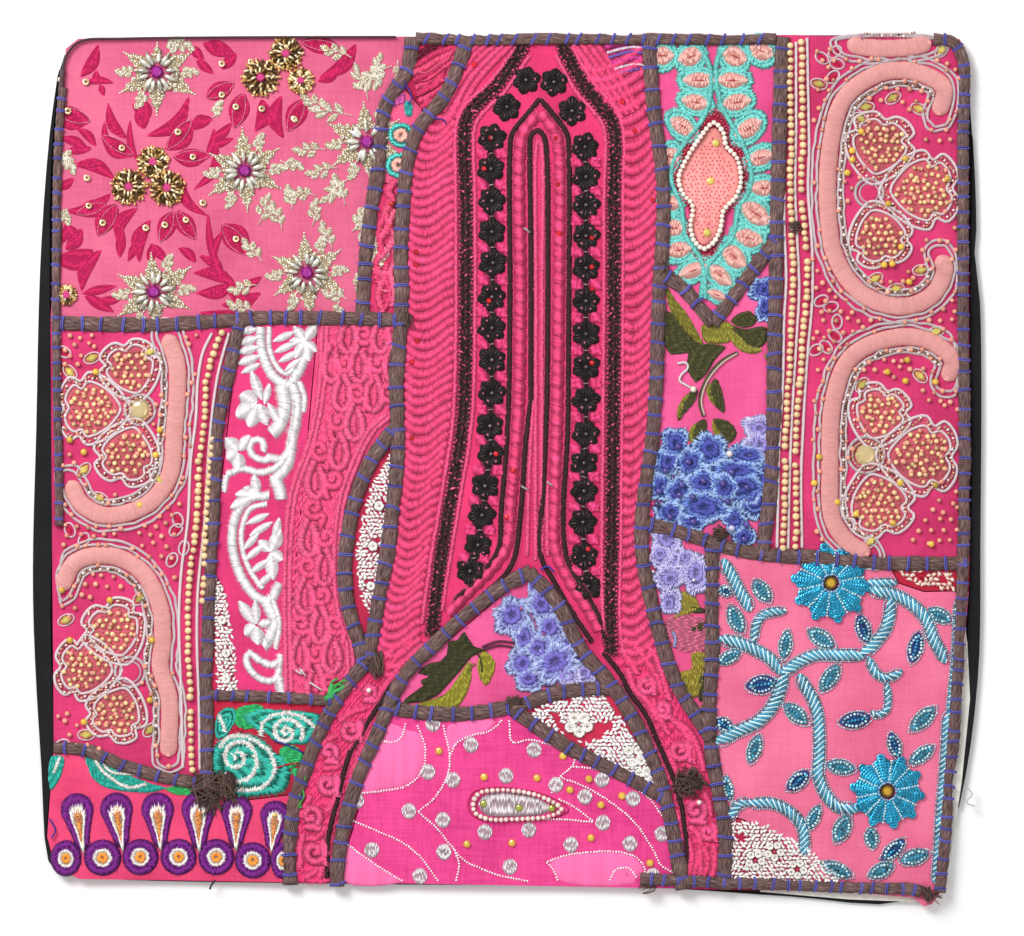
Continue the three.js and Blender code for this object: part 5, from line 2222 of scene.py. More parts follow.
    def stones(self, needle: Motifs) -> None:
        """Sets the pointed stones, the gold beads and the small ringed leaves.

        Args:
            needle: What it is sewn with.
        """
        spots = pairs(self.marquises)
        turns = needle.chance.uniform(-0.9, 0.9, len(spots))
        needle.stamp(needle.marquise, spots, 6.4, needle.vary("dccb62", 0.12, len(spots)), Stuff.STONE, turns, 0.9)
        for spot, turn in zip(spots, turns):
            needle.ring(spot, (8.5, 5.2), 1.8, self.shell, turn=-turn, rise=0.5, strands=Strands.TWISTED)
        spots = pairs(self.golds)
        needle.stamp(needle.bead, spots, 3.3, needle.vary("e8b83c", 0.12, len(spots)), Stuff.GLASS, lift=1.1)
        for spot in pairs(self.eyes):
            turn = needle.chance.uniform(0, 3)
            needle.ring(spot, (7.4, 5.0), 2.2, self.shell, turn=turn, rise=0.6, strands=Strands.TWISTED)
            needle.disc(spot, (4.2, 2.4), "d4204c", rise=0.5, turn=turn)

    def loose(self, needle: Motifs, taken: Points) -> None:
        """Scatters cream beads where nothing else lies.

        Args:
            needle: What it is sewn with.
            taken: The places that other things cover.
        """
        spots = needle.scatter(self.region, 11.5)
        gap = np.min(np.hypot(*(spots[:, None, :] - taken[None, :, :]).transpose(2, 0, 1)), axis=1)
        spots = spots[(gap > 9.5) & (needle.chance.random(len(spots)) > 0.1)]
        needle.stamp(needle.bead, spots, needle.chance.uniform(2.0, 2.7, len(spots)),
                     needle.vary("ec9c84", 0.16, len(spots)), Stuff.PEARL, lift=0.9)


RIGHT_BORDER = ScrollBorder(
    "right_scroll",
    {"scroll_right_upper": [(194, 159.5), (196.5, 172), (184, 179), (168, 178.6), (152, 167.5), (145.5, 146),
        (144.5, 115), (148, 95), (160, 79), (178, 73.6), (191, 78.5), (197, 90), (194.5, 96.5)],
        "scroll_right_lower": [(197.5, 40), (200.5, 49), (190, 58), (174, 59.5), (155, 51), (147, 32), (145.3, 0),
        (146.5, -22), (153, -32), (163, -38.5)], "scroll_right_top": [(153, 192.1), (163, 190), (180, 190.2), (191,
        192.4)]},
    (
        (790, 46, 790, 90, 791, 135, 790, 177, 791, 222, 792, 251, 793, 275, 792, 312, 790, 340, 789, 369, 787, 398,
         785.5, 442, 785, 480, 784, 511, 782, 548),
        (801.5, 43, 802, 90, 802, 148, 800, 188, 803, 220, 805, 241, 807, 275, 805, 309, 802.5, 335, 801, 359,
         798.5, 398, 796, 437, 795, 472, 796, 513, 795, 546)),
    (
        (785, 42, 785, 130, 784, 220, 786, 280, 784, 320, 783, 380, 779, 450, 778, 500, 777, 548),
        (796, 42, 796, 130, 795, 190, 797, 240, 799, 290, 797, 330, 794, 380, 791, 440, 789, 500, 788, 550),
        (807, 38, 808, 90, 809, 150, 808, 190, 812, 250, 812, 300, 807, 360, 803, 430, 801, 480, 802, 548)),
    (
        ((869, 193), 14, (886, 116, 957, 188, 887, 264), False),
        ((866, 455), 18, (888, 388, 956, 457, 886, 534), True)),
    (942, 50, 819, 84, 893, 98, 866, 107, 861, 119, 919, 109, 875, 279, 921, 270, 896, 289, 936, 332, 862, 385, 920,
     376, 871, 541),
    (861, 132, 852, 151, 852, 160, 847, 173, 905, 159, 947, 179, 888, 204, 901, 247, 884, 265, 892, 264, 909, 282,
     907, 360, 905, 381, 935, 382, 887, 372, 819, 457, 814, 483, 837, 502, 856, 514, 893, 523, 900, 483, 935, 485,
     931, 544),
    (835, 52, 837, 64, 833, 77, 821, 301, 831, 307, 837, 322, 835, 336, 826, 347, 816, 350, 822, 58),
    ((812, 40), (958, 40), (962, 120), (960, 300), (957, 550), (812, 548)))

LEFT_BORDER = ScrollBorder(
    "left_scroll",
    {"scroll_left_upper": [(-153, 61), (-148.5, 47), (-149.5, 18), (-152, -3), (-162, -15.5), (-180, -20.5), (-191,
        -15.5), (-197, -5)], "scroll_left_lower": [(-201, -54), (-194, -41.5), (-178, -38.6), (-164, -46), (-156,
        -62), (-155, -78), (-156, -88), (-152, -103), (-152.4, -129)]},
    (
        (222, 333, 214, 352, 207, 380, 205, 420, 200, 460, 197, 520, 190, 575, 188, 620, 190, 690, 192, 770),
        (213, 440, 210, 470, 205, 550, 203, 600)),
    (
        (212, 333, 203, 352, 198, 380, 196, 420, 191, 460, 188, 520, 181, 575, 179, 620, 181, 690, 183, 768),
        (229, 333, 219, 370, 214, 400, 209, 450, 205, 520, 198, 590, 197, 640, 199, 700, 200, 770)),
    (((140, 410), 15, (124, 343, 60, 408, 120, 482), True), ((130, 672), 15, (104, 604, 57, 666, 108, 738), False)),
    (70, 372, 92, 358, 84, 470, 100, 498, 150, 352, 160, 480, 66, 620, 86, 735, 140, 598, 150, 730),
    (70, 440, 84, 452, 160, 430, 156, 455, 96, 372, 140, 505, 70, 640, 84, 722, 152, 640, 150, 700, 62, 590, 110,
     600),
    (176, 530, 184, 548, 172, 560, 64, 352, 70, 530, 84, 540, 178, 520, 62, 745),
    ((58, 335), (198, 335), (190, 450), (172, 600), (178, 770), (130, 752), (58, 745)))


@dataclass
class BeadVine:
    """The lower right patch: vines of slanting bugle beads, beaded leaves and two sequin flowers.

    Attributes:
        vines: For each vine its width in pixels and its route.
        leaves: For each leaf its base, its tip and its width in pixels.
        flowers: For each flower its middle and radius in pixels.
    """

    name: str = "bead_vine"
    teal: str = "2a90b4"
    pale: str = "c4e8f0"
    navy: str = "35569a"
    vines: tuple[tuple[float, tuple[float, ...]], ...] = (
        (11, (722, 561, 730, 573, 740, 592, 751, 609)),
        (11, (720, 640, 736, 642, 754, 649, 769, 658, 781, 671)),
        (8, (754, 641, 756, 625, 763, 615, 785, 610)),
        (11, (783, 674, 797, 663, 816, 655, 835, 655, 863, 655)),
        (11, (863, 655, 875, 643, 886, 628, 890, 609, 889, 599)),
        (12, (783, 674, 780, 689, 771, 708, 757, 722, 736, 732, 717, 743)),
        (11, (798, 676, 808, 691, 816, 708, 819, 732, 819, 755, 818, 774, 825, 793, 839, 807, 856, 808)),
        (8, (868, 659, 877, 674, 887, 678, 901, 671)),
        (6, (886, 684, 888, 696, 886, 710, 877, 715, 871, 712)),
        (11, (870, 591, 892, 594, 910, 603, 925, 618, 934, 640, 946, 661)),
        (8, (868, 583, 882, 583, 896, 582)),
        (5, (957, 600, 955, 646, 952, 684, 949, 712)),
        (10, (948, 712, 945, 767, 941, 814, 938, 862, 936, 882)),
        (9, (729, 820, 738, 805, 750, 801)),
        (10, (750, 804, 771, 803, 790, 812, 802, 827, 805, 853)))
    leaves: tuple[tuple[float, ...], ...] = (
        (753, 579, 771, 603, 17), (729, 604, 743, 635, 17), (717, 664, 742, 650, 14), (788, 628, 783, 661, 14),
        (744, 687, 779, 682, 20), (807, 629, 836, 648, 18), (859, 613, 868, 645, 16), (840, 663, 820, 693, 17),
        (783, 703, 809, 725, 17), (926, 609, 953, 622, 16), (920, 630, 911, 665, 16), (837, 723, 873, 717, 18),
        (937, 706, 909, 732, 17), (716, 719, 733, 731, 15), (718, 588, 732, 594, 12), (760, 733, 749, 765, 15),
        (725, 774, 731, 802, 10), (824, 764, 857, 770, 16), (810, 770, 786, 791, 17), (890, 731, 899, 760, 14),
        (935, 745, 908, 765, 15), (820, 804, 807, 831, 13), (849, 813, 835, 844, 18), (820, 862, 854, 877, 15),
        (870, 826, 873, 850, 15), (906, 838, 880, 862, 15), (898, 862, 931, 852, 17), (895, 864, 867, 877, 16))
    flowers: tuple[tuple[float, ...], ...] = ((831, 583, 35), (887, 791, 33))

    def build(self, face: Face, materials: dict[Stuff, bpy.types.Material]) -> None:
        """Beads the patch.

        Args:
            face: The surface that it is sewn on.
            materials: The finish of each stuff.
        """
        needle = Motifs(face, 42)
        for width, route in self.vines:
            self.vine(needle, width, pairs(route))
        for x0, y0, x1, y1, width in self.leaves:
            self.leaf(needle, (x0, y0), (x1, y1), width)
        for x, y, radius in self.flowers:
            self.flower(needle, np.array([x, y], float), radius)
        needle.finish(self.name, f"cloth_{self.name}", materials)

    def vine(self, needle: Motifs, width: float, route: Points) -> None:
        """Lays one vine: slanting bugles between two rows of tiny beads.

        Args:
            needle: What it is sewn with.
            width: Its width in pixels.
            route: The places that it passes.
        """
        spine = spaced(smooth(at(route)), 1.22)
        run = lengths(spine)
        half = width * PIXEL / 2 * np.clip(np.minimum(run, run[-1] - run) / 3 + 0.35, 0, 1)
        side = sideways(spine)
        count = len(spine)
        tints = np.where((np.arange(count) % 2 == 0)[:, None], needle.vary(self.teal, 0.2, count),
                         needle.vary(self.pale, 0.12, count))
        angle = np.arctan2(side[:, 1], side[:, 0]) + 0.74
        for k in range(count):
            needle.stamp(needle.bugle, spine[k:k + 1], 1.12, tints[k:k + 1], Stuff.GLASS, angle[k], 0.62, raw=True,
                         shape=(2.4 * half[k] / 1.12, 0.9, 1))
        for sign in (-1, 1):
            rim = spaced(spine + side * (sign * (half + 0.4))[:, None], 1.15)
            needle.stamp(needle.seed_bead, rim, 1.05, needle.vary("a4c4d0", 0.25, len(rim)), Stuff.METAL, lift=0.4,
                         raw=True)

    def leaf(self, needle: Motifs, base: Sequence[float], tip: Sequence[float], width: float) -> None:
        """Beads one leaf: an outline of tiny beads round rows of pale and blue ones.

        Args:
            needle: What it is sewn with.
            base: Its start, in pixels.
            tip: Its end.
            width: Its greatest width.
        """
        needle.dome(lens(base, tip, width, 0.9), 0.3, self.navy if needle.chance.random() < 0.4 else "5c9fb8",
                    raw=False)
        needle.beads_along(lens(base, tip, width), 1.0, 1.0, "b4d2dc", Stuff.METAL, closed=True, spread=0.25)
        needle.beads_along(lens(base, tip, width, 0.66), 1.5, 1.55, "bfe2ea", Stuff.GLASS, closed=True, spread=0.25,
                           lift=0.7)
        base, tip = np.array(base, float), np.array(tip, float)
        needle.beads_along([base + (tip - base) * 0.2, tip + (base - tip) * 0.2], 1.5, 1.55, self.teal, Stuff.GLASS,
                           spread=0.4, lift=0.8)

    def flower(self, needle: Motifs, centre: Points, radius: float) -> None:
        """Works one flower of overlapping sequins round a gold stone.

        Args:
            needle: What it is sewn with.
            centre: Its middle, in pixels.
            radius: How far its petals reach.
        """
        petals = 10
        for k in range(petals):
            angle = 2 * math.pi * (k + 0.2) / petals
            for lane, reach in ((-0.14, 0.9), (0.0, 1.04), (0.14, 0.9)):
                way = along_way(angle + lane)
                radii = np.arange(12, radius * reach, 2.7)
                spots = centre + way * radii[:, None]
                needle.stamp(needle.sequin, spots, np.linspace(3.0, 4.3, len(spots)),
                             needle.vary("1fa3cc", 0.22, len(spots)), Stuff.FOIL,
                             turns=needle.chance.uniform(0, 1, len(spots)), lift=np.linspace(1.3, 0.75, len(spots)))
            way = along_way(angle + math.pi / petals)
            needle.beads_along([centre + way * 9, centre + way * radius * 0.94], 1.25, 1.3, "bfe6f0", Stuff.GLASS,
                               lift=1.25)
        ring = [centre + along_way(a) * 9 for a in np.arange(0, 6.2, 0.7)]
        needle.beads_along(ring, 1.5, 1.6, "6fa6d0", Stuff.GLASS, closed=True, lift=1.3)
        needle.disc(centre, 7.5, "6a5a58", rise=1.0)
        needle.stamp(needle.stone, centre[None], 5.2, needle.vary("e0b030", 0.05), Stuff.STONE, lift=1.7)


@dataclass
class ZariFloral:
    """The upper left patch: crimson leaves, silver snowflakes round magenta stones and bronze bead rosettes.

    Attributes:
        leaves: For each leaf its base, tip, width and bend, and 1 if a silver thread outlines it.
        snowflakes: The places of the silver flowers.
        rosettes: For each bronze rosette its place and radius.
        sequins: The places of the cream sequins.
        sprays: For each silver spray its foot, its angle in degrees and its length.
    """

    name: str = "zari_floral"
    crimson: str = "d82264"
    silver: str = "fff4e0"
    leaves: tuple[tuple[float, ...], ...] = (
        (81, 77, 98, 44, 11, 0.1, 0), (85, 83, 114, 83, 7, -0.1, 0), (100, 84, 104, 96, 6, 0, 0),
        (56, 110, 91, 121, 20, 0.1, 1), (127, 139, 108, 103, 10, -0.15, 0), (144, 129, 139, 104, 13, 0, 0),
        (147, 136, 189, 96, 13, 0.2, 0), (134, 155, 101, 135, 16, -0.1, 1), (166, 150, 192, 119, 18, 0.1, 1),
        (173, 157, 211, 155, 16, 0.05, 1), (114, 178, 72, 165, 12, 0.15, 0), (111, 194, 65, 211, 12, -0.15, 0),
        (107, 204, 76, 214, 15, 0, 1), (117, 204, 98, 237, 19, 0.05, 1), (137, 208, 118, 244, 12, 0.2, 0),
        (173, 211, 160, 243, 16, 0, 1), (176, 211, 196, 240, 16, 0, 1), (150, 220, 140, 263, 13, 0.15, 0),
        (216, 142, 193, 190, 9, -0.2, 0), (222, 224, 248, 256, 22, -0.05, 1), (235, 283, 193, 273, 12, 0.1, 0),
        (235, 284, 196, 293, 12, -0.1, 0), (101, 250, 82, 292, 13, 0.15, 0), (82, 294, 117, 286, 8, 0, 0),
        (85, 296, 114, 312, 10, 0, 0), (56, 262, 94, 250, 18, 0.1, 0), (203, 44, 235, 54, 14, 0, 0),
        (236, 53, 222, 70, 10, 0, 0), (206, 98, 235, 83, 16, 0, 1), (243, 93, 235, 129, 18, 0, 1),
        (262, 99, 255, 132, 15, -0.2, 0), (281, 96, 284, 139, 14, 0.2, 0), (304, 99, 288, 132, 18, 0, 1),
        (301, 42, 343, 49, 15, 0, 1), (356, 44, 320, 77, 13, -0.15, 0), (222, 305, 261, 292, 13, 0.1, 0),
        (200, 313, 248, 309, 10, 0.1, 0), (199, 256, 222, 283, 10, -0.2, 0), (182, 178, 208, 216, 9, 0.2, 0),
        (208, 214, 226, 282, 7, 0.08, 0), (64, 225, 84, 240, 12, 0.1, 0), (212, 118, 190, 130, 12, 0.1, 0),
        (130, 120, 140, 165, 6, 0.1, 0), (196, 60, 214, 74, 8, 0, 0), (60, 190, 74, 178, 8, 0, 0),
        (96, 84, 96, 70, 7, 0, 0), (88, 150, 58, 138, 9, 0.1, 0), (92, 148, 64, 152, 8, 0, 0),
        (96, 146, 76, 128, 8, 0.1, 0), (120, 258, 122, 226, 9, 0, 0), (146, 240, 128, 262, 9, 0.1, 0),
        (150, 244, 168, 262, 9, 0, 0), (152, 244, 150, 266, 8, 0, 0), (234, 300, 228, 276, 8, 0, 0),
        (236, 302, 250, 282, 8, 0, 0), (240, 286, 262, 276, 8, 0.1, 0), (66, 250, 82, 228, 12, 0.1, 0),
        (60, 244, 70, 224, 9, 0, 0), (98, 300, 124, 296, 8, 0.1, 0), (150, 118, 142, 98, 9, 0, 0),
        (146, 116, 132, 104, 8, 0, 0), (206, 158, 214, 128, 8, 0.1, 0), (210, 140, 232, 122, 9, 0.1, 0),
        (210, 148, 234, 138, 7, 0, 0), (196, 262, 178, 248, 9, 0.1, 0), (190, 46, 204, 60, 9, 0, 0),
        (318, 82, 340, 66, 10, 0.1, 0), (222, 232, 214, 262, 7, 0.1, 0), (104, 122, 112, 150, 6, 0.1, 0))
    snowflakes: tuple[float, ...] = (157, 72, 245, 171, 307, 273, 154, 292, 367, 142)
    rosettes: tuple[tuple[float, ...], ...] = (
        (129, 187, 17), (167, 188, 17), (153, 162, 15), (261, 78, 18), (286, 54, 16), (301, 81, 12), (67, 295, 9))
    sequins: tuple[float, ...] = (
        222, 64, 251, 62, 86, 82, 61, 80, 68, 111, 87, 178, 146, 228, 203, 203, 262, 109, 186, 220, 122, 148, 178,
        132, 193, 157, 89, 206, 103, 223, 165, 225, 236, 239, 222, 95, 236, 107, 295, 120, 326, 49, 294, 119)
    sprays: tuple[tuple[float, ...], ...] = (
        (352, 58, 200, 26), (392, 66, 150, 34), (368, 100, 250, 30), (330, 112, 210, 26), (352, 116, 190, 34),
        (326, 150, 180, 26), (338, 168, 170, 26), (350, 178, 140, 30), (316, 196, 190, 22), (345, 205, 250, 26),
        (352, 232, 300, 24), (258, 225, 290, 26), (282, 230, 250, 24), (258, 285, 170, 24), (262, 262, 230, 24),
        (375, 86, 280, 26), (62, 152, 60, 20), (58, 205, 60, 18), (340, 300, 100, 18), (255, 312, 200, 24),
        (380, 60, 100, 24), (398, 60, 80, 22), (366, 208, 100, 26), (376, 236, 80, 24), (332, 250, 250, 24),
        (360, 270, 330, 26), (292, 210, 260, 20), (312, 226, 280, 22), (212, 118, 300, 16), (168, 40, 20, 22),
        (60, 168, 300, 16), (348, 300, 200, 22), (366, 300, 250, 22), (280, 160, 20, 20))

    def build(self, face: Face, materials: dict[Stuff, bpy.types.Material]) -> None:
        """Embroiders and beads the patch.

        Args:
            face: The surface that it is sewn on.
            materials: The finish of each stuff.
        """
        needle = Motifs(face, 43)
        for x0, y0, x1, y1, width, bend, outlined in self.leaves:
            self.leaf(needle, np.array([x0, y0], float), np.array([x1, y1], float), width, bend)
            if outlined:
                line = smooth(at(lens((x0, y0), (x1, y1), width * 0.72, 0.92)), closed=True)
                dashes = spaced(line, 0.9)
                needle.slivers(dashes[:-1], dashes[:-1] * 0.25 + dashes[1:] * 0.75, 0.38,
                               needle.vary("ffdce0", 0.15, len(dashes) - 1), 0.25, Stuff.METAL, 0.35)
        for x, y, angle, size in self.sprays:
            self.spray(needle, np.array([x, y], float), math.radians(angle), size)
        for spot in pairs(self.snowflakes):
            self.snowflake(needle, spot)
        for x, y, radius in self.rosettes:
            self.rosette(needle, np.array([x, y], float), radius)
        spots = pairs(self.sequins)
        needle.stamp(needle.sequin, spots, needle.chance.uniform(2.9, 3.4, len(spots)),
                     needle.vary("e8cfa0", 0.1, len(spots)), Stuff.FOIL, lift=0.75)
        needle.finish(self.name, f"cloth_{self.name}", materials)

    def leaf(self, needle: Motifs, base: Points, tip: Points, width: float, bend: float) -> None:
        """Stitches one flat crimson leaf.

        Args:
            needle: What it is sewn with.
            base: Its narrow start, in pixels.
            tip: Its end.
            width: Its greatest width.
            bend: How far its middle swings aside, as a share of its length.
        """
        along = tip - base
        side = np.array([-along[1], along[0]])
        t = np.array([0, 0.15, 0.35, 0.55, 0.75, 0.92, 1.0])
        half = width * 0.58 / np.linalg.norm(along) * np.array([0.1, 0.62, 1.0, 1.0, 0.72, 0.3, 0])
        spine = base + along * t[:, None] + side * (bend * np.sin(math.pi * t))[:, None]
        outline = np.vstack([spine + side * half[:, None], (spine - side * half[:, None])[-2::-1]])
        needle.dome(outline, 0.06, "d41e60", raw=False, stuff=Stuff.COTTON, lift=0.06, step=1.8)
        needle.hatch(outline, self.crimson, math.atan2(-along[1], along[0]) + 0.9, long=5.0, gap=0.62, wide=0.6,
                     rise=0.05, stuff=Stuff.COTTON, lift=0.12, spread=0.06)

    def spray(self, needle: Motifs, foot: Points, angle: float, size: float) -> None:
        """Stitches a silver stem with small lobed leaves on both sides.

        Args:
            needle: What it is sewn with.
            foot: Where it starts, in pixels.
            angle: Its direction in radians.
            size: Its length.
        """
        way = along_way(angle)
        tip = foot + way * size
        needle.line([foot, (foot + tip) / 2 + along_way(angle + 1.57) * 2, tip], 0.6, self.silver, rise=0.4,
                    stuff=Stuff.METAL, lift=0.2)
        for share, lean in ((0.3, 0.8), (0.45, -0.8), (0.65, 0.7), (0.8, -0.6), (1.0, 0.0)):
            base = foot + way * size * share * 0.9
            shape = lens(base, base + along_way(angle + lean) * size * 0.42, 7.4)
            needle.dome(shape, 0.2, "c8b490", raw=False, stuff=Stuff.METAL, lift=0.12, step=2.0)
            needle.hatch(shape, self.silver, -angle - lean + 1.2, long=2.6, gap=0.62, wide=0.55, rise=0.3, rough=0.2,
                         stuff=Stuff.METAL, lift=0.25)

    def snowflake(self, needle: Motifs, centre: Points) -> None:
        """Works a silver flower: six feathered arms, four sprays, oblong beads and a magenta stone.

        Args:
            needle: What it is sewn with.
            centre: Its middle, in pixels.
        """
        turn = needle.chance.uniform(-0.12, 0.12) - math.pi / 2
        for arm in range(6):
            angle = turn + arm * math.pi / 3
            way = along_way(angle)
            side = np.array([-way[1], way[0]])
            reach = 43 * needle.chance.uniform(0.9, 1.08)
            reach = min(reach, (centre[1] - 41) / max(-way[1], 0.01))
            fir = ((0.3, 0.16), (0.4, 0.26), (0.46, 0.15), (0.56, 0.2), (0.62, 0.11), (0.72, 0.13), (0.78, 0.06),
                   (1.0, 0.0))
            shape = [centre + way * reach * a + side * reach * b for a, b in fir]
            shape += [centre + way * reach * a - side * reach * b for a, b in fir[-2::-1]]
            needle.dome(np.array(shape), 0.2, "c0a880", raw=False, stuff=Stuff.METAL, lift=0.1, step=2.0)
            for lean in (-0.9, 0.9):
                needle.hatch(np.array(shape), self.silver, -angle + lean, long=2.6, gap=1.1, wide=0.6, rise=0.35,
                             rough=0.25, stuff=Stuff.METAL, lift=0.2, spread=0.2)
        for corner in (0.5, 1.5, 3.5, 4.5):
            self.spray(needle, centre + along_way(turn + corner * math.pi / 3) * 19, turn + corner * math.pi / 3, 18)
        count = 13
        angles = turn + np.arange(count) * 2 * math.pi / count + needle.chance.normal(0, 0.08, count)
        ways = np.column_stack([np.cos(angles), np.sin(angles)])
        needle.stamp(needle.bead, centre + ways * 14, needle.chance.uniform(5.2, 7.2, count),
                     needle.vary("dcd8ca", 0.2, count), Stuff.FOIL, turns=-angles, lift=1.3, shape=(1, 0.38, 0.36))
        needle.stamp(needle.bugle, centre + ways * 19.5, 1.3, needle.vary("ccc4ac", 0.3, count), Stuff.METAL,
                     turns=-angles + needle.chance.normal(0, 0.5, count), lift=0.9, shape=(2.2, 1, 1))
        needle.stamp(needle.seed_bead, centre + ways * 21, 1.4, needle.vary("b8904e", 0.2, count), Stuff.METAL,
                     lift=0.7)
        needle.stamp(needle.stone, centre[None], 5.9, needle.vary("b02aa0", 0.05), Stuff.STONE, lift=1.7)

    def rosette(self, needle: Motifs, centre: Points, radius: float) -> None:
        """Works a bronze rosette of short bugle beads and a pink stone.

        Args:
            needle: What it is sewn with.
            centre: Its middle, in pixels.
            radius: Its radius.
        """
        needle.disc(centre, radius * 0.95, "7c5636", rise=0.4, stuff=Stuff.COTTON)
        shades = ("5a4428", "8a6a3c", "b48c54", "dcc494", "f0e0b8")
        for ring, share in enumerate((0.46, 0.74, 1.0)):
            count = (11, 16, 19)[ring]
            angles = np.arange(count) * 2 * math.pi / count + needle.chance.normal(0, 0.1, count)
            ways = np.column_stack([np.cos(angles), np.sin(angles)])
            turns = -angles + needle.chance.normal(0, 0.3 + 0.25 * ring, count)
            tints = np.array([dye(shades[k]) for k in needle.chance.integers(0, len(shades), count)])
            needle.stamp(needle.bugle, centre + ways * radius * share * 0.9, 1.15, tints, Stuff.METAL, turns,
                         1.5 - 0.35 * ring, shape=(2.1, 1, 1))
            needle.stamp(needle.seed_bead, centre + ways[::2] * radius * (share + 0.08), 1.35,
                         needle.vary("e4b478", 0.35, len(ways[::2])), Stuff.METAL, lift=1.0)
        rim = centre + radius * 0.98 * np.array([along_way(a) for a in np.arange(0, 6.2, 0.3)])
        needle.stamp(needle.seed_bead, rim, 1.6, needle.vary("c08a50", 0.35, len(rim)), Stuff.METAL, lift=0.7)
        needle.stamp(needle.stone, centre[None], 4.4, needle.vary("e0408c", 0.05), Stuff.STONE, lift=2.0)


def placed(flat: Sequence[float], corner: tuple[float, float], scale: float) -> Points:
    """Returns places in pixels from places measured on an enlarged detail of the photograph."""
    return pairs(flat) / scale + corner


@dataclass
class Lozenge:
    """The upper right patch: a beaded peach lozenge, teal satin lines and peach ovals in teal surrounds.

    Attributes:
        corner: The upper left corner of the detail that its places were measured on.
        scale: How much that detail is enlarged.
        lines: The routes of the teal satin lines.
        pearls: The places round the lozenge.
        ovals: For each oval its place, its half width and half height, and its turn in degrees.
    """

    name: str = "lozenge"
    corner: tuple[float, float] = (655, 40)
    scale: float = 4.228
    teal: str = "78d2ca"
    peach: str = "ffc2b8"
    lines: tuple[tuple[float, ...], ...] = (
        (185, 30, 230, 110, 235, 220, 210, 320, 130, 430, 75, 520, 70, 600, 110, 700, 130, 830, 190, 920, 205, 980,
         195, 1095),
        (300, 25, 262, 90, 262, 200, 290, 300, 350, 400, 400, 520, 405, 620, 350, 720, 330, 830, 250, 920, 215, 980,
         212, 1095))
    pearls: tuple[float, ...] = (
        248, 352, 288, 395, 300, 450, 345, 500, 362, 600, 340, 665, 290, 720, 276, 800, 250, 852, 205, 884, 165,
        848, 150, 790, 158, 700, 115, 645, 100, 580, 130, 510, 185, 420)
    ovals: tuple[tuple[float, ...], ...] = (
        (150, 72, 46, 40, -20), (185, 172, 58, 33, 0), (172, 265, 52, 34, 10), (115, 365, 50, 36, 30),
        (66, 495, 30, 42, 20), (66, 690, 40, 34, 0), (75, 795, 44, 36, 0), (100, 888, 50, 34, -10),
        (160, 975, 52, 32, -20), (30, 68, 42, 40, 0), (335, 70, 46, 44, 20), (325, 172, 56, 34, 0),
        (345, 265, 52, 36, -10), (395, 375, 54, 38, -30), (447, 498, 52, 34, -15), (458, 627, 50, 34, 0),
        (425, 735, 62, 44, 32), (395, 838, 52, 38, 15), (335, 918, 52, 44, 40), (275, 995, 52, 34, 40),
        (450, 48, 44, 40, 20), (262, 1078, 36, 22, 20))

    def build(self, face: Face, materials: dict[Stuff, bpy.types.Material]) -> None:
        """Stitches and beads the patch.

        Args:
            face: The surface that it is sewn on.
            materials: The finish of each stuff.
        """
        needle = Motifs(face, 44)
        for x, y, wide, tall, angle in self.ovals:
            spot = placed((x, y), self.corner, self.scale)[0]
            turn = math.radians(angle)
            size = (wide * 1.14 / self.scale, tall / self.scale)
            angles = np.arange(0, 6.2, 0.52)
            ring = np.column_stack([np.cos(angles) * size[0], np.sin(angles) * size[1]])
            ring = ring @ np.array([[math.cos(turn), math.sin(turn)], [-math.sin(turn), math.cos(turn)]])
            # Painted shade: the deeper teal ground shows between the teal stitches as their shade.
            needle.rays(spot + ring * (1.5, 1.9), ((1.03, 0.62, self.teal), (0.8, 0.4, self.teal)), "44aaa2",
                        height=0.35, lift=0.08)
            needle.dome(spot + ring * 1.02, 0.25, "f0a094", raw=False, lift=0.5, step=1.8)
            needle.hatch(spot + ring * 1.05, self.peach, math.pi / 2 - turn, lift=0.8, long=5.5, spread=0.06)
            way = along_way(turn) * size[0] * 0.5
            needle.slivers(at([spot - way]), at([spot + way]), 0.55, dye("c03a44"), 0.3, lift=1.15)
        loop = placed(self.pearls, self.corner, self.scale)
        core = loop.mean(axis=0)
        needle.dome(core + (loop - core) * 1.2, 0.3, "c8284c", raw=False, stuff=Stuff.COTTON)
        needle.dome(core + (loop - core) * 0.95, 0.4, "fa9c96", raw=False, stuff=Stuff.COTTON, lift=0.35, pitch=50)
        dots = needle.scatter(core + (loop - core) * 0.82, 4.3)
        needle.slivers(at(dots - (1.1, 0)), at(dots + (1.1, 0)), 1.0, needle.vary("d85878", 0.15, len(dots)), 0.1,
                       lift=0.85)
        for share, tint in ((1.13, "d8506a"), (1.2, "b83050")):
            needle.beads_along(core + (loop - core) * share, 1.2, 1.5, tint, Stuff.GLASS, closed=True, spread=0.3)
        needle.beads_along(loop, 2.5, 2.2, "fff0e2", Stuff.PEARL, closed=True, wander=0.05, spread=0.04, lift=0.7)
        for line in self.lines:
            needle.band(placed(line, self.corner, self.scale), 6.2, self.teal, rise=0.7, step=1.7, lift=0.6)
        spots = placed((257, 437, 235, 597, 220, 815), self.corner, self.scale)
        needle.stamp(needle.stone, spots, 3.8, needle.vary("f0e070", 0.05, 3), Stuff.STONE, lift=1.3)
        needle.finish(self.name, f"cloth_{self.name}", materials)


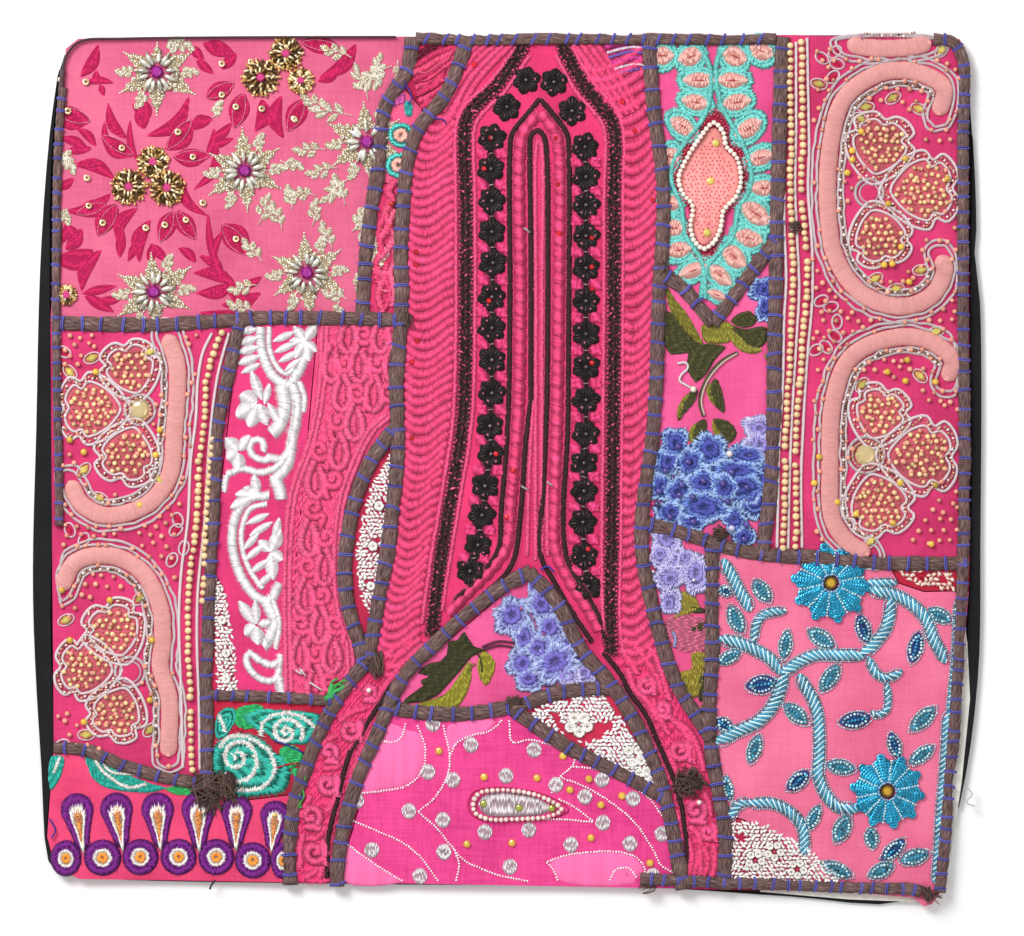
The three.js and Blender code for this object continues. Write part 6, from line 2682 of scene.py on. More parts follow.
@dataclass
class DottedPaisley:
    """The lower middle patch: fuchsia twill with silver dots, running stitches and a beaded paisley.

    Attributes:
        corner: The upper left corner of the detail that its places were measured on.
        scale: How much that detail is enlarged.
        plain: The outlines of the lighter fields.
        running: The routes of the running stitches.
        dots: The silver dots' places in the whole photograph.
        golds: The gold stones' places in the whole photograph.
        paisley: The places round the paisley.
    """

    name: str = "dotted_paisley"
    corner: tuple[float, float] = (335, 710)
    scale: float = 3.0986
    silver: str = "f8f2f3"
    plain: tuple[tuple[float, ...], ...] = (
        (165, 40, 225, 60, 262, 70, 280, 120, 270, 190, 220, 235, 150, 250, 70, 262, 95, 180, 120, 100),
        (30, 412, 100, 460, 160, 500, 210, 530, 30, 532),
        (665, 472, 720, 452, 800, 442, 880, 442, 930, 458, 955, 490, 945, 530, 695, 528),
        (350, 48, 500, 34, 470, 66, 420, 80, 376, 104, 358, 130))
    running: tuple[tuple[float, ...], ...] = (
        (140, 95, 180, 100, 205, 85, 220, 40), (255, 45, 280, 120, 270, 190, 220, 235, 150, 250, 80, 258),
        (335, 45, 355, 140, 350, 200, 310, 270, 258, 315), (520, 30, 480, 65, 420, 80, 375, 105, 358, 140),
        (540, 30, 550, 100, 600, 92, 660, 105, 720, 125), (745, 150, 735, 175, 700, 205, 670, 260),
        (735, 175, 800, 182, 870, 200, 930, 240, 980, 280, 1015, 330),
        (700, 210, 780, 240, 860, 290, 930, 350, 990, 440, 1010, 480, 1050, 505), (690, 275, 740, 300, 800, 345),
        (640, 338, 720, 340, 800, 348), (258, 315, 310, 360, 360, 420, 400, 465, 450, 490, 520, 515, 600, 530),
        (45, 338, 120, 370, 200, 405, 260, 450, 320, 530), (30, 410, 100, 460, 160, 500, 210, 530),
        (370, 430, 385, 480, 375, 530), (655, 470, 720, 450, 800, 440, 880, 440, 930, 455, 960, 490, 950, 530),
        (655, 470, 680, 500, 690, 530), (850, 530, 870, 495, 910, 490, 935, 520))
    dots: tuple[float, ...] = (
        471, 745, 534, 750, 428, 772, 453, 780, 506, 776, 556, 785, 585, 797, 602, 780, 633, 799, 357, 801, 409,
        811, 443, 820, 485, 832, 529, 830, 603, 823, 372, 850, 444, 852, 571, 845, 630, 844, 420, 876, 510, 867,
        653, 876, 433, 724, 662, 834, 444, 852)
    golds: tuple[float, ...] = (439, 751, 563, 756, 484, 777, 537, 778, 589, 779, 570, 790, 622, 796, 601, 805, 591,
                                838, 512, 843, 467, 844, 650, 863)
    paisley: tuple[float, ...] = (
        428, 290, 445, 258, 500, 247, 560, 250, 640, 268, 702, 308, 660, 330, 560, 338, 470, 336, 438, 320)

    def build(self, face: Face, materials: dict[Stuff, bpy.types.Material]) -> None:
        """Stitches and beads the patch.

        Args:
            face: The surface that it is sewn on.
            materials: The finish of each stuff.
        """
        needle = Motifs(face, 45)
        for outline in self.plain:
            needle.dome(placed(outline, self.corner, self.scale), 0.04, "fa70ac", raw=False, stuff=Stuff.COTTON,
                        lift=0.06, pitch=50)
        for row in self.running:
            spots = spaced(smooth(at(placed(row, self.corner, self.scale))), 1.25)
            even = spots[:-1] * 0.9 + spots[1:] * 0.1, spots[1:]
            needle.slivers(even[0], even[1] + needle.chance.normal(0, 0.14, even[1].shape), 1.2,
                           needle.vary("fff4f8", 0.06, len(even[0])), 0.3, Stuff.COTTON, lift=0.3)
        for spot in pairs(self.dots):
            angles = np.arange(0, 6.2, 0.6)
            ring = spot + np.column_stack([np.cos(angles) * 7.4, np.sin(angles) * 8.2])
            needle.dome(ring, 0.12, "d8b2c0", raw=False, step=1.6, stuff=Stuff.COTTON)
            needle.hatch(ring, self.silver, needle.chance.uniform(1.35, 1.75), long=3.4, lift=0.3, gap=0.62, wide=0.55,
                         rise=0.2, stuff=Stuff.COTTON, spread=0.22)
        loop = placed(self.paisley, self.corner, self.scale)
        core = loop.mean(axis=0)
        needle.dome(core + (loop - core) * 0.84, 0.3, "c0a0b0", raw=False)
        needle.hatch(core + (loop - core) * 0.84, "f0e6ea", 1.5, long=6, lift=0.5, stuff=Stuff.COTTON)
        needle.twist(core + (loop - core) * 1.14, 1.4, "d03068", closed=True)
        needle.beads_along(loop, 2.3, 2.4, "f6dcd0", Stuff.PEARL, closed=True, wander=0.06, spread=0.05, lift=0.6)
        spots = placed((460, 290, 570, 303, 672, 305), self.corner, self.scale)
        needle.stamp(needle.stone, spots, 3.6, needle.vary("a8b04a", 0.05, 3), Stuff.STONE, lift=1.3)
        spots = pairs(self.golds)
        needle.stamp(needle.stone, spots, 3.7, needle.vary("f8cc50", 0.08, len(spots)), Stuff.STONE, lift=0.8)
        needle.finish(self.name, f"cloth_{self.name}", materials)


@dataclass
class WhiteScroll:
    """The middle left patch: a white satin vine on pink.

    Attributes:
        corner: The upper left corner of the detail that its places were measured on.
        scale: How much that detail is enlarged.
        bands: For each stem its width and its route.
        petals: For each petal its base, its tip and its width.
    """

    name: str = "white_scroll"
    corner: tuple[float, float] = (205, 320)
    scale: float = 2.892
    white: str = "fbf5f7"
    bands: tuple[tuple[float, ...], ...] = (
        (18, 160, 20, 165, 90, 195, 160, 240, 187, 276, 140, 300, 66),
        (9, 186, 20, 186, 80, 210, 138, 240, 158, 262, 120), (26, 222, 190, 232, 250, 215, 305, 192, 330),
        (20, 254, 186, 268, 250, 252, 350, 240, 420, 196, 470), (10, 272, 178, 288, 220, 284, 268),
        (12, 188, 404, 160, 404, 134, 386, 130, 360, 150, 344, 172, 358, 168, 380),
        (15, 176, 396, 226, 402, 258, 346), (12, 62, 448, 110, 430, 160, 442, 210, 424, 246, 380),
        (10, 62, 450, 55, 498), (22, 200, 455, 216, 490, 222, 520),
        (17, 186, 508, 124, 518, 86, 578, 80, 656, 104, 740, 150, 802, 188, 812, 216, 760),
        (9, 180, 532, 132, 546, 108, 600, 108, 660, 132, 728, 168, 778),
        (22, 176, 812, 202, 870, 186, 926, 168, 944), (9, 198, 812, 216, 880, 204, 950),
        (12, 168, 990, 146, 976, 128, 960, 120, 984, 136, 1018, 170, 1042, 206, 1040, 220, 968),
        (13, 168, 990, 196, 998, 218, 986), (20, 212, 1030, 226, 1094))
    petals: tuple[tuple[float, ...], ...] = (
        (196, 62, 252, 38, 14), (200, 94, 258, 68, 14), (212, 122, 266, 94, 14), (230, 148, 272, 116, 12),
        (290, 60, 318, 18, 22), (290, 60, 262, 24, 20), (290, 62, 250, 60, 18), (290, 62, 264, 104, 22),
        (290, 62, 300, 112, 22), (290, 62, 318, 88, 20), (150, 24, 108, 34, 16), (152, 52, 104, 66, 18),
        (154, 78, 102, 92, 18), (158, 104, 102, 124, 18), (160, 126, 112, 150, 14), (150, 240, 108, 216, 34),
        (150, 242, 96, 274, 34), (152, 244, 130, 302, 32), (156, 242, 176, 296, 26), (165, 232, 138, 158, 20),
        (172, 244, 186, 190, 14), (182, 240, 216, 300, 18), (96, 380, 66, 346, 30), (94, 382, 66, 398, 30),
        (98, 384, 96, 430, 28), (100, 378, 126, 340, 22), (150, 506, 96, 504, 24), (140, 512, 82, 540, 24),
        (152, 504, 144, 454, 20), (160, 508, 118, 486, 20), (112, 664, 152, 620, 14), (116, 694, 164, 656, 14),
        (130, 732, 178, 698, 14), (150, 772, 192, 736, 14), (186, 560, 128, 586, 14), (196, 584, 136, 620, 14),
        (190, 670, 216, 616, 26), (190, 672, 220, 692, 26), (190, 674, 196, 742, 26), (188, 670, 160, 640, 22),
        (200, 640, 214, 580, 16), (146, 880, 104, 820, 22), (150, 880, 146, 820, 18), (146, 884, 118, 906, 26),
        (150, 886, 152, 932, 28), (154, 880, 188, 876, 18), (64, 200, 56, 250, 14), (58, 500, 52, 470, 10))

    def build(self, face: Face, materials: dict[Stuff, bpy.types.Material]) -> None:
        """Stitches the vine.

        Args:
            face: The surface that it is sewn on.
            materials: The finish of each stuff.
        """
        needle = Motifs(face, 46)
        for width, *route in self.bands:
            needle.band(placed(route, self.corner, self.scale), width / self.scale * 1.8 + 1.2,
                        needle.vary(self.white, 0.02)[0], rise=0.12, step=1.2, rough=0.1, slant=0.25,
                        stuff=Stuff.COTTON)
        for x0, y0, x1, y1, width in self.petals:
            base, tip = placed((x0, y0, x1, y1), self.corner, self.scale)
            outline = lens(base, tip + (tip - base) * 0.12, width / self.scale * 1.5 + 0.6)
            needle.dome(outline, 0.15, "f8e8ee", raw=False, step=1.6, stuff=Stuff.COTTON)
            spine = at(np.linspace(base, tip + (tip - base) * 0.14, 7))
            half = (width / self.scale * 1.65 + 0.8) * PIXEL / 2 * np.array([0.2, 0.62, 0.9, 1.0, 0.94, 0.72, 0.3])
            needle.satin(spine, half, self.white, gap=0.64, wide=0.64, rise=0.2, rough=0.06, slant=0.3, lift=0.3,
                         spread=0.12, stuff=Stuff.COTTON)
        needle.finish(self.name, f"cloth_{self.name}", materials)


@dataclass
class Braided:
    """The patch beside it: flat braid in the cloth's own pink, couched in crowded curls and long drops.

    Attributes:
        rows: The height of each row of curls.
        columns: How far across each column starts and ends, from the top of the patch to its foot.
        seams: Routes of the ridged seams at its edges.
    """

    name: str = "braided"
    pink: str = "ff5a8c"
    light: str = "ff6494"
    rows: tuple[float, float, float] = (332, 700, 29)
    columns: tuple[float, ...] = (332, 296, 348, 312, 364, 328, 380, 344, 396, 360)
    seams: tuple[tuple[float, ...], ...] = (
        (322, 326, 319, 389, 309, 441, 291, 493, 285, 562, 286, 692),
        (327, 326, 324, 389, 314, 442, 296, 494, 290, 562, 291, 692),
        (391, 417, 374, 431, 357, 465, 345, 500, 340, 541, 341, 597, 352, 648, 354, 690),
        (386, 415, 369, 430, 352, 464, 340, 499, 335, 541, 336, 597, 347, 648, 349, 690))

    def build(self, face: Face, materials: dict[Stuff, bpy.types.Material]) -> None:
        """Couches the braid.

        Args:
            face: The surface that it is sewn on.
            materials: The finish of each stuff.
        """
        needle = Motifs(face, 47)
        edge = np.vstack([pairs(self.seams[0]), pairs(self.seams[3])[::-1], pairs((400, 380, 400, 326))])
        needle.hatch(edge, self.pink, 1.35, long=4.5, gap=0.82, wide=0.95, rise=0.12, lift=0.04, stuff=Stuff.COTTON,
                     spread=0.08)
        left, right = (np.array(pairs(self.seams[k])) for k in (1, 3))
        for row, y in enumerate(np.arange(*self.rows)):
            for column, (top, foot) in enumerate(pairs(self.columns)):
                x = top + (foot - top) * (y - 330) / 365 + needle.chance.normal(0, 1)
                low = np.interp(y + 12, left[:, 1], left[:, 0]) + 7
                high = np.interp(y + 22, right[:, 1], right[:, 0]) - 6 if y + 22 > 420 else 397
                if low <= x <= high and (row + column) % 2 == 0:
                    self.curl(needle, np.array([x, y + 2]), 1 if column % 2 else -1)
                elif low <= x <= high:
                    self.drop(needle, np.array([x, y - 4]), 1 if column % 2 else -1)
        for row in self.seams:
            needle.band(pairs(row), 6.4, self.light, rise=0.45, stuff=Stuff.COTTON)
        needle.finish(self.name, f"cloth_{self.name}", materials)

    def curl(self, needle: Motifs, spot: Points, hand: int) -> None:
        """Couches one curl with its tail.

        Args:
            needle: What it is sewn with.
            spot: The middle of the curl, in pixels.
            hand: 1 or -1, the side that it opens to.
        """
        needle.coil(spot, 10.5, 9.4, needle.vary(self.pink, 0.03)[0], hand, math.pi / 2 * (1 + hand) + 0.5,
                    tail=(spot + (-9 * hand, 12), spot + (-6 * hand, 20)), lift=0.3, rise=0.45)

    def drop(self, needle: Motifs, spot: Points, hand: int) -> None:
        """Couches one long drop-shaped loop.

        Args:
            needle: What it is sewn with.
            spot: The top of the loop, in pixels.
            hand: 1 or -1, the side that its foot swings to.
        """
        outer = spot + pairs((2, -12, 8, 2, 9, 16, 2, 25, -6, 20, -7, 8, -2, -6)) * (hand, 1)
        needle.band(spot + pairs((1, 2, 2, 10, 1, 17)) * (hand, 1), 8, self.pink, rise=0.3, stuff=Stuff.COTTON)
        needle.band(outer, 9.0, needle.vary(self.light, 0.03)[0], rise=0.45, lift=0.3, stuff=Stuff.COTTON, slant=0.35)
AS_RAYS = 360

# The colours of each kind of bloom: its ground, a darker colour painted as the shade between its stitches, then for
# each layer its outer and inner reach and its thread.
KINDS: dict[str, tuple[str, tuple[tuple[float, float, str], ...]]] = {
    "blue": ("44509a", ((1.07, 0.68, "a0bce8"), (0.8, 0.5, "6c84d0"), (0.6, 0.1, "4e54a8"))),
    "violet": ("8c84c0", ((1.08, 0.6, "c8c4ec"), (0.86, 0.46, "b4ace0"), (0.6, 0.12, "9a8cd0"))),
    "iris": ("6c62ac", ((1.08, 0.6, "b0bce6"), (0.84, 0.46, "9498d6"), (0.62, 0.12, "7a6ec4"))),
    "white": ("a89c94", ((1.02, 0.3, "f4efe8"), (0.6, 0.1, "e8e0d8"))),
    "purple": ("541060", ((1.0, 0.5, "7c2488"), (0.72, 0.3, "701c7c"))),
    "ring": ("e0d0c0", ((1.04, 0.6, "f4eee6"), (0.62, 0.1, "f89c40"))),
    "peach": ("1e807a", ((1.02, 0.6, "5cd4ca"), (0.62, 0.1, "ffb4a4"))),
}


@dataclass
class Sewn:
    """A patch described by lists of shapes that were measured on an enlarged detail of the photograph.

    Attributes:
        name: The patch's name.
        corner: The detail's upper left corner, in the photograph's pixels.
        scale: How much the detail is enlarged.
        fills: Satin shapes: a colour, their threads' angle in degrees, then the places round their edge. An angle of
            AS_RAYS or more stands for stitches that run in towards the middle.
        bands: Satin bands: a colour, a width, then the places along them.
        threads: Twisted threads: a colour, a width, then the places along them.
        drops: Drops: the middle and half width of the head and the tip, all in one kind's rings.
        blooms: Ruffled flowers: a kind, across, down, half width, half height, lobes and level.
        lace: Outlines to fill with loops of lace thread.
        gaps: Outlines in the lace that are left open.
        beads: Beads: across, down, size in millimetres and colour.
        loop: The lace loops' gap, length, width and colour.
        rough: How uneven the edges of its bands are.
        seed: The seed of its small unevennesses.
    """

    name: str
    corner: tuple[float, float]
    scale: float
    fills: tuple[tuple, ...] = ()
    bands: tuple[tuple, ...] = ()
    threads: tuple[tuple, ...] = ()
    drops: tuple[tuple[float, ...], ...] = ()
    blooms: tuple[tuple, ...] = ()
    lace: tuple[tuple[float, ...], ...] = ()
    gaps: tuple[tuple[float, ...], ...] = ()
    beads: tuple[tuple, ...] = ()
    loop: tuple[float, float, float, str] = (4.4, 3.0, 1.25, "ffffff")
    rough: float = 0.2
    seed: int = 50

    def build(self, face: Face, materials: dict[Stuff, bpy.types.Material]) -> None:
        """Stitches and beads the patch, the lowest shapes first.

        Args:
            face: The surface that it is sewn on.
            materials: The finish of each stuff.
        """
        needle = Motifs(face, self.seed)
        for level, (tint, angle, *places) in enumerate(self.fills):
            lift = 0.1 + 0.03 * (level % 6)
            if angle >= AS_RAYS:
                # Painted shade: the dark teal ground shows between the rays as their shade.
                needle.rays(self.place(places), ((1.06, 0.66, tint), (0.72, 0.3, tint), (0.36, 0.0, tint)), "146a5e",
                            gap=0.8, wide=0.8, rough=0.035, lift=lift, height=0.3)
                continue
            # Painted shade: the fill under the stitches is darkened, so that it shows between them as shade.
            needle.dome(self.place(places), 0.25, needle.vary(tint, 0)[0] * 0.8, math.radians(-angle), raw=False,
                        lift=lift, step=1.6)
            needle.hatch(self.place(places), tint, math.radians(-angle), lift=lift + 0.2, rough=0.6)
        for tint, width, *places in self.bands:
            needle.band(self.place(places), width / self.scale, tint, rise=0.4, lift=0.5, rough=self.rough, slant=0.3)
        for tint, width, *places in self.threads:
            needle.twist(self.place(places), width / self.scale, tint, lift=0.6)
        for kind, x, y, wide, tall, lobes, level in self.blooms:
            self.bloom(needle, kind, self.place((x, y))[0], (wide / self.scale, tall / self.scale), lobes, level)
        for x, y, half, tip_x, tip_y in self.drops:
            self.drop(needle, self.place((x, y))[0], half / self.scale, self.place((tip_x, tip_y))[0])
        for outline in self.lace:
            self.fill_lace(needle, self.place(outline))
        for x, y, size, tint in self.beads:
            needle.stamp(needle.bead, self.place((x, y)), size, needle.vary(tint, 0.06), Stuff.GLASS, lift=2.0)
        needle.finish(self.name, f"cloth_{self.name}", materials)

    def place(self, flat: Sequence[float]) -> Points:
        """Returns the photograph's pixels of places measured on the detail."""
        return placed(flat, self.corner, self.scale)

    def bloom(self, needle: Motifs, kind: str, spot: Points, size: tuple[float, float], lobes: int,
              level: float) -> None:
        """Stitches one flower whose lobed edge ruffles up.

        Args:
            needle: What it is sewn with.
            kind: Its colours.
            spot: Its middle in the photograph's pixels.
            size: Half its width and half its height, in pixels.
            lobes: How many lobes its edge has.
            level: How much higher than the face it starts, in millimetres.
        """
        angles = np.linspace(0, 2 * math.pi, max(12, lobes * 6), endpoint=False)
        start = needle.chance.uniform(0, math.pi)
        ruffled = kind in ("blue", "violet", "iris")
        reach = np.ones(len(angles)) * (1.06 if ruffled else 1.0)
        if lobes > 1:
            deep = 0.34 if ruffled else 0.16
            reach += deep * (np.abs(np.sin(lobes * (angles + start) / 2)) ** 0.6 - 0.8)
            reach += (0.1 if ruffled else 0.0) * np.sin(2 * angles + start * 3)
        ring = np.column_stack([size[0] * reach * np.cos(angles), size[1] * reach * np.sin(angles)])
        # Painted shade: the kind's ground shows between the stitches as their shade.
        base, layers = KINDS[kind]
        if not ruffled:
            needle.rays(spot + ring, layers, base, lift=0.1 + level)
            return
        needle.dome(spot + ring * 1.1, 0.05, layers[1][2], raw=False, lift=0.08, step=2.0)
        core = needle.chance.normal(0, 0.12, 2) * size
        for outer, inner, tint in layers:
            needle.rays(spot + core * (1 - outer) * 2.5 + ring * outer * (reach ** (outer - 1.06))[:, None],
                        ((1.0, inner / outer, tint),), base, lift=0.1 + level + (1.06 - outer) * 0.5, height=0.35,
                        rough=0.09)

    def drop(self, needle: Motifs, head: Points, half: float, tip: Points) -> None:
        """Stitches one purple drop with a white and an orange drop inside it.

        Args:
            needle: What it is sewn with.
            head: The middle of its head, in pixels.
            half: The head's half width.
            tip: Its pointed end.
        """
        base, layers = KINDS["purple"]
        # Painted shade: the purple kind's ground shows between the stitches as their shade.
        needle.rays(self.teardrop(head, half, tip, 0.45), layers, base)
        along = tip - head
        # Painted shade: the white drop's ground is a darker white that shows between its stitches as shade.
        needle.rays(self.teardrop(head + along * 0.06, half * 0.46, tip + along * 0.06, 0.2), ((1.05, 0.5, "f4eee6"),),
                    "e8d8c8", lift=0.45, rough=0.06)
        inner = self.teardrop(head + along * 0.06, half * 0.27, head + along * 0.86, 0.2)
        needle.hatch(inner, "f4a048", math.atan2(-along[1], along[0]) + 1.2, lift=1.0, long=3, rise=0.3, spread=0.2)
        specks = needle.scatter(inner, 3.4)
        needle.slivers(at(specks - (1, 0)), at(specks + (1, 0.5)), 0.6, needle.vary("d85860", 0.2, len(specks)), 0.25,
                       lift=1.2)

    @staticmethod
    def teardrop(head: Points, half: float, tip: Points, blunt: float) -> Points:
        """Returns a drop's outline.

        Args:
            head: The middle of its head.
            half: The head's half width.
            tip: Its far end.
            blunt: How wide it still is near its tip, as a share of its half width.

        Returns:
            The places round it.
        """
        along = tip - head
        side = np.array([-along[1], along[0]]) / np.linalg.norm(along)
        reach = np.linalg.norm(along)
        way = along / reach
        profile = ((reach, 0), (reach * 0.9, blunt * 0.8), (reach * 0.6, 0.3 + blunt * 0.6), (reach * 0.3, 0.8), (0, 1),
                   (-half * 0.72, 0.7), (-half, 0))
        right = [head + way * a + side * half * b for a, b in profile]
        left = [head + way * a - side * half * b for a, b in profile[-2:0:-1]]
        return np.array(right + left)

    def fill_lace(self, needle: Motifs, outline: Points) -> None:
        """Fills an outline with small crowded loops of lace thread, in two layers.

        Args:
            needle: What it is sewn with.
            outline: The places round its edge, in pixels.
        """
        gap, long, wide, tint = self.loop
        for layer in range(2):
            spots = needle.scatter(outline, gap)
            for hole in self.gaps:
                spots = spots[~inside(spots, self.place(hole))]
            drift = np.sin(spots[:, 0] * 0.11 + spots[:, 1] * 0.07 + layer)
            angle = 0.9 * drift + needle.chance.normal(0, 0.5, len(spots))
            way = np.column_stack([np.cos(angle), np.sin(angle)]) * long / PIXEL / 2
            needle.slivers(at(spots - way), at(spots + way), wide, needle.vary(tint, 0.1, len(spots)), 0.5,
                           lift=0.15 + 0.25 * layer)


BLUE_BLOSSOM = Sewn(
    "blue_blossom", (655, 280), 3.929, seed=51,
    fills=(
        ("8c8432", 60, 42, 20, 75, 70, 125, 130, 160, 190, 190, 255, 165, 245, 110, 190, 60, 120),
        ("52512e", 20, 35, 120, 75, 135, 120, 195, 172, 245, 230, 252, 278, 262, 240, 310, 200, 372, 162, 402, 145,
         385, 122, 340, 142, 290, 60, 290, 34, 240),
        ("9a9238", 85, 182, 180, 228, 164, 300, 172, 296, 240, 240, 250, 198, 244),
        ("52512e", 25, 296, 178, 350, 192, 432, 184, 446, 215, 420, 262, 380, 262, 330, 222),
        ("52512e", 10, 298, 162, 332, 130, 372, 124, 402, 152, 380, 182, 330, 184),
        ("a09840", 60, 286, 188, 320, 210, 370, 255, 420, 272, 400, 288, 340, 280, 300, 240),
        ("8c8432", 70, 428, 290, 450, 300, 460, 345, 440, 320),
        ("52512e", 60, 236, 384, 262, 430, 272, 522, 240, 500, 212, 440),
        ("8c8a3a", 60, 216, 400, 224, 450, 238, 496, 208, 460, 202, 425),
        ("52512e", 120, 165, 424, 160, 470, 120, 520, 90, 556, 104, 490, 130, 446),
        ("9a9238", 120, 140, 440, 120, 480, 92, 548, 86, 520, 108, 466),
        ("52512e", 110, 196, 546, 206, 580, 176, 630, 156, 662, 150, 600, 170, 556),
        ("9a9238", 110, 170, 560, 160, 600, 152, 655, 132, 616, 146, 572),
        ("52512e", 40, 228, 546, 290, 556, 322, 604, 296, 640, 258, 600),
        ("9a9238", 40, 226, 556, 250, 590, 292, 646, 256, 630, 228, 596)),
    bands=(("55563a", 15, 325, 286, 272, 312, 225, 358, 190, 420, 176, 480, 192, 535),),
    threads=(
        ("f6d8d0", 9, 325, 288, 274, 318, 228, 364, 195, 420, 182, 480, 194, 532),
        ("ffffff", 10, 88, 328, 122, 325, 130, 345, 102, 374, 96, 396, 124, 414, 150, 430)),
    blooms=(
        ("blue", 425, 40, 52, 52, 5, 0.0), ("blue", 434, 112, 34, 55, 4, 0.1), ("violet", 412, 580, 66, 44, 5, 0.0),
        ("violet", 408, 652, 58, 62, 5, 0.15), ("blue", 355, 690, 72, 46, 5, 0.3),
        ("blue", 48, 715, 52, 60, 4, 0.0), ("blue", 78, 640, 58, 54, 4, 0.15), ("blue", 215, 668, 64, 72, 5, 0.2),
        ("blue", 415, 780, 46, 66, 4, 0.1), ("blue", 135, 716, 56, 52, 5, 0.4), ("blue", 308, 748, 98, 44, 6, 0.45),
        ("blue", 22, 812, 44, 52, 4, 0.1), ("blue", 395, 880, 56, 62, 5, 0.15), ("blue", 345, 822, 88, 62, 6, 0.4),
        ("blue", 96, 826, 60, 52, 5, 0.3), ("blue", 60, 910, 60, 48, 5, 0.15), ("blue", 190, 795, 66, 52, 5, 0.55),
        ("blue", 150, 945, 62, 40, 5, 0.25), ("blue", 190, 888, 104, 62, 6, 0.5),
        ("blue", 310, 942, 46, 54, 4, 0.35), ("blue", 350, 1010, 40, 50, 4, 0.3),
        ("blue", 272, 812, 54, 50, 5, 0.7)),
    beads=tuple((x, y, 3.2, tint) for x, y, tint in ((90, 655, "4a3c8c"), (130, 715, "4a3c8c"), (40, 750,
        "54489c"), (190, 790, "4a3c8c"), (105, 805, "54489c"), (95, 845, "4a3c8c"), (147, 853, "4a3c8c"), (265,
        800, "4a3c8c"), (300, 755, "54489c"), (285, 870, "4a3c8c"), (360, 815, "4a3c8c"), (360, 960, "54489c"),
        (350, 1018, "4a3c8c"), (150, 950, "4a3c8c"), (58, 930, "4a3c8c"), (15, 830, "54489c"), (8, 880, "3a3060"),
        (292, 683, "f0e0d8"), (300, 975, "c8c0e8"), (150, 430, "e8dcc8"))))

VIOLET_BLOSSOM = Sewn(
    "violet_blossom", (640, 500), 3.67, seed=52,
    fills=(
        ("dc7090", 5, 100, 430, 238, 440, 240, 552, 130, 546, 90, 470),
        ("a8983c", 100, 152, 335, 192, 345, 218, 392, 182, 418, 126, 430, 142, 390),
        ("4c4c30", 20, 176, 392, 234, 398, 238, 412, 190, 412),
        ("4c4c30", 10, 180, 474, 236, 446, 238, 474, 206, 482),
        ("a8983c", 80, 190, 560, 236, 560, 236, 640, 212, 720, 182, 726, 150, 690, 148, 632, 188, 620),
        ("4c4c30", 70, 240, 600, 244, 700, 222, 744, 212, 700, 222, 640),
        ("8a6a40", 70, 226, 750, 244, 756, 240, 806, 220, 790)),
    bands=(("9aaee0", 12, 118, 482, 130, 505, 124, 540),),
    blooms=(
        ("violet", 95, 148, 54, 58, 5, 0.1), ("violet", 74, 205, 44, 40, 5, 0.3),
        ("violet", 140, 235, 58, 56, 5, 0.2), ("violet", 202, 272, 56, 66, 6, 0.35),
        ("violet", 106, 282, 58, 46, 5, 0.5), ("violet", 112, 372, 42, 44, 4, 0.3),
        ("violet", 165, 215, 30, 34, 4, 0.5)), beads=((196, 293, 1.6, "f4e8f0"), (48, 262, 1.4, "e8e0f0")))

ARCH_BLOSSOM = Sewn(
    "arch_blossom", (395, 560), 3.86, seed=53,
    fills=(
        ("46452a", 35, 265, 278, 305, 330, 340, 342, 376, 334, 300, 372, 260, 420, 215, 470, 165, 522, 108, 548, 28,
         552, 62, 520, 126, 502, 96, 468, 132, 452, 90, 434, 130, 400, 206, 384, 226, 345, 204, 316, 240, 308),
        ("a8a036", 70, 288, 392, 296, 440, 280, 510, 240, 568, 180, 584, 110, 580, 60, 566, 130, 552, 200, 510, 252,
         440), ("a8a036", 75, 344, 350, 384, 392, 380, 440, 350, 486, 326, 450, 318, 396)),
    bands=(("46452a", 8, 300, 340, 330, 380, 335, 430), ("7e8a3a", 6, 285, 440, 290, 415, 310, 400)),
    threads=(("6e3850", 9, 336, 336, 398, 314, 462, 320), ("6e3850", 9, 340, 348, 400, 330, 458, 338)),
    blooms=(
        ("iris", 532, 92, 18, 44, 2, 0.0), ("iris", 452, 218, 70, 66, 6, 0.1), ("iris", 566, 176, 58, 60, 5, 0.15),
        ("iris", 600, 270, 58, 60, 5, 0.4), ("iris", 500, 292, 46, 66, 4, 0.0), ("iris", 488, 396, 52, 60, 5, 0.1),
        ("iris", 524, 462, 62, 42, 6, 0.3), ("iris", 655, 330, 52, 46, 5, 0.3),
        ("violet", 732, 440, 52, 46, 5, 0.1), ("iris", 560, 340, 58, 52, 5, 0.55),
        ("iris", 622, 396, 90, 76, 7, 0.6), ("violet", 664, 442, 50, 44, 5, 0.5)),
    beads=((574, 286, 1.5, "b03070"), (486, 186, 1.4, "d03a60")))

PURPLE_BORDER = Sewn(
    "purple_border", (45, 700), 3.667, seed=54, rough=0.4,
    fills=(
        ("30b8a6", 60, 148, 205, 200, 206, 240, 242, 300, 272, 400, 310, 442, 322, 400, 338, 300, 336, 220, 320,
         178, 290, 158, 250), ("30b8a6", 80, 22, 210, 66, 206, 58, 280, 22, 330),
        ("3cc068", 0, 440, 326, 500, 314, 556, 324, 540, 344, 480, 346)),
    bands=(
        ("f0ece4", 15, 182, 214, 204, 252, 250, 292, 310, 322, 372, 306),
        ("f0ece4", 12, 196, 206, 240, 262, 330, 272), ("f0ece4", 13, 56, 206, 44, 235, 32, 268)),
    drops=(
        (118, 400, 62, 142, 556), (262, 398, 62, 286, 548), (413, 398, 62, 424, 548), (562, 398, 64, 565, 552),
        (703, 404, 60, 700, 550), (845, 424, 58, 830, 552)),
    blooms=tuple((kind, x, y, wide * share, 68 * share, 1, level) for x, y, wide in ((78, 580, 58), (212, 578, 70),
        (350, 576, 68), (490, 576, 68), (628, 576, 68), (762, 588, 68), (872, 590, 46)) for kind, share,
        level in (("purple", 1.0, 0.1), ("ring", 0.52, 0.45))), beads=((842, 420, 1.9, "f0d860"),))

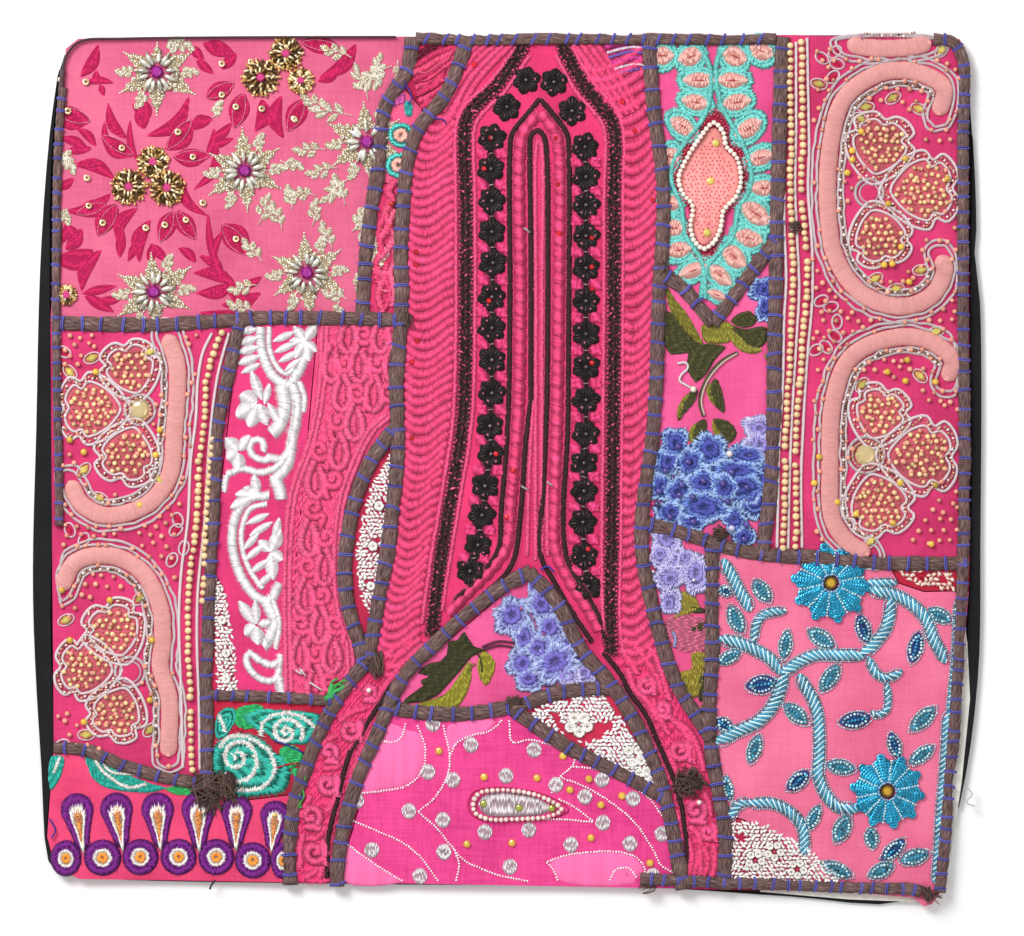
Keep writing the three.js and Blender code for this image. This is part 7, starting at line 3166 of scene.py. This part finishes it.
SPIRALS = Sewn(
    "spirals", (45, 700), 3.667, seed=55, rough=0.4,
    fills=(
        ("38c070", 20, 714, 26, 796, 20, 802, 60, 752, 106, 700, 92, 688, 52),
        ("38b8a6", 400, 636, 46, 690, 26, 702, 62, 662, 132, 628, 142),
        ("38b8a6", 400, 730, 60, 780, 34, 850, 36, 930, 40, 1012, 58, 1002, 110, 962, 160, 922, 164, 872, 160, 830,
         142, 800, 112, 768, 102),
        ("38b8a6", 400, 612, 180, 660, 138, 720, 124, 792, 140, 842, 190, 880, 212, 902, 270, 880, 332, 800, 352,
         700, 352, 655, 300, 612, 262), ("38c070", 10, 860, 180, 914, 168, 950, 208, 902, 252, 868, 220),
        ("38c070", 10, 902, 256, 926, 250, 920, 282), ("c82848", 10, 690, 96, 730, 108, 700, 128, 668, 122)),
    bands=(
        ("f2eee8", 23, 704, 218, 690, 204, 700, 188, 724, 196, 730, 226, 706, 248, 672, 236, 660, 200, 684, 160,
         730, 152, 768, 186, 776, 240, 752, 284, 706, 300, 660, 268),
        ("f2eee8", 22, 640, 176, 672, 138, 730, 134, 790, 160, 830, 200, 842, 256, 800, 318, 740, 334, 690, 326),
        ("f2eee8", 22, 884, 130, 868, 116, 884, 100, 908, 116, 906, 142, 876, 152, 846, 130, 846, 94, 880, 70, 930,
         86, 946, 120, 938, 150), ("f2eee8", 20, 792, 132, 800, 82, 850, 52, 920, 52, 980, 90, 1004, 116),
        ("f2eee8", 18, 638, 52, 652, 86, 664, 116)),
    threads=(("3040a0", 7, 842, 150, 900, 170, 950, 196), ("c82848", 8, 850, 250, 890, 236, 930, 232)))

LACE_TRIANGLE = Sewn(
    "lace_triangle", (395, 560), 3.86, seed=56,
    lace=(
        (520, 592, 560, 562, 620, 546, 720, 526, 800, 506, 850, 580, 920, 680, 950, 740, 1002, 830, 1004, 880, 930,
         850, 860, 810, 800, 770, 740, 722, 680, 682, 620, 660, 562, 622),),
    gaps=(
        (598, 586, 640, 598, 640, 620, 690, 650, 750, 640, 776, 624, 848, 626, 800, 686, 740, 704, 680, 692, 630,
         652),),
    blooms=tuple(("white", 710 + 34 * math.cos(a), 634 + 30 * math.sin(a), 25, 24, 1, 0.3) for a in (0.3, 1.55,
        2.8, 4.1, 5.3)) + tuple(("white", x, y, 24, 20, 1, 0.2) for x, y in ((902, 736), (942, 736), (950, 775),
        (916, 782), (974, 816), (946, 822), (992, 850))), beads=((710, 634, 1.3, "c82848"),))

LACE_CORNER = Sewn(
    "lace_corner", (724, 820), 1.0, seed=57, loop=(4.4, 3.0, 1.2, "faf4f0"),
    lace=((0, 4, 20, 0, 44, 6, 80, 26, 110, 50, 118, 62, 60, 66, 8, 64, 2, 40),),
    gaps=((42, 24, 52, 22, 58, 30, 52, 40, 42, 36), (24, 34, 32, 32, 38, 40, 32, 48, 24, 44),
          (66, 44, 76, 42, 80, 52, 68, 56), (12, 14, 20, 12, 22, 20, 14, 22)),
    blooms=tuple(("white", x + 6.5 * math.cos(a), y + 6.5 * math.sin(a), 4.2, 4.2, 1, 0.5) for x, y in (
        (50, 31), (31, 40), (73, 49)) for a in (0.2, 1.5, 2.7, 4.0, 5.2)),
    beads=((50, 31, 1.3, "c82850"), (31, 40, 1.3, "c82850"), (73, 49, 1.3, "c82850")))

LACE_STRIP = Sewn(
    "lace_strip", (213, 575), 1.0, seed=58, loop=(4.4, 3.0, 1.2, "faf4f0"),
    lace=((1, 0, 12, 18, 17, 44, 22, 80, 24, 116, 4, 117, 3, 70, 1, 30),),
    gaps=((6, 40, 12, 38, 14, 50, 8, 52), (10, 74, 16, 72, 17, 82, 10, 84)),
    blooms=(("white", 9, 45, 5, 5, 5, 0.4), ("white", 13, 78, 5, 5, 5, 0.4), ("white", 13, 104, 5, 5, 5, 0.4)))

LACE_SLIVER = Sewn(
    "lace_sliver", (352, 440), 1.0, seed=59, loop=(4.4, 3.0, 1.2, "faf4f2"),
    lace=((40, 8, 34, 22, 20, 44, 10, 80, 4, 118, 8, 150, 24, 196, 27, 176, 34, 140, 44, 90, 46, 40),),
    gaps=(
        (22, 62, 32, 58, 34, 70, 24, 74), (16, 102, 26, 98, 28, 112, 18, 114),
        (14, 140, 24, 138, 24, 150, 16, 152)),
    blooms=(
        ("white", 27, 66, 5.5, 5.5, 5, 0.4), ("white", 21, 106, 5.5, 5.5, 5, 0.4),
        ("white", 19, 146, 5, 5, 5, 0.4)))

CRIMSON_CAP = Sewn(
    "crimson_cap", (360, 34), 3.85, seed=60,
    bands=tuple(("f0507c" if k % 2 else "d83868", 30, 196 + 6 * k, 128 + 26 * k, 235 + 12 * k, 110 + 22 * k,
                 290 + 8 * k, 78 + 22 * k, 372 - 14 * k, 44 + 26 * k) for k in range(7)),
    fills=(("6a1230", 40, 232, 60, 300, 44, 270, 90, 232, 96),),
    threads=(("f26a90", 9, 205, 140, 250, 150, 300, 120, 350, 90), ("b01c48", 9, 210, 190, 262, 180, 330, 130),
             ("8a1236", 8, 212, 245, 262, 226, 330, 180)))

TEAL_SNIPPET = Sewn(
    "teal_snippet", (360, 34), 3.85, seed=61,
    fills=(
        ("e060b0", 20, 128, 232, 168, 226, 172, 262, 138, 272),
        ("3cb4ac", 80, 174, 258, 196, 262, 198, 318, 176, 312)),
    blooms=(("peach", 158, 390, 52, 50, 1, 0.1), ("peach", 150, 506, 54, 50, 1, 0.15)),
    threads=(
        ("3a50a8", 6, 84, 380, 104, 392, 92, 404), ("d85080", 5, 60, 350, 95, 376),
        ("c84a80", 5, 44, 470, 66, 506, 48, 530)), beads=((174, 492, 1.6, "6a3a30"),))

CRIMSON_STRIP = Sewn(
    "crimson_strip", (360, 34), 3.85, seed=62, rough=0.3,
    bands=(
        ("ff5a86", 34, 136, 570, 110, 600, 128, 640, 96, 690, 112, 740, 74, 790),
        ("ff6c94", 30, 140, 680, 112, 730, 136, 770, 108, 830, 70, 870),
        ("f44c7c", 30, 96, 700, 70, 760, 84, 830, 60, 890, 74, 960),
        ("ff6c94", 28, 132, 800, 138, 870, 116, 920, 132, 980, 126, 1050),
        ("ff5c88", 28, 60, 900, 92, 940, 70, 1000, 90, 1070),
        ("f44c7c", 24, 104, 880, 100, 940, 118, 1000, 96, 1060),
        ("ff7098", 16, 76, 930, 104, 912, 128, 940, 118, 985, 84, 990, 72, 960, 96, 948)),
    beads=((122, 654, 3.0, "b81820"), (120, 740, 2.0, "b81820")))

STRIPED_SNIPPET = Sewn(
    "striped_snippet", (605, 35), 1.0, seed=63,
    bands=(
        ("d8409a", 7, 0, 12, 14, 8, 30, 6, 44, 8), ("f0d4e8", 3.5, 2, 18, 16, 14, 30, 12, 44, 15),
        ("8060b8", 3.5, 3, 23, 16, 19, 30, 17, 44, 20), ("d8409a", 5, 6, 29, 18, 25, 31, 23, 43, 26),
        ("f0d4e8", 3, 10, 34, 20, 31, 32, 29, 40, 31), ("8060b8", 3, 14, 38, 22, 36, 34, 34)))

CHENILLE_SNIPPET = Sewn(
    "chenille_snippet", (895, 568), 1.0, seed=64, loop=(5.4, 3.2, 1.5, "f0d4c4"),
    lace=((4, 2, 58, 4, 60, 22, 34, 20, 14, 14),),
    gaps=((20, 6, 30, 4, 34, 10, 24, 12), (44, 10, 52, 9, 54, 15, 46, 16)),
    fills=(("c01c38", 10, 20, 5, 32, 4, 34, 11, 22, 12),))


@dataclass
class LooseEnds:
    """The frayed yarn ends, knots and stray threads that lie over the seams.

    Attributes:
        frays: For each fray its place, direction, spread, reach and count of strands.
        knots: For each tuft its place, length, height, direction and looseness.
        strays: For each loose thread its colour, its width and its route.
    """

    yarn: str = "7c6258"
    frays: tuple[tuple[float, ...], ...] = (
        (210, 795, 95, 60, 20, 44), (228, 793, 60, 50, 14, 16), (684, 784, 40, 150, 17, 60),
        (375, 662, 150, 60, 8, 12), (795, 225, -20, 50, 6, 12), (405, 320, 100, 40, 8, 12),
        (720, 535, 20, 60, 8, 10), (515, 705, 190, 40, 8, 12), (660, 270, 120, 60, 8, 12),
        (930, 895, 60, 80, 10, 14), (655, 885, 170, 30, 14, 14), (417, 58, 160, 40, 8, 10))
    knots: tuple[tuple[float, ...], ...] = (
        (207, 786, 30, 18, 25, 0.9), (226, 784, 26, 13, 80, 0.5), (689, 783, 26, 16, 60, 1.2),
        (377, 664, 26, 10, 82, 0.12), (514, 703, 16, 8, 170, 0.3), (720, 533, 14, 8, 20, 0.5),
        (661, 268, 14, 8, 120, 0.4), (406, 320, 14, 8, 80, 0.3), (927, 893, 14, 7, 60, 0.5),
        (794, 226, 12, 6, -20, 0.4))
    strays: tuple[tuple, ...] = (
        ("6a5054", 5.5, 61.5, 92, 62, 80, 63.5, 70),
        ("5a4448", 2.6, 63, 72, 66, 58, 74, 46, 84, 40.5, 120, 39, 200, 38, 300, 37.5, 396, 37.5),
        ("48c468", 6.5, 325, 699, 330, 697, 334, 695), ("54d474", 4.5, 331, 696, 335, 691, 341, 689, 345, 685),
        ("54d474", 4.0, 330, 696, 331, 690, 333, 684),
        ("50d060", 2.2, 326, 700, 330, 690, 338, 684, 344, 688, 340, 694, 332, 696),
        ("50d060", 2.0, 330, 698, 336, 686, 346, 680, 350, 684), ("50d060", 2.0, 328, 694, 332, 682, 338, 678),
        ("ffffff", 1.8, 296, 670, 302, 674, 300, 668, 306, 676), ("ffffff", 1.8, 310, 682, 316, 686, 322, 690),
        ("50d060", 1.8, 306, 776, 302, 786, 304, 796, 298, 806, 302, 800),
        ("50d060", 1.6, 302, 790, 298, 800, 302, 808, 297, 806),
        ("f2e4e0", 1.5, 966, 786, 972, 794, 966, 802, 974, 806), ("2c2c34", 2.0, 216, 880, 212, 884, 210, 889),
        ("4a4ab8", 1.6, 402, 78, 412, 98, 408, 104), ("4a4ab8", 1.6, 432, 118, 444, 120, 446, 124),
        ("3a3ab0", 1.6, 50, 818, 56, 830, 52, 838), ("f2e0e0", 1.4, 232, 790, 234, 797, 230, 796),
        ("f0a0c0", 1.6, 860, 34, 862, 40), ("c8c0c0", 2, 524, 228, 530, 233), ("c8c0c0", 2, 521, 486, 528, 490),
        ("c8c0c0", 2, 547, 482, 553, 486), ("4a4ab8", 1.8, 540, 570, 548, 566, 554, 572))

    def build(self, face: Face, materials: dict[Stuff, bpy.types.Material]) -> None:
        """Frays, knots and lays the ends.

        Args:
            face: The surface that they lie on.
            materials: The finish of each stuff.
        """
        needle = Motifs(face, 70)
        for x, y, long, tall, angle, loose in self.knots:
            for _ in range(26 if tall > 11 else 14):
                turn = math.radians(angle) + loose * needle.chance.normal()
                way, over = along_way(turn), along_way(turn + math.pi / 2)
                spot = np.array([x, y]) + over * tall * 0.3 * needle.chance.normal()
                start = spot - way * long * needle.chance.uniform(0.3, 0.6)
                end = spot + way * long * needle.chance.uniform(0.3, 0.6)
                bow = over * needle.chance.normal(0, 0.12) * long
                needle.line([start, (start + end) / 2 + bow, end], needle.chance.uniform(0.6, 1.1),
                            needle.vary(self.yarn, 0.25)[0], stuff=Stuff.YARN, rise=0.8, step=1.6,
                            lift=needle.chance.uniform(1.2, 2.6), strands=Strands.TWISTED, pitch=0.4)
        for x, y, angle, spread, reach, count in self.frays:
            for turn in np.radians(angle + spread * needle.chance.uniform(-1, 1, int(count))):
                far = reach * needle.chance.uniform(0.6, 1.15)
                bow = needle.chance.normal(0, 0.12) * far
                way, side = along_way(turn), along_way(turn + math.pi / 2)
                start = np.array([x, y]) + needle.chance.normal(0, 2, 2)
                route = [start, start + way * far * 0.5 + side * bow, start + way * far]
                needle.line(route, 0.42, needle.vary("947a6e", 0.2)[0], stuff=Stuff.YARN, step=1.5,
                            lift=needle.chance.uniform(0.3, 2.2))
        for tint, width, *places in self.strays:
            needle.twist(pairs(places), width, tint, lift=1.6)
        needle.finish("loose_ends", "seam_yarn", materials)


CLOTHS: tuple[PatchCloth, ...] = (
    PatchCloth("zari_floral", (163, 132), ClothFinish("zari_silk", "dc6688", "c04470", 0.6, 0.6, 0.6)),
    PatchCloth("crimson_cap", (30, 36), ClothFinish("cap_cotton", "c81e50", "8c0f38")),
    PatchCloth("teal_snippet", (23, 45), ClothFinish("teal_snippet_cotton", "ea5a86", "c23a66")),
    PatchCloth("crimson_strip", (19, 61), ClothFinish("strip_cotton", "e0386c", "a01c48")),
    PatchCloth("neckline", (150, 200), ClothFinish("neckline_cotton", "ea3a74", "b01c4c")),
    PatchCloth("striped_snippet", (20, 18), ClothFinish("striped_cotton", "d8489a", "a02a78")),
    PatchCloth("lozenge", (60, 129), ClothFinish("lozenge_cotton", "f05a96", "c8346e")),
    PatchCloth("blue_blossom", (60, 140), ClothFinish("blue_blossom_cotton", "f2609a", "cc3a76")),
    PatchCloth("right_scroll", (94, 238), ClothFinish("right_scroll_cotton", "dc3a74", "9c1848")),
    PatchCloth("chenille_snippet", (36, 13), ClothFinish("chenille_cotton", "c81e3c", "8a1028")),
    PatchCloth("bead_vine", (116, 162), ClothFinish("bead_vine_cotton", "f27a9c", "d4527c", 0.6, 0.4)),
    PatchCloth("lace_corner", (50, 33), ClothFinish("lace_corner_cotton", "c82850", "8a1434")),
    PatchCloth("violet_blossom", (31, 95), ClothFinish("violet_blossom_cotton", "ee5c92", "c23668")),
    PatchCloth("left_scroll", (85, 209), ClothFinish("left_scroll_cotton", "dc3a74", "9c1848")),
    PatchCloth("white_scroll", (48, 171), ClothFinish("white_scroll_cotton", "e83c7c", "a81c50")),
    PatchCloth("braided", (52, 172), ClothFinish("braided_cotton", "f05084", "c02a5c")),
    PatchCloth("lace_strip", (13, 55), ClothFinish("lace_strip_cotton", "d02c56", "8a1434")),
    PatchCloth("spirals", (58, 47), ClothFinish("spirals_cotton", "c81e40", "8a1028")),
    PatchCloth("purple_border", (112, 61), ClothFinish("purple_border_cotton", "ee4a78", "c22c58")),
    PatchCloth("dotted_paisley", (155, 81), ClothFinish("dotted_twill", "f04a94", "c42470", 0.7, 0.9)),
    PatchCloth("arch_blossom", (101, 63), ClothFinish("arch_blossom_cotton", "f0609a", "c43a70")),
    PatchCloth("lace_triangle", (69, 49), ClothFinish("lace_triangle_cotton", "d02c50", "8a1430")),
    PatchCloth("lace_sliver", (24, 106), ClothFinish("lace_sliver_cotton", "c82850", "8a1434")),
)


PATCHES = (
    Neckline(), RIGHT_BORDER, LEFT_BORDER, BeadVine(), ZariFloral(), Lozenge(), DottedPaisley(), WhiteScroll(),
    Braided(), BLUE_BLOSSOM, VIOLET_BLOSSOM, ARCH_BLOSSOM, PURPLE_BORDER, SPIRALS, LACE_TRIANGLE, LACE_CORNER,
    LACE_STRIP, LACE_SLIVER, CRIMSON_CAP, TEAL_SNIPPET, CRIMSON_STRIP, STRIPED_SNIPPET, CHENILLE_SNIPPET,
    LooseEnds())


def main() -> None:
    """Builds the dressed cover."""
    logging.basicConfig(level=logging.INFO, format="%(message)s")
    effects = Effects()
    materials = {stuff: stuff.value.build(effects) for stuff in Stuff}
    face = Face()
    Studio().build()
    for cloth in CLOTHS:
        cloth.build(face, effects)
    BackCloth("back_panel", "back_cotton", (427, 389), ClothFinish("black_cotton", "1c1c20", "0c0c0e", 0.5, 0.8, 0.9),
              "floor").build(effects)
    BackCloth("lining_strip", "lining_cotton", (100, 137), ClothFinish("white_cotton", "efece4", "c4bfb2", 0.5, 0.4),
              "back_panel").build(effects)
    for patch in PATCHES:
        patch.build(face, materials)
    Couching().build(face, materials, YarnFinish().build(effects))


if __name__ == "__main__":
    main()
